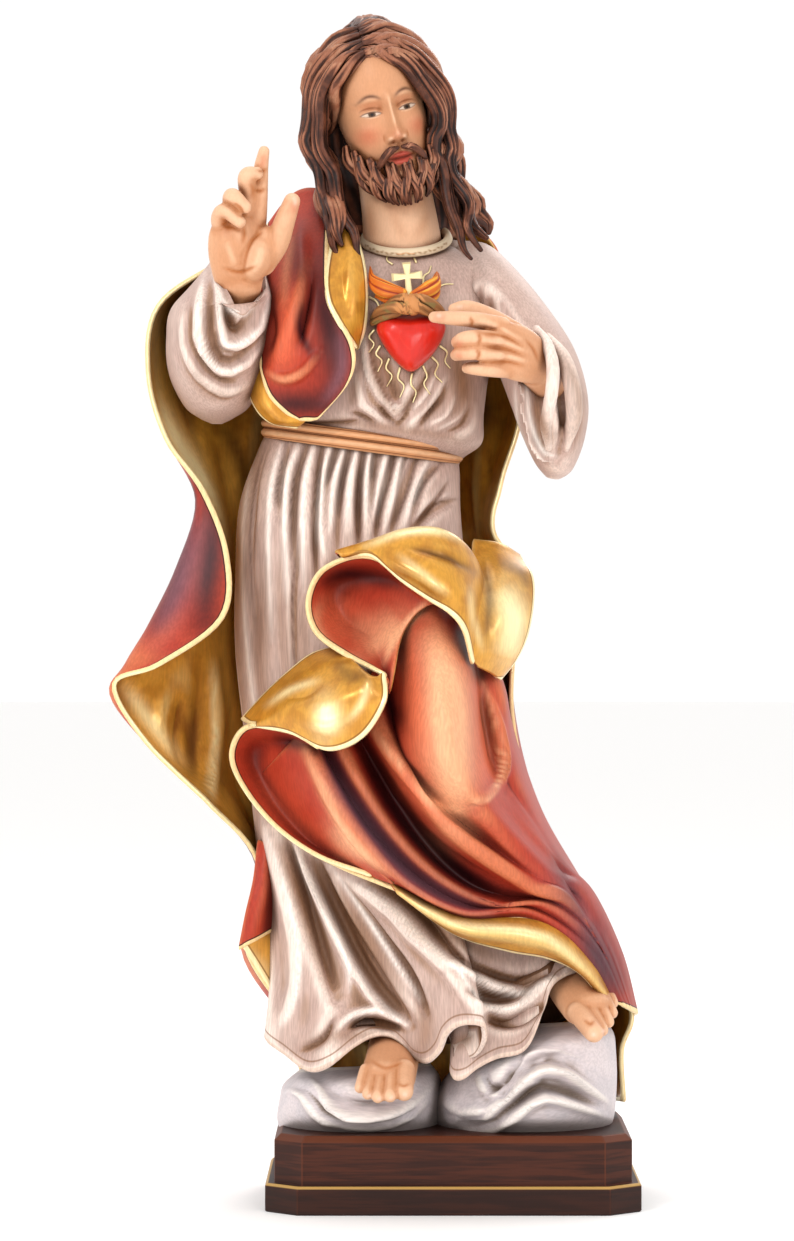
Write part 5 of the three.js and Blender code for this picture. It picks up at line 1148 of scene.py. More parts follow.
# Soft swellings and hollows of the face: height, place across and up, and half width and height. Those off
# the middle are on both sides.
FACE_FORMS = [
    (1.5, 9, 6.2, 7, 2.6), (-3.6, 9, 0.6, 5.6, 4), (-1.0, 4.4, 0.8, 1.6, 2.4), (3.1, EYE_AT, -0.4, 4.6, 2.9),
    (2.2, 0, 3, 2.3, 5), (2.0, 0, -1.5, 1.9, 6), (3.2, 0, -7, 2.4, 5), (6.4, 0, -12.8, 3.1, 3.3),
    (2.5, 3.9, -14.4, 1.6, 1.8), (-0.7, 5.9, -13.9, 0.8, 2.0), (-1.5, 2.2, -16.2, 0.9, 0.7),
    (1.4, 13, -7, 6, 5), (-0.8, 13.5, -17, 5, 6), (-0.5, 0, -18.7, 0.9, 1.9), (0.8, 2.0, -19.3, 1.3, 2.2),
    (1.7, 0, -22.6, 5.6, 1.4), (-0.35, 0, -21.3, 0.9, 0.7), (-0.8, 6.8, -24.3, 1.1, 1.2),
    (2.1, 0, -26.4, 4.6, 1.5), (-0.9, 0, -29.4, 5, 1.3), (2, 0, -34, 7, 4.5),
]


def mouth_line(x):
    return -24.4 + 0.012 * x**2


def face_relief(x, z):
    """How far a calm, evenly proportioned face stands out of the plain head."""
    upper, lower, crease = lids(x)
    lid_width = np.clip(1 - ((np.abs(x) - EYE_AT) / (EYE_HALF + 0.8)) ** 2, 0, 1)
    height = -0.75 * between_lids(x, z)
    for edge, swell, soft in ((upper + 0.35, 0.4, 0.45), (lower - 0.4, 0.3, 0.45), (crease, -0.6, 0.42)):
        height = height + swell * lid_width * np.exp(-(((z - edge) / soft) ** 2))
    height = height - 1.7 * np.exp(-((x / 6.4) ** 4) - ((z - mouth_line(x)) / 0.55) ** 2)
    for swell, *form in FACE_FORMS:
        height = height + swell * (pair if form[0] else bump)(x, z, *form)
    return height


BROW = [3.4, 5.6, 6.5, 7.6, 10.5, 8.0, 15, 5.4]


def face_marks(x, z):
    upper, lower, crease = lids(x)
    inside = between_lids(x, z)
    wide = np.clip(1 - ((np.abs(x) - EYE_AT) / (EYE_HALF + 0.3)) ** 2, 0, 1) ** 0.3
    iris_at = np.hypot(np.abs(x) - EYE_AT + 0.2, z + 0.9)
    brows = stroke_share(stroke(BROW, 0.85, 1), np.abs(x), z)
    lash = np.exp(-(((z - upper) / 0.32) ** 2)) + 0.35 * np.exp(-(((z - lower) / 0.3) ** 2))
    fold = 0.45 * wide * np.exp(-(((z - crease) / 0.4) ** 2))
    lip = np.exp(-((x / 5.9) ** 6)) * step_up(z, -28.2 + 0.04 * x**2, -27.2 + 0.04 * x**2)
    lip = lip * step_up(-z, 20.9 + 0.05 * x**2, 21.7 + 0.05 * x**2)
    seam = 0.85 * np.exp(-((x / 6.4) ** 4) - ((z - mouth_line(x)) / 0.4) ** 2)
    blush = 0.8 * pair(x, z, 13, -11, 5.5, 5) + 0.5 * bump(x, z, 0, -13, 3, 3)
    return {
        "white": inside,
        "iris": inside * step_up(-iris_at, -2.0, -1.6),
        "pupil": inside * step_up(-iris_at, -1.0, -0.7),
        "drawn_line": np.clip(0.85 * brows + wide * lash + fold + seam, 0, 1),
        "lips": lip,
        "blush": np.clip(blush + 0.3 * pair(x, z, 9, 3.4, 5, 1.6), 0, 1),
        "stubble": step_up(-z, 16, 30) * step_up(np.abs(x), 5.5, 12),
    }


FACE_COLUMNS = 196
FACE_ROWS = 123
FOREHEAD_ROWS = 41
FOREHEAD = 12


def head():
    levels = curve(HEAD_LEVELS, 60)
    face = np.linspace(HEAD_LEVELS[0][0], FOREHEAD, FACE_ROWS, endpoint=False)
    up = np.concatenate([face, np.linspace(FOREHEAD, HEAD_LEVELS[-1][0], FOREHEAD_ROWS)])
    half, front, back = (np.interp(up, levels[:, 0], levels[:, k])[:, None] for k in (1, 2, 3))
    t = turns(FACE_COLUMNS)
    a = t - 0.6 * np.sin(t) * (1 + np.cos(t)) / 2
    x = half * np.sin(a)
    y = (front + back) / 2 - (back - front) / 2 * np.cos(a)
    z = np.broadcast_to(up[:, None], x.shape)
    facing = np.sqrt(np.maximum(0, np.cos(a)))
    y = y - facing * face_relief(x, z)
    marks = {name: value * (facing > 0) for name, value in face_marks(x, z).items()}
    return rings_shape(from_head(np.stack([x, y, z], -1)), **marks)


def strands(count, depth, phase=0, twist=0.0):
    """Grooves that part a lock into strands."""

    def grooves(turn, run):
        wave = np.abs(np.cos((count * turn + phase + twist * run) / 2))
        return -depth * (1 - wave) ** 2

    return grooves


def bundle(path, radii, count, twist, around, steps, share, reach, phase=0, drawn=True, depth=0.34, sway=0):
    """A lock of several wound strands along a path."""
    full = (len(path) - 1) * steps + 1
    centres = curve(np.asarray(path, float), full)
    if drawn:
        centres = place(centres)
    sizes = curve(np.asarray(radii, float), full)
    directions = unit(np.gradient(centres, axis=0))
    side = unit(ACROSS - (directions @ ACROSS)[:, None] * directions)
    other = np.cross(directions, side)
    run = np.linspace(0, 1, full)
    wave = sway * np.clip(3 * run - 0.6, 0, 1) * np.sin(2 * math.pi * run * (len(path) - 1) / 2.6 + phase)
    centres = centres + (wave * sizes)[:, None] * side
    made = []
    for k in range(count):
        a = phase + 2 * math.pi * k / count + twist * run
        out = (reach * sizes * np.sqrt(np.clip(1.15 - run**3, 0.05, 1)))[:, None]
        line = centres + out * (np.cos(a)[:, None] * side + np.sin(a)[:, None] * other)
        grooves = strands(5, depth, phase + k, twist)
        made.append(limb(line[::2], (sizes * share)[::2], around, 2, drawn=False, grooves=grooves))
    return made


def tapered(path, radius, tip=0.3):
    run = np.linspace(0, 1, len(path))
    return radius * (1 - (1 - tip) * run**4)


CROWN_LOCKS = 8
PARTING = (0.7, 2.15)
BACK_REACH = (0.5, 0.86, 0.9, 0.9)
CROWN_MIDDLE = np.array([0, 4.5, 7.0])
CROWN_HALF = np.array([27.5, 35.0, 34.5])
CAP_TOP = [[364, 23, 5], [5, -1, 0], [0, 0, -4]]
CAP_AROUND = 150
CAP_ALONG = 46


def hair_cap():
    cap = drawn_grid([spanned(*span) for span in (CAP_TOP, *HAIR_CAP)], CAP_AROUND, CAP_ALONG, True)
    points = place(cap)
    normals = outward_normals(points)
    turn = turns(CAP_AROUND)[None]
    run = np.linspace(0, 1, CAP_ALONG)[:, None]
    comb = 0.5 * np.abs(np.sin(17 * turn + 2.4 * np.sin(5 * run + 2 * turn) + 3 * run)) - 1.2
    return rings_shape(points + normals * (comb * np.clip(6 * run, 0, 1))[..., None])


def crown_lock(side, k):
    """A path combed from the parting over the crown, to hang down at a turn of its own."""
    share = k / (CROWN_LOCKS - 1)
    rise = PARTING[0] + (PARTING[1] - PARTING[0]) * share
    turn = 1.22 + 1.85 * share
    top = np.array([0.03 * side - 0.2 * (1 - share), -math.cos(rise), math.sin(rise)])
    end = np.array([side * math.sin(turn), -math.cos(turn), 0.1])
    over = [top * (1 - t) + end * t for t in (0, 0.3, 0.62, 1)]
    path = [from_head(CROWN_MIDDLE + CROWN_HALF * unit(point)) for point in over]
    if share > 0.5:
        path = path[:1] + [
            place(spanned_point(middle, np.multiply(u, reach), np.multiply(v, reach), side * turn))
            for (middle, u, v), reach in zip(HAIR_CAP, BACK_REACH)
        ]
    for j, (middle, u, v) in enumerate(HAIR_CAP[4:]):
        sway = 0.1 * math.sin(1.5 * j + 1.7 * k + side)
        point = spanned_point(middle, np.multiply(u, 0.9), np.multiply(v, 0.86), side * turn + sway)
        path.append(place(point + [0, (j + 1) * (k % 3 - 1) * 2.5, 0]))
    return path


def hair():
    front = []
    for k, (radius, *path) in enumerate(SIDE_LOCKS):
        path = np.reshape(path, (-1, 3))
        twist = (1.9 + 0.4 * (k % 3)) * (1 if k % 2 else -1)
        radii = tapered(path, radius * 0.95)
        radii[0] *= 0.6
        front += bundle(path, radii, 3, twist, 16, 4, 0.62, 0.45, 0.8 * k, sway=0.5)
    back = [hair_cap()]
    for side in (-1, 1):
        for k in range(CROWN_LOCKS):
            path = crown_lock(side, k)
            radii = tapered(path, 6.4)
            radii[:3] = (2.6, 4.6, 5.8)
            lock = bundle(path, radii, 3, 2.4 * side, 13, 4, 0.64, 0.45, 1.3 * k, drawn=False, sway=0.42)
            back += lock
    return joined(front), joined(back)


JAW = [
    [-19, 8, -12], [-15.5, -8, -25], [-8.5, -18, -34], [0, -21, -37], [8.5, -18, -34], [15.5, -8, -25],
    [19, 8, -12],
]
JAW_RADII = [2, 4, 6, 7, 6, 4, 2]
CURL_SHARES = np.array([0, 0.3, 0.55, 0.8, 1])
CURL_TAPER = np.array([0.7, 1, 1, 0.75, 0.3])
# Layers of curls: count, reach round the jaw, radius, and where a curl starts, how long and how far out it is
CURL_LAYERS = [
    (15, 1.32, 3.0, 0.08, 0.9, -0.3), (13, 1.1, 2.3, 0.16, 0.66, 0.8), (8, 0.66, 1.9, 0.42, 0.55, 1.6),
]
MOUSTACHE_RADII = np.array([1.0, 1.6, 1.5, 0.6])
MOUSTACHE = [(0, 1.0), (1.0, 0.8), (-0.9, 0.75)]


def curl_path(turn, sway, start, length, out_by):
    """A curl starts high on the jaw at its turn from the chin and sweeps down and in to the beard's tip."""
    share = start + length * CURL_SHARES
    at = turn * (1 - 0.28 * share)
    out = 2 + out_by + 4 * np.sin(math.pi * (0.2 + 0.7 * share))
    return np.stack(
        [
            (18.5 + out) * np.sin(at) + sway * np.sin(2 * math.pi * share),
            -3 - (20 + out) * np.cos(at),
            -9 - 17 * np.cos(at) - share * (13 + 9 * np.cos(at)),
        ],
        -1,
    )


def beard():
    made = [limb(from_head(JAW), JAW_RADII, 44, 8, drawn=False, grooves=strands(13, 0.2))]
    for layer, (count, reach, radius, *run) in enumerate(CURL_LAYERS):
        for k in range(count):
            turn = reach * (2 * k / (count - 1) - 1)
            sway = (1.6 if (k + layer) % 2 else -1.6) * (1 + 0.25 * math.sin(5.0 * k + layer))
            path = from_head(curl_path(turn, sway, *run))
            grooves = strands(4, 0.42, k + layer, 2.5 * (-1) ** k)
            made.append(limb(path, CURL_TAPER * radius, 14, 5, drawn=False, grooves=grooves))
    for side in (-1, 1):
        for lift, radius in MOUSTACHE:
            path = [[1.3, -31.6, -19.2 + 0.3 * lift], [6, -31.8, -20.4 + lift]]
            path += [[10.6, -28.4, -25 + lift], [13, -25, -29]]
            path = from_head([[side * x, y, z] for x, y, z in path])
            made.append(limb(path, MOUSTACHE_RADII * radius, 14, 8, drawn=False, grooves=strands(4, 0.3)))
    return joined(made)


def melted(shape, voxel, rounds):
    """The overlapping closed bodies of a shape as one smooth skin."""
    mesh = bpy.data.meshes.new("scratch")
    mesh.from_pydata((shape.points * MM).tolist(), [], shape.quads.tolist() + shape.triangles.tolist())
    body = bpy.data.objects.new("scratch", mesh)
    bpy.context.scene.collection.objects.link(body)
    remesh = body.modifiers.new("remesh", "REMESH")
    remesh.mode = "VOXEL"
    remesh.voxel_size = voxel * MM
    smooth = body.modifiers.new("smooth", "SMOOTH")
    smooth.factor = 0.5
    smooth.iterations = rounds
    depsgraph = bpy.context.evaluated_depsgraph_get()
    skin = bpy.data.meshes.new_from_object(body.evaluated_get(depsgraph))
    points = np.empty(len(skin.vertices) * 3, np.float32)
    skin.vertices.foreach_get("co", points)
    corners = np.empty(len(skin.loops), np.int32)
    skin.loops.foreach_get("vertex_index", corners)
    sizes = np.empty(len(skin.polygons), np.int32)
    skin.polygons.foreach_get("loop_total", sizes)
    starts = np.cumsum(sizes) - sizes
    quads = corners[starts[sizes == 4][:, None] + np.arange(4)]
    triangles = corners[starts[sizes == 3][:, None] + np.arange(3)]
    bpy.data.objects.remove(body)
    bpy.data.meshes.remove(skin)
    return Shape(points.reshape(-1, 3) / MM, quads, triangles)


def carve(shape, marks):
    across, down = elevation(shape.points)
    normals = points_normals(shape)
    facing = facing_share(normals)
    shape.points = shape.points + normals * stroked(marks, across, down, facing)[:, None]
    return shape


HAND_MESH = 24, 8
HAND_VOXEL = 0.82
HAND_ROUNDS = 2


def hand(parts, wide, marks):
    """A hand or a foot of limbs, each given by how flat it is, its radii and its path."""
    bodies = [limb(np.reshape(path, (-1, 3)), radii, *HAND_MESH, flat, wide) for flat, radii, path in parts]
    return carve(melted(joined(bodies), HAND_VOXEL, HAND_ROUNDS), marks)


# Paint


def colour(code):
    """Linear values of a colour from its six-digit code."""
    values = [int(code[i : i + 2], 16) / 255 for i in (0, 2, 4)]
    return (*[v / 12.92 if v <= 0.04045 else ((v + 0.055) / 1.055) ** 2.4 for v in values], 1)


class Paint:
    """A material built of coats of colour, each laid over the last with a share from 0 to 1."""

    def __init__(self, name, code, roughness, metallic=0.0, coat=0.0):
        self.material = bpy.data.materials.new(name)
        self.material.use_nodes = True
        self.tree = self.material.node_tree
        self.shader = self.tree.nodes["Principled BSDF"]
        self.shader.inputs["Roughness"].default_value = roughness
        self.shader.inputs["Metallic"].default_value = metallic
        self.shader.inputs["Coat Weight"].default_value = coat
        self.shader.inputs["Specular IOR Level"].default_value = 0.5 if metallic else 0.22
        self.shader.inputs["Coat Roughness"].default_value = 0.25
        self.tint = colour(code)
        self.normal = None
        PAINTS[name] = self.material

    def add(self, kind, settings, *inputs):
        node = self.tree.nodes.new(kind)
        for name, value in settings.items():
            setattr(node, name, value)
        for i, value in inputs:
            if isinstance(value, bpy.types.NodeSocket):
                self.tree.links.new(value, node.inputs[i])
            else:
                node.inputs[i].default_value = value
        return node

    def mark(self, name):
        return self.add("ShaderNodeAttribute", {"attribute_name": name}).outputs["Fac"]

    def ranged(self, value, low, high, most=1.0, least=0.0):
        """Least where the value is at low, most where it is at high, and a smooth step between them."""
        inputs = ((0, value), (1, low), (2, high), (3, least), (4, most))
        return self.add("ShaderNodeMapRange", {"interpolation_type": "SMOOTHSTEP"}, *inputs).outputs[0]

    def times(self, one, other):
        return self.add("ShaderNodeMath", {"operation": "MULTIPLY"}, (0, one), (1, other)).outputs[0]

    def noise(self, size, stretch=(1, 1, 1), detail=3.0):
        """Mottling with features of a size in millimetres, times stretch along each axis."""
        place_at = self.add("ShaderNodeTexCoord", {}).outputs["Object"]
        scale = tuple(1 / (size * MM * s) for s in stretch)
        scaled = self.add("ShaderNodeMapping", {}, (0, place_at), (3, scale)).outputs[0]
        return self.add("ShaderNodeTexNoise", {}, (0, scaled), (2, 1.0), (3, detail)).outputs[0]

    def recess(self, reach, low, high, most=1.0):
        """How deep in a recess: from none where little is within reach in millimetres, to most."""
        open_share = self.add("ShaderNodeAmbientOcclusion", {"samples": 6}, (1, reach * MM)).outputs["AO"]
        return self.ranged(open_share, high, low, most)

    def over(self, code, source, *span):
        """A coat of a colour where the source is, which is a mark's name or a value, over a span of it."""
        share = self.mark(source) if isinstance(source, str) else source
        if span:
            share = self.ranged(share, *span)
        inputs = ((0, share), (6, self.tint), (7, colour(code)))
        self.tint = self.add("ShaderNodeMix", {"data_type": "RGBA"}, *inputs).outputs[2]

    def varnish(self, shade):
        """A clear coat that deepens and warms what lies under it."""
        coat = self.add("ShaderNodeVectorMath", {"operation": "MULTIPLY"}, (0, self.tint), (1, shade))
        self.tint = coat.outputs[0]

    def lines(self, amount, size=1.0, stretch=(1, 1, 14)):
        """Fine brush lines that darken or lighten the paint by an amount."""
        wave = self.ranged(self.noise(size, stretch), 0.35, 0.65, 1 + amount, 1 - amount)
        scaled = self.add("ShaderNodeVectorMath", {"operation": "SCALE"}, (0, self.tint), (3, wave))
        self.tint = scaled.outputs[0]
        return self

    def grain(self, size, height, stretch=(1, 1, 1)):
        """Relief of a height in millimetres from brush and knife."""
        node = self.add("ShaderNodeBump", {}, (0, 1.0), (1, height * MM), (2, self.noise(size, stretch)))
        if self.normal is not None:
            self.tree.links.new(self.normal, node.inputs["Normal"])
        self.normal = node.outputs[0]
        return self

    def done(self):
        if isinstance(self.tint, bpy.types.NodeSocket):
            self.tree.links.new(self.tint, self.shader.inputs["Base Color"])
        else:
            self.shader.inputs["Base Color"].default_value = self.tint
        if self.normal is not None:
            self.tree.links.new(self.normal, self.shader.inputs["Normal"])


p = Paint("painted_tunic", "C4B0A9", 0.5)
hollow = p.mark("hollow")
p.over("CFBDB6", p.noise(22), 0.42, 0.6, 0.7)
# Painted highlight on the ridges and painted shade in the hollows
p.over("F4ECE6", hollow, -0.12, -1.1)
p.over("A98B72", hollow, 0.06, 0.8, 0.85)
p.over("6B4A33", hollow, 0.5, 2.0, 0.9)
# Brown strokes of painted shade in the folds
p.over("94735A", "glaze")
p.over("E8DACE", "rim", 1.6, 0.9)
# Painted shade in deep recesses
p.over("5D402B", p.recess(9, 0.42, 0.9, 0.85))
# Thin lines of painted shade along the creases
p.over("60432F", "crease_line")
p.varnish((0.85, 0.74, 0.68))
# Thin lines of painted highlight along the ridges
p.over("FBF1E8", "light_line")
p.over("7B5537", p.times(p.ranged(p.mark("rim"), 3.6, 4.1, 0.7), p.ranged(p.mark("rim"), 5.0, 4.5)))
p.lines(0.10).lines(0.05, 0.5, (1, 1, 20))
p.grain(0.9, 0.10, (1, 1, 10)).done()

p = Paint("painted_mantle", "BC4230", 0.42)
hollow = p.mark("hollow")
p.over("C9523D", p.noise(16), 0.4, 0.6, 0.5)
# Painted highlight on the ridges and painted shade in the hollows
p.over("E58F6C", hollow, -0.15, -1.5, 0.85)
p.over("6B1917", hollow, 0.15, 1.4, 0.85)
p.varnish((0.74, 0.6, 0.46))
# Brighter orange-red, partly the paint's own hue and partly painted light on ridges and in the upper funnel
p.over("D2603F", "warm")
# Painted shade in the valleys, under the flaps and lobes, and where the cloth turns away
p.over("3A0E10", "dark")
# Painted shade in recesses
p.over("2A080B", p.recess(11, 0.4, 0.85, 0.75))
p.over("74505A", "purple")
# Painted highlights on the knee and on the folds' crests
p.over("E4A47A", "light")
rim = p.mark("rim")
p.over("3A140C", p.times(p.ranged(rim, 1.2, 1.5), p.ranged(rim, 2.3, 1.9)))
p.over("EBCB94", rim, 1.45, 1.15)
p.lines(0.09, 1.1, (1, 1, 9))
p.grain(1.0, 0.08, (1, 1, 7)).done()

p = Paint("gold_leaf", "EDB84E", 0.3, 0.75)
hollow = p.mark("hollow")
p.over("C98E34", p.noise(9), 0.4, 0.62, 0.6)
# Painted highlight on the ridges and painted shade in the hollows and recesses
p.over("F8E2A2", hollow, -0.25, -1.5, 0.8)
p.over("9A621E", hollow, 0.15, 1.6, 0.85)
p.over("8A5618", p.recess(12, 0.3, 0.75, 0.5))
p.varnish((0.74, 0.61, 0.44))
# A warmer, brighter gold, partly the leaf's own hue and partly painted light where the lining lies in shade
p.over("FFC25A", "warm")
# Painted shade in the lining's deep pockets and in the grooves under the flaps
p.over("4A2A0E", "dark")
# Painted highlights and reflections on the lobes, the flap and the lining's edges
p.over("FFEDB4", "light")
# Less metallic under the painted highlights, so that they stay pale
shine = p.ranged(p.mark("light"), 0.2, 0.9, 0.2, 0.4)
p.tree.links.new(shine, p.shader.inputs["Metallic"])
rim = p.mark("rim")
p.over("6A4316", p.times(p.ranged(rim, 1.2, 1.5), p.ranged(rim, 2.4, 1.9, 0.7)))
p.over("F4E2AE", rim, 1.4, 1.1)
p.lines(0.07, 1.3, (1, 1, 8))
p.grain(5.0, 0.22).grain(0.8, 0.05, (1, 1, 6)).done()

p = Paint("painted_skin", "D09A70", 0.42)
hollow = p.mark("hollow")
# Painted highlight on the ridges and painted shade in the hollows
p.over("EDC49E", hollow, -0.02, -0.55, 0.85)
p.over("AE6E3C", hollow, 0.04, 0.5, 0.8)
p.over("7E4424", hollow, 0.35, 1.2, 0.85)
p.over("D5805C", "blush")
# Brown strokes of painted shade in the creases of palms, knuckles and toes, and on the neck
p.over("B06A34", "glaze")
p.over("7C4022", "stubble")
# Painted shade in recesses
p.over("74401F", p.recess(5, 0.38, 0.9, 0.85))
p.over("B5503F", "lips")
p.over("E5D3BC", "white")
p.over("5E4630", "iris")
p.over("1C0F0A", "pupil")
p.over("F3D2B8", "nail")
p.over("4A2616", "drawn_line")
p.varnish((0.88, 0.82, 0.83))
p.lines(0.03, 0.9, (1, 1, 3))
p.grain(1.2, 0.03).done()

p = Paint("painted_hair", "44251A", 0.4)
crease = p.mark("crease")
p.over("6B3D2A", p.noise(6), 0.4, 0.62, 0.7)
# Painted highlights on the locks' ridges, in streaks on the sharpest
p.over("9A6248", crease, -0.4, -1.0, 0.85)
p.over("A8765A", p.times(p.ranged(crease, -0.8, -1.5, 0.85), p.ranged(p.noise(8, detail=1), 0.46, 0.6)))
# Painted shade in the grooves between strands and in deep recesses
p.over("1A0C09", crease, 0.1, 0.8, 0.95)
p.over("120806", p.recess(7, 0.3, 0.8, 0.85))
p.lines(0.12, 0.5, (1, 1, 6)).done()

p = Paint("painted_trim", "D39C6E", 0.5)
# Painted highlight on the ridges, painted shade in the creases and recesses
p.over("E2B88F", "crease", -0.3, -1.2, 0.8)
p.over("7C4A2A", "crease", 0.3, 1.4, 0.9)
p.over("5A341C", p.recess(5, 0.4, 0.85, 0.8))
p.varnish((0.88, 0.8, 0.76))
p.lines(0.08, 0.8, (6, 6, 1)).done()

p = Paint("painted_band", "D9C3A4", 0.5)
# Painted highlight on the ridges
p.over("F1E4CA", "crease", -0.3, -1.2, 0.8)
p.over("8A5E36", "motif")
# Painted shade in recesses
p.over("6A4528", p.recess(4, 0.4, 0.8, 0.7))
p.done()

p = Paint("painted_thorns", "8A5A32", 0.5)
# Painted highlight on the ridges and painted shade in the creases
p.over("CC8A52", "crease", -0.3, -1.2, 0.85)
p.over("4C2414", "crease", 0.3, 1.4, 0.9)
p.over("6E7040", p.noise(5), 0.52, 0.62, 0.5)
# Painted shade in recesses
p.over("3A160C", p.recess(4, 0.35, 0.8, 0.8))
p.done()

p = Paint("painted_flames", "C8661F", 0.4)
# Painted highlight on the ridges, painted shade in the creases and recesses
p.over("EDB040", "crease", -0.3, -1.2, 0.9)
p.over("8E2A12", "crease", 0.3, 1.4, 0.9)
p.over("A33214", p.recess(4, 0.35, 0.8, 0.7))
p.done()

p = Paint("painted_heart", "CC2213", 0.3, 0.0, 0.35)
# Painted highlight on the swells and painted shade in recesses
p.over("E0422C", "hollow", -0.2, -1.0, 0.6)
p.over("8C100B", p.recess(6, 0.4, 0.85, 0.8))
p.lines(0.04, 1.4).done()

p = Paint("pale_gold", "F4E2AC", 0.35, 0.45)
# Painted shade in recesses
p.over("8A6426", p.recess(3, 0.35, 0.8, 0.7))
p.done()

p = Paint("painted_cloud", "E2DFE6", 0.55)
hollow = p.mark("hollow")
p.over("D3D3DC", p.noise(14), 0.42, 0.6, 0.6)
# Painted highlight on the ridges and painted shade in the hollows and recesses
p.over("F8F8F8", hollow, -0.15, -1.2, 0.95)
p.over("9C9088", hollow, 0.1, 1.4, 0.8)
p.over("6A5C50", hollow, 0.9, 2.6, 0.8)
p.over("6A5C50", p.recess(9, 0.36, 0.8, 0.65))
p.varnish((0.86, 0.78, 0.73))
p.lines(0.07, 1.2, (6, 1, 1))
p.grain(1.2, 0.12, (6, 1, 1)).done()

p = Paint("stained_plinth", "3C1C10", 0.5)
p.over("5C2E1B", p.noise(3.0, (14, 14, 1)), 0.42, 0.62, 0.7)
p.over("2B120B", p.noise(1.1, (30, 30, 1), 5.0), 0.52, 0.68, 0.6)
# Painted highlight along the top bevel and down the corners
p.over("7A4228", "edge")
p.over("241009", "foot")
p.varnish((0.66, 0.56, 0.46))
p.over("B08A4C", "gilt")
p.grain(0.8, 0.05, (30, 30, 1)).done()

# The figure's pieces

LINED = ["painted_mantle", "gold_leaf"]


def front_of(shape):
    """A function that finds how deep the shape's front lies at a place on the elevation."""
    tree = BVHTree.FromPolygons(shape.points.tolist(), shape.quads.tolist() + shape.triangles.tolist())
    eye = Vector(place([EYE_ACROSS, EYE_DOWN, -EYE_DISTANCE * 0.999]))

    def depth_at(across, down):
        towards = Vector(place([across, down, 0])) - eye
        return tree.ray_cast(eye, towards)[0].y

    return depth_at


CUFF_ROLLS = [
    [
        [2, 3, 3.4, 3.4, 3, 2],
        [536, 328, -62, 547, 344, -77, 553, 368, -84, 551, 396, -85, 546, 424, -80, 549, 448, -70],
    ],
    [[2, 4, 4.4, 4.2, 2], [548, 336, -56, 563, 358, -64, 572, 386, -68, 574, 416, -66, 566, 448, -60]],
]
# Thin lines of painted shade along the chest's creases
BODY_SHADE_LINES = creased([
    [371, 334, 375, 370, 391, 406], [432, 366, 416, 396, 402, 414], [352, 412, 366, 419, 376, 426],
], 2.2, 0.7) + creased([
    [379, 406, 388, 418, 398, 426], [440, 398, 430, 412, 419, 428],
], 2, 0.7)
# Painted shade in the chest's folds, under the heart and under the belt
BODY_SHADE = strokes([
    [13, 1.0, 450, 336, 462, 380, 464, 420], [8, 0.9, 370, 316, 376, 366, 392, 410],
    [5, 0.6, 360, 356, 356, 384, 350, 408], [5, 0.8, 430, 376, 414, 396, 400, 412],
    [5, 0.7, 446, 384, 438, 404, 420, 422], [6, 0.6, 290, 424, 340, 422, 420, 432, 470, 440],
    [10, 0.5, 390, 366, 410, 378, 440, 362],
])
# Painted shade in the skirt's folds, under the mantle's hem and inside the hem's turns
SKIRT_SHADE = strokes([
    [9, 0.8, 262, 440, 244, 520, 238, 600], [10, 0.5, 262, 560, 262, 640, 262, 730],
    [16, 0.5, 300, 590, 300, 650, 316, 700], [9, 1.0, 278, 836, 300, 896, 330, 990],
    [10, 1.0, 318, 870, 360, 940, 406, 1020], [7, 0.6, 346, 890, 376, 940, 410, 990],
    [9, 0.7, 420, 1000, 426, 1030, 420, 1056], [11, 0.9, 396, 890, 440, 930, 500, 960],
    [8, 0.8, 450, 1046, 466, 1040, 476, 1046], [8, 0.6, 300, 1050, 340, 1035, 410, 1036],
])
# Thin lines of painted highlight along the sleeves' ridges
SLEEVE_HIGHLIGHTS = creased([
    [211, 254, 222, 298, 238, 314, 251, 308, 264, 264],
    [219, 290, 222, 335, 227, 346, 246, 341, 264, 322, 270, 280],
    [204, 272, 198, 320, 204, 352, 222, 372, 240, 368], [526, 380, 530, 420, 542, 450, 556, 456],
    [515, 385, 518, 425, 530, 452],
], 2.2, 0.9)
# Painted shade in the sleeves' folds and mouths
SLEEVE_SHADE = strokes([
    [8, 0.9, 228, 300, 234, 326, 247, 322], [5, 0.7, 207, 330, 212, 358, 222, 368],
    [8, 0.5, 186, 366, 206, 392, 232, 396], [8, 0.9, 535, 392, 540, 420, 552, 446],
    [6, 0.6, 562, 350, 580, 400, 574, 450], [5, 0.8, 490, 300, 492, 316, 486, 328],
])

# Points round and along each body of cloth
TORSO_MESH = 204, 116
SKIRT_MESH = 244, 172
RIGHT_SLEEVE_MESH = 150, 126
LEFT_SLEEVE_MESH = 180, 140
CUFF_MESH = 180, 80
ROLL_MESH = 24, 10
ARM_MESH = 60, 20
ARM_VOXEL = 1.35
ARM_ROUNDS = 3

torso = lofted([oval(*station) for station in TORSO], *TORSO_MESH, CHEST_FOLDS + FINE_CHEST)
skirt = lofted(skirt_rings(), *SKIRT_MESH, SKIRT_FOLDS + FINE_SKIRT, hem_rings, len(SKIRT))
right_sleeve = lofted(RIGHT_SLEEVE, *RIGHT_SLEEVE_MESH, RIGHT_SLEEVE_FOLDS + FINE_SLEEVE)
left_sleeve = lofted(LEFT_SLEEVE, *LEFT_SLEEVE_MESH, LEFT_SLEEVE_FOLDS + FINE_LEFT_SLEEVE)
left_cuff = lofted(LEFT_CUFF, *CUFF_MESH, (), None, 2)
upper_arm = limb(*UPPER_ARM, *ARM_MESH)

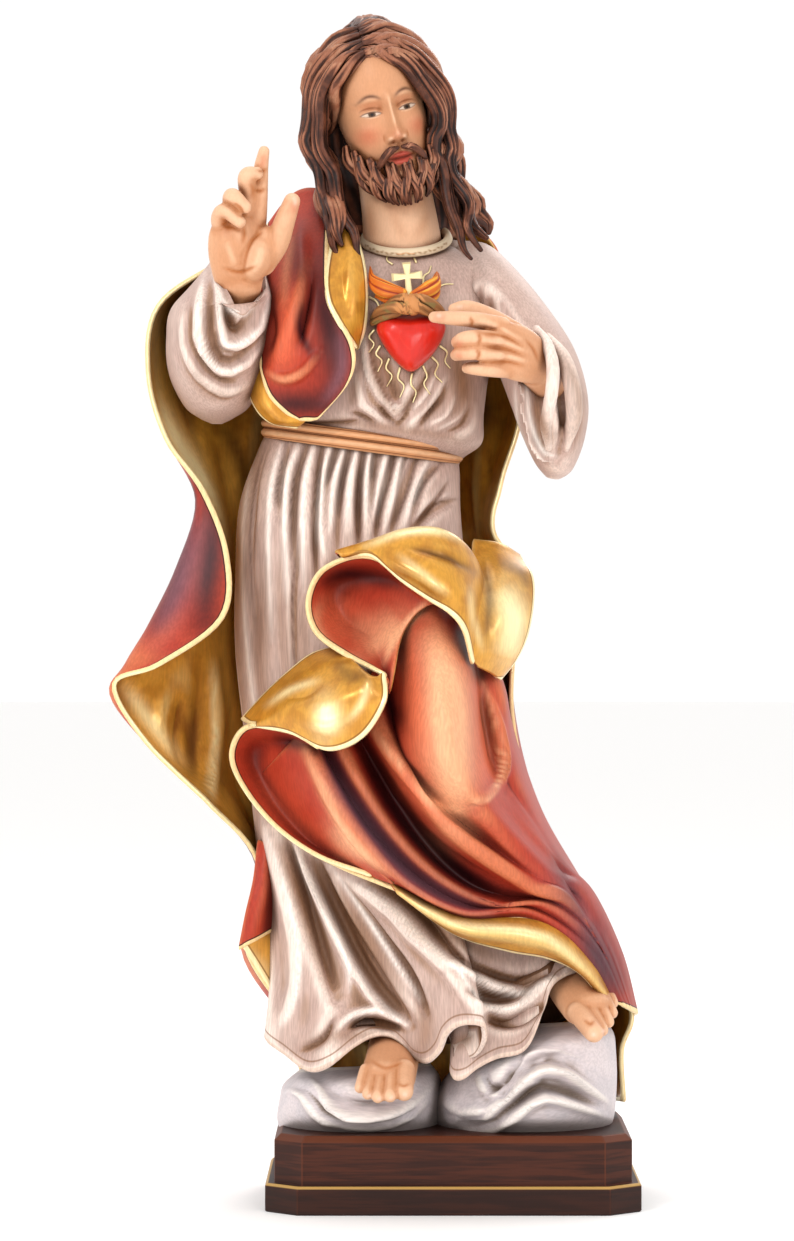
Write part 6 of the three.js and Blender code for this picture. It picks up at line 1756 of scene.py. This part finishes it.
# Rolls of cloth at the mouth of the left sleeve
cuff_rolls = [limb(np.reshape(path, (-1, 3)), radii, *ROLL_MESH) for radii, path in CUFF_ROLLS]
left_arm = melted(joined([left_sleeve, left_cuff, *cuff_rolls]), ARM_VOXEL, ARM_ROUNDS)
shoulder = limb(*SHOULDER, *ARM_MESH)
sleeves = joined([right_sleeve, left_arm, upper_arm, shoulder])
# Lines of painted shade along the creases, and of painted highlight along the ridges
skirt_shade_lines = creased(PLEAT_LINES, 1.7, 0.8) + creased(SKIRT_LINES, 2.2, 0.8)
skirt_highlights = creased(PLEAT_RIDGES, 3, 0.6) + creased(SKIRT_RIDGES, 2.4, 0.85)
piece("tunic_body", painted(torso, crease_line=BODY_SHADE_LINES, glaze=BODY_SHADE), "painted_tunic")
skirt = painted(skirt, crease_line=skirt_shade_lines, light_line=skirt_highlights, glaze=SKIRT_SHADE)
piece("tunic_skirt", skirt, "painted_tunic")
sleeves = painted(sleeves, light_line=SLEEVE_HIGHLIGHTS, glaze=SLEEVE_SHADE)
piece("tunic_sleeves", sleeves, "painted_tunic")

belt = [hoop(spanned(*span), radius, 18, 160, 0, 4) for span, radius in zip(BELT, (2.4, 2.9))]
piece("belt", painted(joined(belt)), "painted_trim")

RED_DABS = {
    # Painted highlights on the knee, the folds' crests and the lit floor of the upper funnel
    "light": strokes([
        [21, 1.2, 448, 660, 452, 744, 456, 824], [17, 0.75, 430, 622, 442, 680, 448, 740],
        [10, 0.6, 364, 652, 386, 640, 402, 618], [4.5, 0.95, 306, 752, 330, 806, 356, 846, 386, 874],
        [9, 0.6, 330, 824, 346, 846, 368, 860], [3.4, 0.9, 375, 732, 402, 767, 432, 802, 462, 811],
        [2.6, 0.9, 484, 684, 498, 736, 502, 772, 488, 799, 472, 802],
        [3.4, 0.9, 428, 600, 398, 634, 384, 664], [6, 0.6, 322, 600, 316, 624, 332, 650, 364, 662],
        [16, 0.45, 350, 626, 376, 628, 398, 612], [4, 0.35, 268, 374, 284, 380, 304, 371],
        [5, 0.35, 292, 232, 286, 270, 284, 306],
    ]),
    # Brighter orange-red, partly the paint's own hue and partly painted light on ridges and in the upper
    # funnel
    "warm": strokes([
        [12, 0.8, 288, 290, 287, 340, 276, 372], [22, 0.9, 340, 590, 332, 616, 350, 640],
        [14, 0.3, 248, 770, 280, 815, 330, 850], [12, 0.8, 410, 646, 416, 700, 432, 770],
        [12, 0.8, 486, 680, 490, 740, 480, 790], [10, 0.7, 384, 760, 420, 800, 470, 826],
        [9, 0.6, 140, 652, 160, 636, 176, 612],
    ]),
    # Painted shade in the leg's valleys, under the flaps and lobes, on the chest panel's lower side and where
    # the cloth turns away
    "dark": strokes([
        [12, 1.0, 364, 752, 376, 784, 402, 822, 440, 864, 496, 904], [9, 0.6, 420, 832, 460, 868, 520, 900],
        [9, 1.0, 318, 584, 350, 574, 410, 584], [8, 0.85, 388, 690, 394, 710, 402, 728],
        [8, 0.95, 472, 668, 480, 674, 488, 680], [8, 0.85, 270, 736, 291, 742, 312, 748],
        [17, 1.0, 620, 1000, 600, 960, 584, 920], [9, 0.6, 584, 920, 566, 880, 552, 850],
        [7, 0.5, 500, 640, 516, 700, 530, 760], [5, 0.9, 303, 300, 300, 330, 312, 356],
        [19, 1.0, 316, 232, 322, 296, 334, 350, 334, 404], [15, 0.95, 262, 402, 296, 404, 336, 404],
        [10, 0.45, 300, 214, 296, 250, 300, 284], [15, 1.0, 212, 470, 212, 540, 206, 590, 204, 640],
        [10, 0.75, 190, 520, 176, 580, 150, 640],
    ]),
    "purple": strokes([
        [9, 1.0, 326, 752, 338, 784, 362, 818, 388, 852, 424, 886, 486, 914],
        [20, 0.4, 548, 860, 590, 930, 618, 1000], [16, 0.7, 196, 510, 180, 580, 156, 640],
        [7, 0.6, 340, 330, 342, 370, 324, 404],
    ]),
}
GOLD_DABS = {
    # Painted highlights and reflections on the lobes, the flap's crest, the hem's turn and the lining's edges
    "light": strokes([
        [15, 1.0, 500, 584, 514, 620, 506, 660], [13, 1.0, 326, 700, 328, 718, 324, 736],
        [4, 0.7, 266, 706, 290, 690, 318, 680], [4, 0.6, 350, 720, 362, 702, 368, 684],
        [5, 1.0, 366, 545, 402, 531, 438, 530, 464, 540], [4, 0.5, 400, 556, 424, 574, 446, 592],
        [4, 0.5, 470, 588, 474, 620, 482, 650], [4, 1.0, 214, 666, 216, 736, 211, 804],
        [6, 0.3, 160, 296, 153, 340, 156, 390, 168, 430], [10, 1.0, 158, 400, 172, 432, 190, 462, 206, 490],
        [5, 0.7, 190, 460, 214, 500, 230, 560], [4, 0.8, 404, 894, 450, 922, 500, 928, 548, 938, 588, 972],
        [7, 0.7, 126, 688, 150, 722, 180, 762], [7, 0.35, 236, 948, 262, 966, 282, 1000],
        [6, 0.4, 504, 470, 492, 500, 484, 526],
    ]),
    "warm": strokes([
        # A warmer, brighter gold on the lining at the left, partly the leaf's own hue and partly painted
        # light where it lies in shade
        [17, 1.0, 160, 300, 152, 360, 166, 420, 196, 480, 220, 560, 224, 640],
        [17, 0.9, 232, 636, 226, 720, 240, 800, 262, 866], [12, 0.6, 232, 440, 240, 520, 238, 620],
        [10, 0.5, 262, 930, 272, 966, 286, 1000], [13, 0.8, 126, 700, 156, 740, 200, 800, 236, 860],
    ]),
    "dark": strokes([
        # Painted shade in the lining's deep pockets and in the grooves under the flaps
        [13, 0.9, 478, 370, 484, 410, 474, 446], [7, 0.8, 214, 424, 238, 450, 248, 510, 248, 600],
        [9, 0.35, 384, 560, 420, 586, 456, 612], [8, 0.6, 336, 660, 350, 676, 372, 672],
        [7, 0.6, 496, 560, 520, 570, 530, 590], [5, 0.35, 240, 700, 250, 780, 266, 850],
        [5, 0.6, 190, 690, 192, 740, 190, 790], [4, 0.8, 408, 548, 442, 556, 474, 572],
        [5, 0.7, 486, 560, 490, 600, 486, 640],
    ]),
}


def cloth(name, slot, sheets):
    """Sheets of the mantle as a piece, with the red outside and the gold lining."""
    whole = joined(sheets)
    painted(whole, **RED_DABS)
    normals = points_normals(whole)
    across, down = elevation(whole.points)
    facing = facing_share(normals)
    gold = np.zeros(len(whole.points))
    gold[np.unique(whole.quads[whole.slots == 1])] = 1
    for mark, dabs in GOLD_DABS.items():
        laid = np.clip(stroked(dabs, across, down, facing), 0, 1)
        whole.marks[mark] = np.where(gold > 0, laid, whole.marks[mark])
    piece(name, whole, slot, LINED)


# Points along and across each sheet of the mantle
LEG_PANEL_MESH = 116, 158
HEM_TURN_MESH = 100, 14
LEFT_TURN_MESH = 40, 22
LEFT_LINING_MESH = 30, 22
FLAP_MESH = 104, 54
SIDE_LOBE_MESH = 68, 42
UPPER_FUNNEL_MESH = 98, 34
LOWER_LOBE_MESH = 78, 48
LOWER_FUNNEL_MESH = 104, 32
CHEST_PANEL_MESH = 98, 78
CHEST_TURN_MESH = 60, 22
LAPEL_MESH = 64, 26
BACK_MANTLE_MESH = 122, 106

# Slots of a sheet's two faces
RED_OUT = (0, 1)
GOLD_OUT = (1, 0)
cloth(
    "mantle_front",
    "painted_mantle",
    [
        sheet(LEG_PANEL, *LEG_PANEL_MESH, LEG_FOLDS + LEG_BANDS + FINE_LEG, RED_OUT, (1, 0, 0, 1)),
        sheet(HEM_TURN, *HEM_TURN_MESH, (), GOLD_OUT, (0, 1, 0, 0)),
        sheet(LEFT_TURN, *LEFT_TURN_MESH, (), RED_OUT, (0, 0, 0, 1)),
        sheet(LEFT_LINING, *LEFT_LINING_MESH, (), GOLD_OUT, (0, 0, 1, 0)),
    ],
)
cloth(
    "mantle_drape",
    "painted_mantle",
    [
        sheet(FLAP, *FLAP_MESH, FLAP_FOLDS, GOLD_OUT, (1, 1, 0, 0)),
        sheet(SIDE_LOBE, *SIDE_LOBE_MESH, SIDE_LOBE_FOLDS, GOLD_OUT, (0, 1, 0, 1)),
        sheet(UPPER_FUNNEL, *UPPER_FUNNEL_MESH, (), RED_OUT, (1, 0, 0, 0)),
        sheet(LOWER_LOBE, *LOWER_LOBE_MESH, LOBE_FOLDS, GOLD_OUT, (1, 1, 0, 1)),
        sheet(LOWER_FUNNEL, *LOWER_FUNNEL_MESH, (), RED_OUT, (1, 0, 0, 0)),
    ],
)
cloth(
    "mantle_chest",
    "painted_mantle",
    [
        sheet(CHEST_PANEL, *CHEST_PANEL_MESH, CHEST_PANEL_FOLDS, RED_OUT, (1, 1, 0, 1)),
        sheet(CHEST_TURN, *CHEST_TURN_MESH, (), GOLD_OUT, (1, 0, 0, 0)),
        sheet(LAPEL, *LAPEL_MESH, LAPEL_FOLDS, GOLD_OUT, (1, 1, 0, 0)),
    ],
)
cloth(
    "mantle_back",
    "gold_leaf",
    [sheet(BACK_MANTLE, *BACK_MANTLE_MESH, LINING_FOLDS + BACK_FOLDS + FINE_LINING, GOLD_OUT, (0, 1, 1, 1))],
)

# Head, hair and beard
neck = limb(*NECK, 56, 12)
# Painted shade on the neck and under the beard
NECK_SHADE = strokes([
    [5, 0.3, 388, 206, 398, 226, 407, 240], [5, 0.3, 432, 206, 422, 226, 414, 240],
    [9, 0.5, 372, 196, 404, 204, 436, 196], [6, 0.45, 368, 200, 370, 222, 374, 240],
])
piece("head", painted(joined([head(), neck]), glaze=NECK_SHADE), "painted_skin")
front_hair, back_hair = hair()
piece("hair", painted(front_hair), "painted_hair")
piece("hair_back", painted(back_hair), "painted_hair")
piece("beard", painted(beard()), "painted_hair")

# Hands and feet
PALM_DABS = {
    # Painted shade in the palm's creases and between the fingers
    "glaze": creased(PALM_LINES, 1.5, 0.85) + strokes([
        [4, 0.8, 222, 216, 226, 224, 230, 234], [3, 0.8, 250, 182, 253, 190, 251, 200],
        [14, 0.35, 228, 262, 240, 300, 244, 312],
    ]),
    "blush": strokes([
        [6, 0.6, 290, 202, 294, 206, 293, 214], [4, 0.6, 262, 154, 263, 160, 262, 168],
    ]),
    "nail": strokes([
        [2.2, 0.7, 293, 196, 295, 201, 295, 206],
    ]),
}
BACK_DABS = {
    # Painted shade in the knuckles' creases and between the fingers
    "glaze": creased(BACK_LINES, 1.5, 0.8) + strokes([
        [3, 0.7, 470, 328, 486, 334, 496, 336],
    ]),
    "blush": strokes([
        [4, 0.6, 434, 315, 440, 317, 446, 318], [4, 0.6, 455, 342, 459, 344, 463, 346],
        [4, 0.6, 455, 354, 459, 356, 463, 357],
    ]),
    "nail": strokes([
        [2.2, 0.8, 436, 315, 439, 315.5, 442, 316], [2, 0.6, 456, 307, 460, 307, 463, 308],
    ]),
}
NAILS = [
    [403, 1093, 405, 1095, 407, 1093], [390, 1097, 391, 1098, 393, 1097], [378, 1098, 379, 1099, 381, 1098],
    [368, 1095, 369, 1096, 371, 1095], [592, 1033, 594, 1035, 596, 1034], [602, 1030, 603, 1031, 605, 1030],
]
TOE_DABS = {
    # Painted shade between the toes
    "glaze": creased(TOE_LINES, 1.6, 0.7),
    "nail": creased(NAILS, 2, 0.9, 2),
}
palm = hand(RAISED_HAND, ACROSS, PALM)
piece("raised_hand", painted(palm, **PALM_DABS), "painted_skin")
pointing = hand(POINTING_HAND, UPRIGHT, HAND_BACK)
piece("pointing_hand", painted(pointing, **BACK_DABS), "painted_skin")
piece("right_foot", painted(hand(RIGHT_FOOT, ACROSS, TOES), **TOE_DABS), "painted_skin")
piece("left_foot", painted(hand(LEFT_FOOT, ACROSS, TOES), **TOE_DABS), "painted_skin")

# The heart and what stands on it
HEART_MIDDLE = np.array([411, 338])
HEART_OUTLINE = [
    [411, 316], [425, 314], [439, 317], [445, 328], [439, 344], [427, 360], [411, 371], [396, 361],
    [384, 345], [377, 329], [383, 317], [397, 315],
]
HEART_LAYERS = [[0.97, -34], [1.02, -46], [0.92, -52], [0.66, -56], [0.3, -57.5]]


def heart():
    outline = np.array(HEART_OUTLINE) - HEART_MIDDLE
    depth = np.ones((len(outline), 1))
    return lofted([np.hstack([HEART_MIDDLE + s * outline, depth * d]) for s, d in HEART_LAYERS], 100, 36)


CROSS_MIDDLE = np.array([407.5, 276])
CROSS_CORNERS = [
    [-3, -3], [-4.6, -14], [4.6, -14], [3, -3], [15, -4.2], [15, 4.2], [3, 3], [3.6, 22], [-3.6, 22],
    [-3, 3], [-16, 4.2], [-16, -4.2],
]
CROSS_LEAN = -0.09
CROSS_LAYERS = [[0.92, 0], [1, -0.5], [1, -2.6], [0.86, -3.6], [0.45, -4]]


def cross():
    corners = np.array(CROSS_CORNERS, float)
    ends = np.roll(corners, -1, 0)
    outline = np.concatenate([a + (b - a) * np.linspace(0, 1, 5)[:-1, None] for a, b in zip(corners, ends)])
    upright, aside = math.cos(CROSS_LEAN), math.sin(CROSS_LEAN)
    turned = np.array([[upright, aside], [-aside, upright]])
    rings = []
    for share, out in CROSS_LAYERS:
        drawn = share * outline @ turned + CROSS_MIDDLE
        depth = -37.5 - 0.32 * (drawn[:, 1:] - 262) + out
        rings.append(place(np.hstack([drawn, depth])))
    return rings_shape(np.array(rings))


RAYS = [
    [430, 301, 437, 295, 439, 287, 446, 284, 453, 284], [423, 284, 424, 276, 429, 272, 431, 266],
    [369, 297, 376, 301, 379, 308, 374, 312], [374, 330, 369, 337, 374, 344, 369, 352],
    [380, 346, 376, 354, 382, 361, 378, 371], [389, 359, 386, 368, 392, 376, 387, 386],
    [400, 368, 398, 378, 404, 386, 400, 397], [412, 374, 411, 384, 416, 392, 413, 402],
    [423, 366, 427, 376, 424, 384, 430, 394], [432, 357, 438, 364, 435, 374, 442, 382],
    [440, 346, 447, 352, 445, 361, 450, 368], [416, 262, 414, 256, 418, 250],
    [392, 264, 387, 260, 388, 253],
]
chest_front = front_of(torso)
piece("heart", painted(heart()), "painted_heart")
CROWN_PATH = [
    [374, 321, -44], [386, 311, -53], [402, 305, -57], [421, 305, -57], [436, 310, -53], [446, 320, -45],
]
CROWN_RADII = [2.8, 4.6, 5.4, 5.4, 4.6, 2.8]
crown = bundle(CROWN_PATH, CROWN_RADII, 3, 5.5, 16, 12, 0.56, 0.5, depth=0.2)
piece("crown", painted(joined(crown)), "painted_trim", ["painted_thorns"])
FLAMES = [
    [[[370, 267, -38], [373, 281, -45], [385, 290, -49], [403, 295, -52]], [0.6, 3.4, 4.6, 3.4]],
    [[[376, 296, -44], [388, 299, -49], [402, 300, -52]], [1, 2.6, 2.6]],
    [[[437, 275, -38], [435, 286, -46], [427, 293, -50], [413, 297, -52]], [2.0, 5, 5.4, 3]],
]
FLAME_MESH = 40, 16
flame_grooves = strands(5, 0.3, 0.4, 1.5)
flames = [limb(path, radii, *FLAME_MESH, 0.6, UPRIGHT, grooves=flame_grooves) for path, radii in FLAMES]
piece("flames", painted(joined(flames)), "painted_trim", ["painted_flames"])
piece("cross", painted(cross()), "gold_leaf", ["pale_gold"], False)
RAY_POINTS = 9
rays = []
for path in RAYS:
    flat = curve(np.reshape(path, (-1, 2)), RAY_POINTS)
    draped = [[x, y, chest_front(x, y) - 0.3] for x, y in flat]
    rays.append(limb(draped, np.linspace(0.6, 0.3, RAY_POINTS), 10, 3))
piece("rays", painted(joined(rays)), "gold_leaf", ["pale_gold"])
middle, u, v = NECKLINE
band = hoop(spanned(middle, u, v), 2.3, 22, 360)
SCALLOP_POINTS = 120
SCALLOP_STROKES = 20
wave_at = np.linspace(-1.35, 1.35, SCALLOP_POINTS)
scallops = spanned_point(middle, u, v, wave_at)
scallops[:, 1] += 1.6 * np.abs(np.sin(11 * wave_at)) - 0.6
scallops[:, 2] -= 2.1 * np.cos(wave_at)
scallop_line = limb(scallops, np.full(SCALLOP_POINTS, 0.35), 8, 1)
motif = creased(np.split((scallops + [0, 0.6, 0])[:, :2], SCALLOP_STROKES), 0.9, 1.0, 3)
piece("neckline", painted(band, motif=motif), "painted_trim", ["painted_band"])
piece("neckline_scallops", painted(scallop_line), "painted_trim")

# The cloud
cloud_waves = CLOUD_WAVES + CLOUD_LINES
clouds = [lofted(CLOUD_LEFT, 150, 70, cloud_waves), lofted(CLOUD_RIGHT, 180, 86, cloud_waves)]
piece("cloud", painted(joined(clouds)), "painted_cloud")

# The plinth
LOW, HIGH = (np.array(corner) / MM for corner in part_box("plinth"))
FOOT_TOP = 14
LEDGE = 4.5
CORNER_CUT = 16
INNER_CUT = 4
SOFT_EDGE = 0.7
PLAIN, GILT, BEVEL = range(3)


def plinth():
    half = (HIGH - LOW)[:2] / 2
    top = HIGH[2]
    # Inset, height and finish of each ring; the bevel's finish is a painted highlight
    levels = [
        (0.7, 0, PLAIN), (0, 0.7, PLAIN), (0, 11.6, PLAIN), (0.02, 12.6, PLAIN), (0.3, 13.1, GILT),
        (0.9, 13.7, GILT), (1.4, FOOT_TOP, GILT), (1.7, FOOT_TOP, PLAIN), (2.4, FOOT_TOP, PLAIN),
        (4.2, FOOT_TOP, PLAIN), (LEDGE, FOOT_TOP + 0.3, PLAIN), (LEDGE, top - 3.4, PLAIN),
        (4.7, top - 3.0, BEVEL), (7.2, top - 0.4, BEVEL), (7.8, top, BEVEL), (8.4, top, PLAIN),
        (40, top, PLAIN),
    ]
    rings = []
    for inset, height, _ in levels:
        x, y = half - inset
        cut = max(INNER_CUT, CORNER_CUT - inset / 2)
        near_x, near_y = x - cut, y - cut
        right = [(x, -near_y), (x, near_y), (near_x, y), (-near_x, y)]
        corners = np.array(right + [(-a, -b) for a, b in right])
        ring = np.stack([corners + SOFT_EDGE * unit(np.roll(corners, k, 0) - corners) for k in (1, -1)], 1)
        middle = (corners + ring.mean(1)) / 2
        ring = np.stack([ring[:, 0], middle, ring[:, 1]], 1).reshape(-1, 2)
        rings.append(np.concatenate([ring, np.full((len(ring), 1), height)], 1))
    points = np.array(rings)
    kind = np.array([kind for _, _, kind in levels])[:, None] * np.ones(points.shape[1])
    height = points[..., 2]
    corner = np.arange(points.shape[1]) % 3 == 1
    # A painted highlight along the top bevel and down the soft corners
    edge = np.maximum((kind == BEVEL) * 0.7, corner * 0.55)
    return rings_shape(points, gilt=(kind == GILT) * 1.0, edge=edge, foot=(height < 12) * 0.6)


piece("plinth_block", plinth(), "stained_plinth", None, False, "plinth")

# The studio: a wide pale floor under a pale sky, and soft light
FLOOR_RADIUS = 14.0
FLOOR_SIDES = 96
floor_ring = [(FLOOR_RADIUS * math.cos(a), FLOOR_RADIUS * math.sin(a), 0) for a in turns(FLOOR_SIDES)]
floor_mesh = bpy.data.meshes.new("floor")
floor_mesh.from_pydata(floor_ring, [], [list(range(FLOOR_SIDES))])
floor = bpy.data.objects.new("floor", floor_mesh)
bpy.context.scene.collection.objects.link(floor)
floor_paint = Paint("studio_floor", "FBFAF9", 0.8)
floor_paint.done()
floor_mesh.materials.append(floor_paint.material)

world = bpy.data.worlds.new("studio")
bpy.context.scene.world = world
world.use_nodes = True
world.node_tree.nodes["Background"].inputs[0].default_value = (1, 0.995, 0.99, 1)
world.node_tree.nodes["Background"].inputs[1].default_value = 1.02

# Lights by their place in metres, power and size
LIGHTS = {
    "key": ((-0.9, -1.6, 1.3), 10, 0.4),
    "fill": ((1.3, -1.4, 0.6), 4.5, 0.6),
    "low": ((-1.3, -0.9, 0.25), 2.5, 0.4),
    "front": ((0.3, -1.9, 0.5), 4.5, 0.35),
    "back": ((0.6, 1.5, 1.3), 6, 0.6),
    "top": ((0, 0.3, 2.6), 16, 1.6),
}
for name, (at, energy, size) in LIGHTS.items():
    lamp = bpy.data.lights.new(name, "AREA")
    lamp.energy = energy
    lamp.size = size
    holder = bpy.data.objects.new(name, lamp)
    holder.location = Vector(at)
    holder.rotation_euler = (Vector((0, 0, 0.32)) - Vector(at)).to_track_quat("-Z", "Y").to_euler()
    bpy.context.scene.collection.objects.link(holder)
bpy.context.scene.view_settings.view_transform = "Standard"
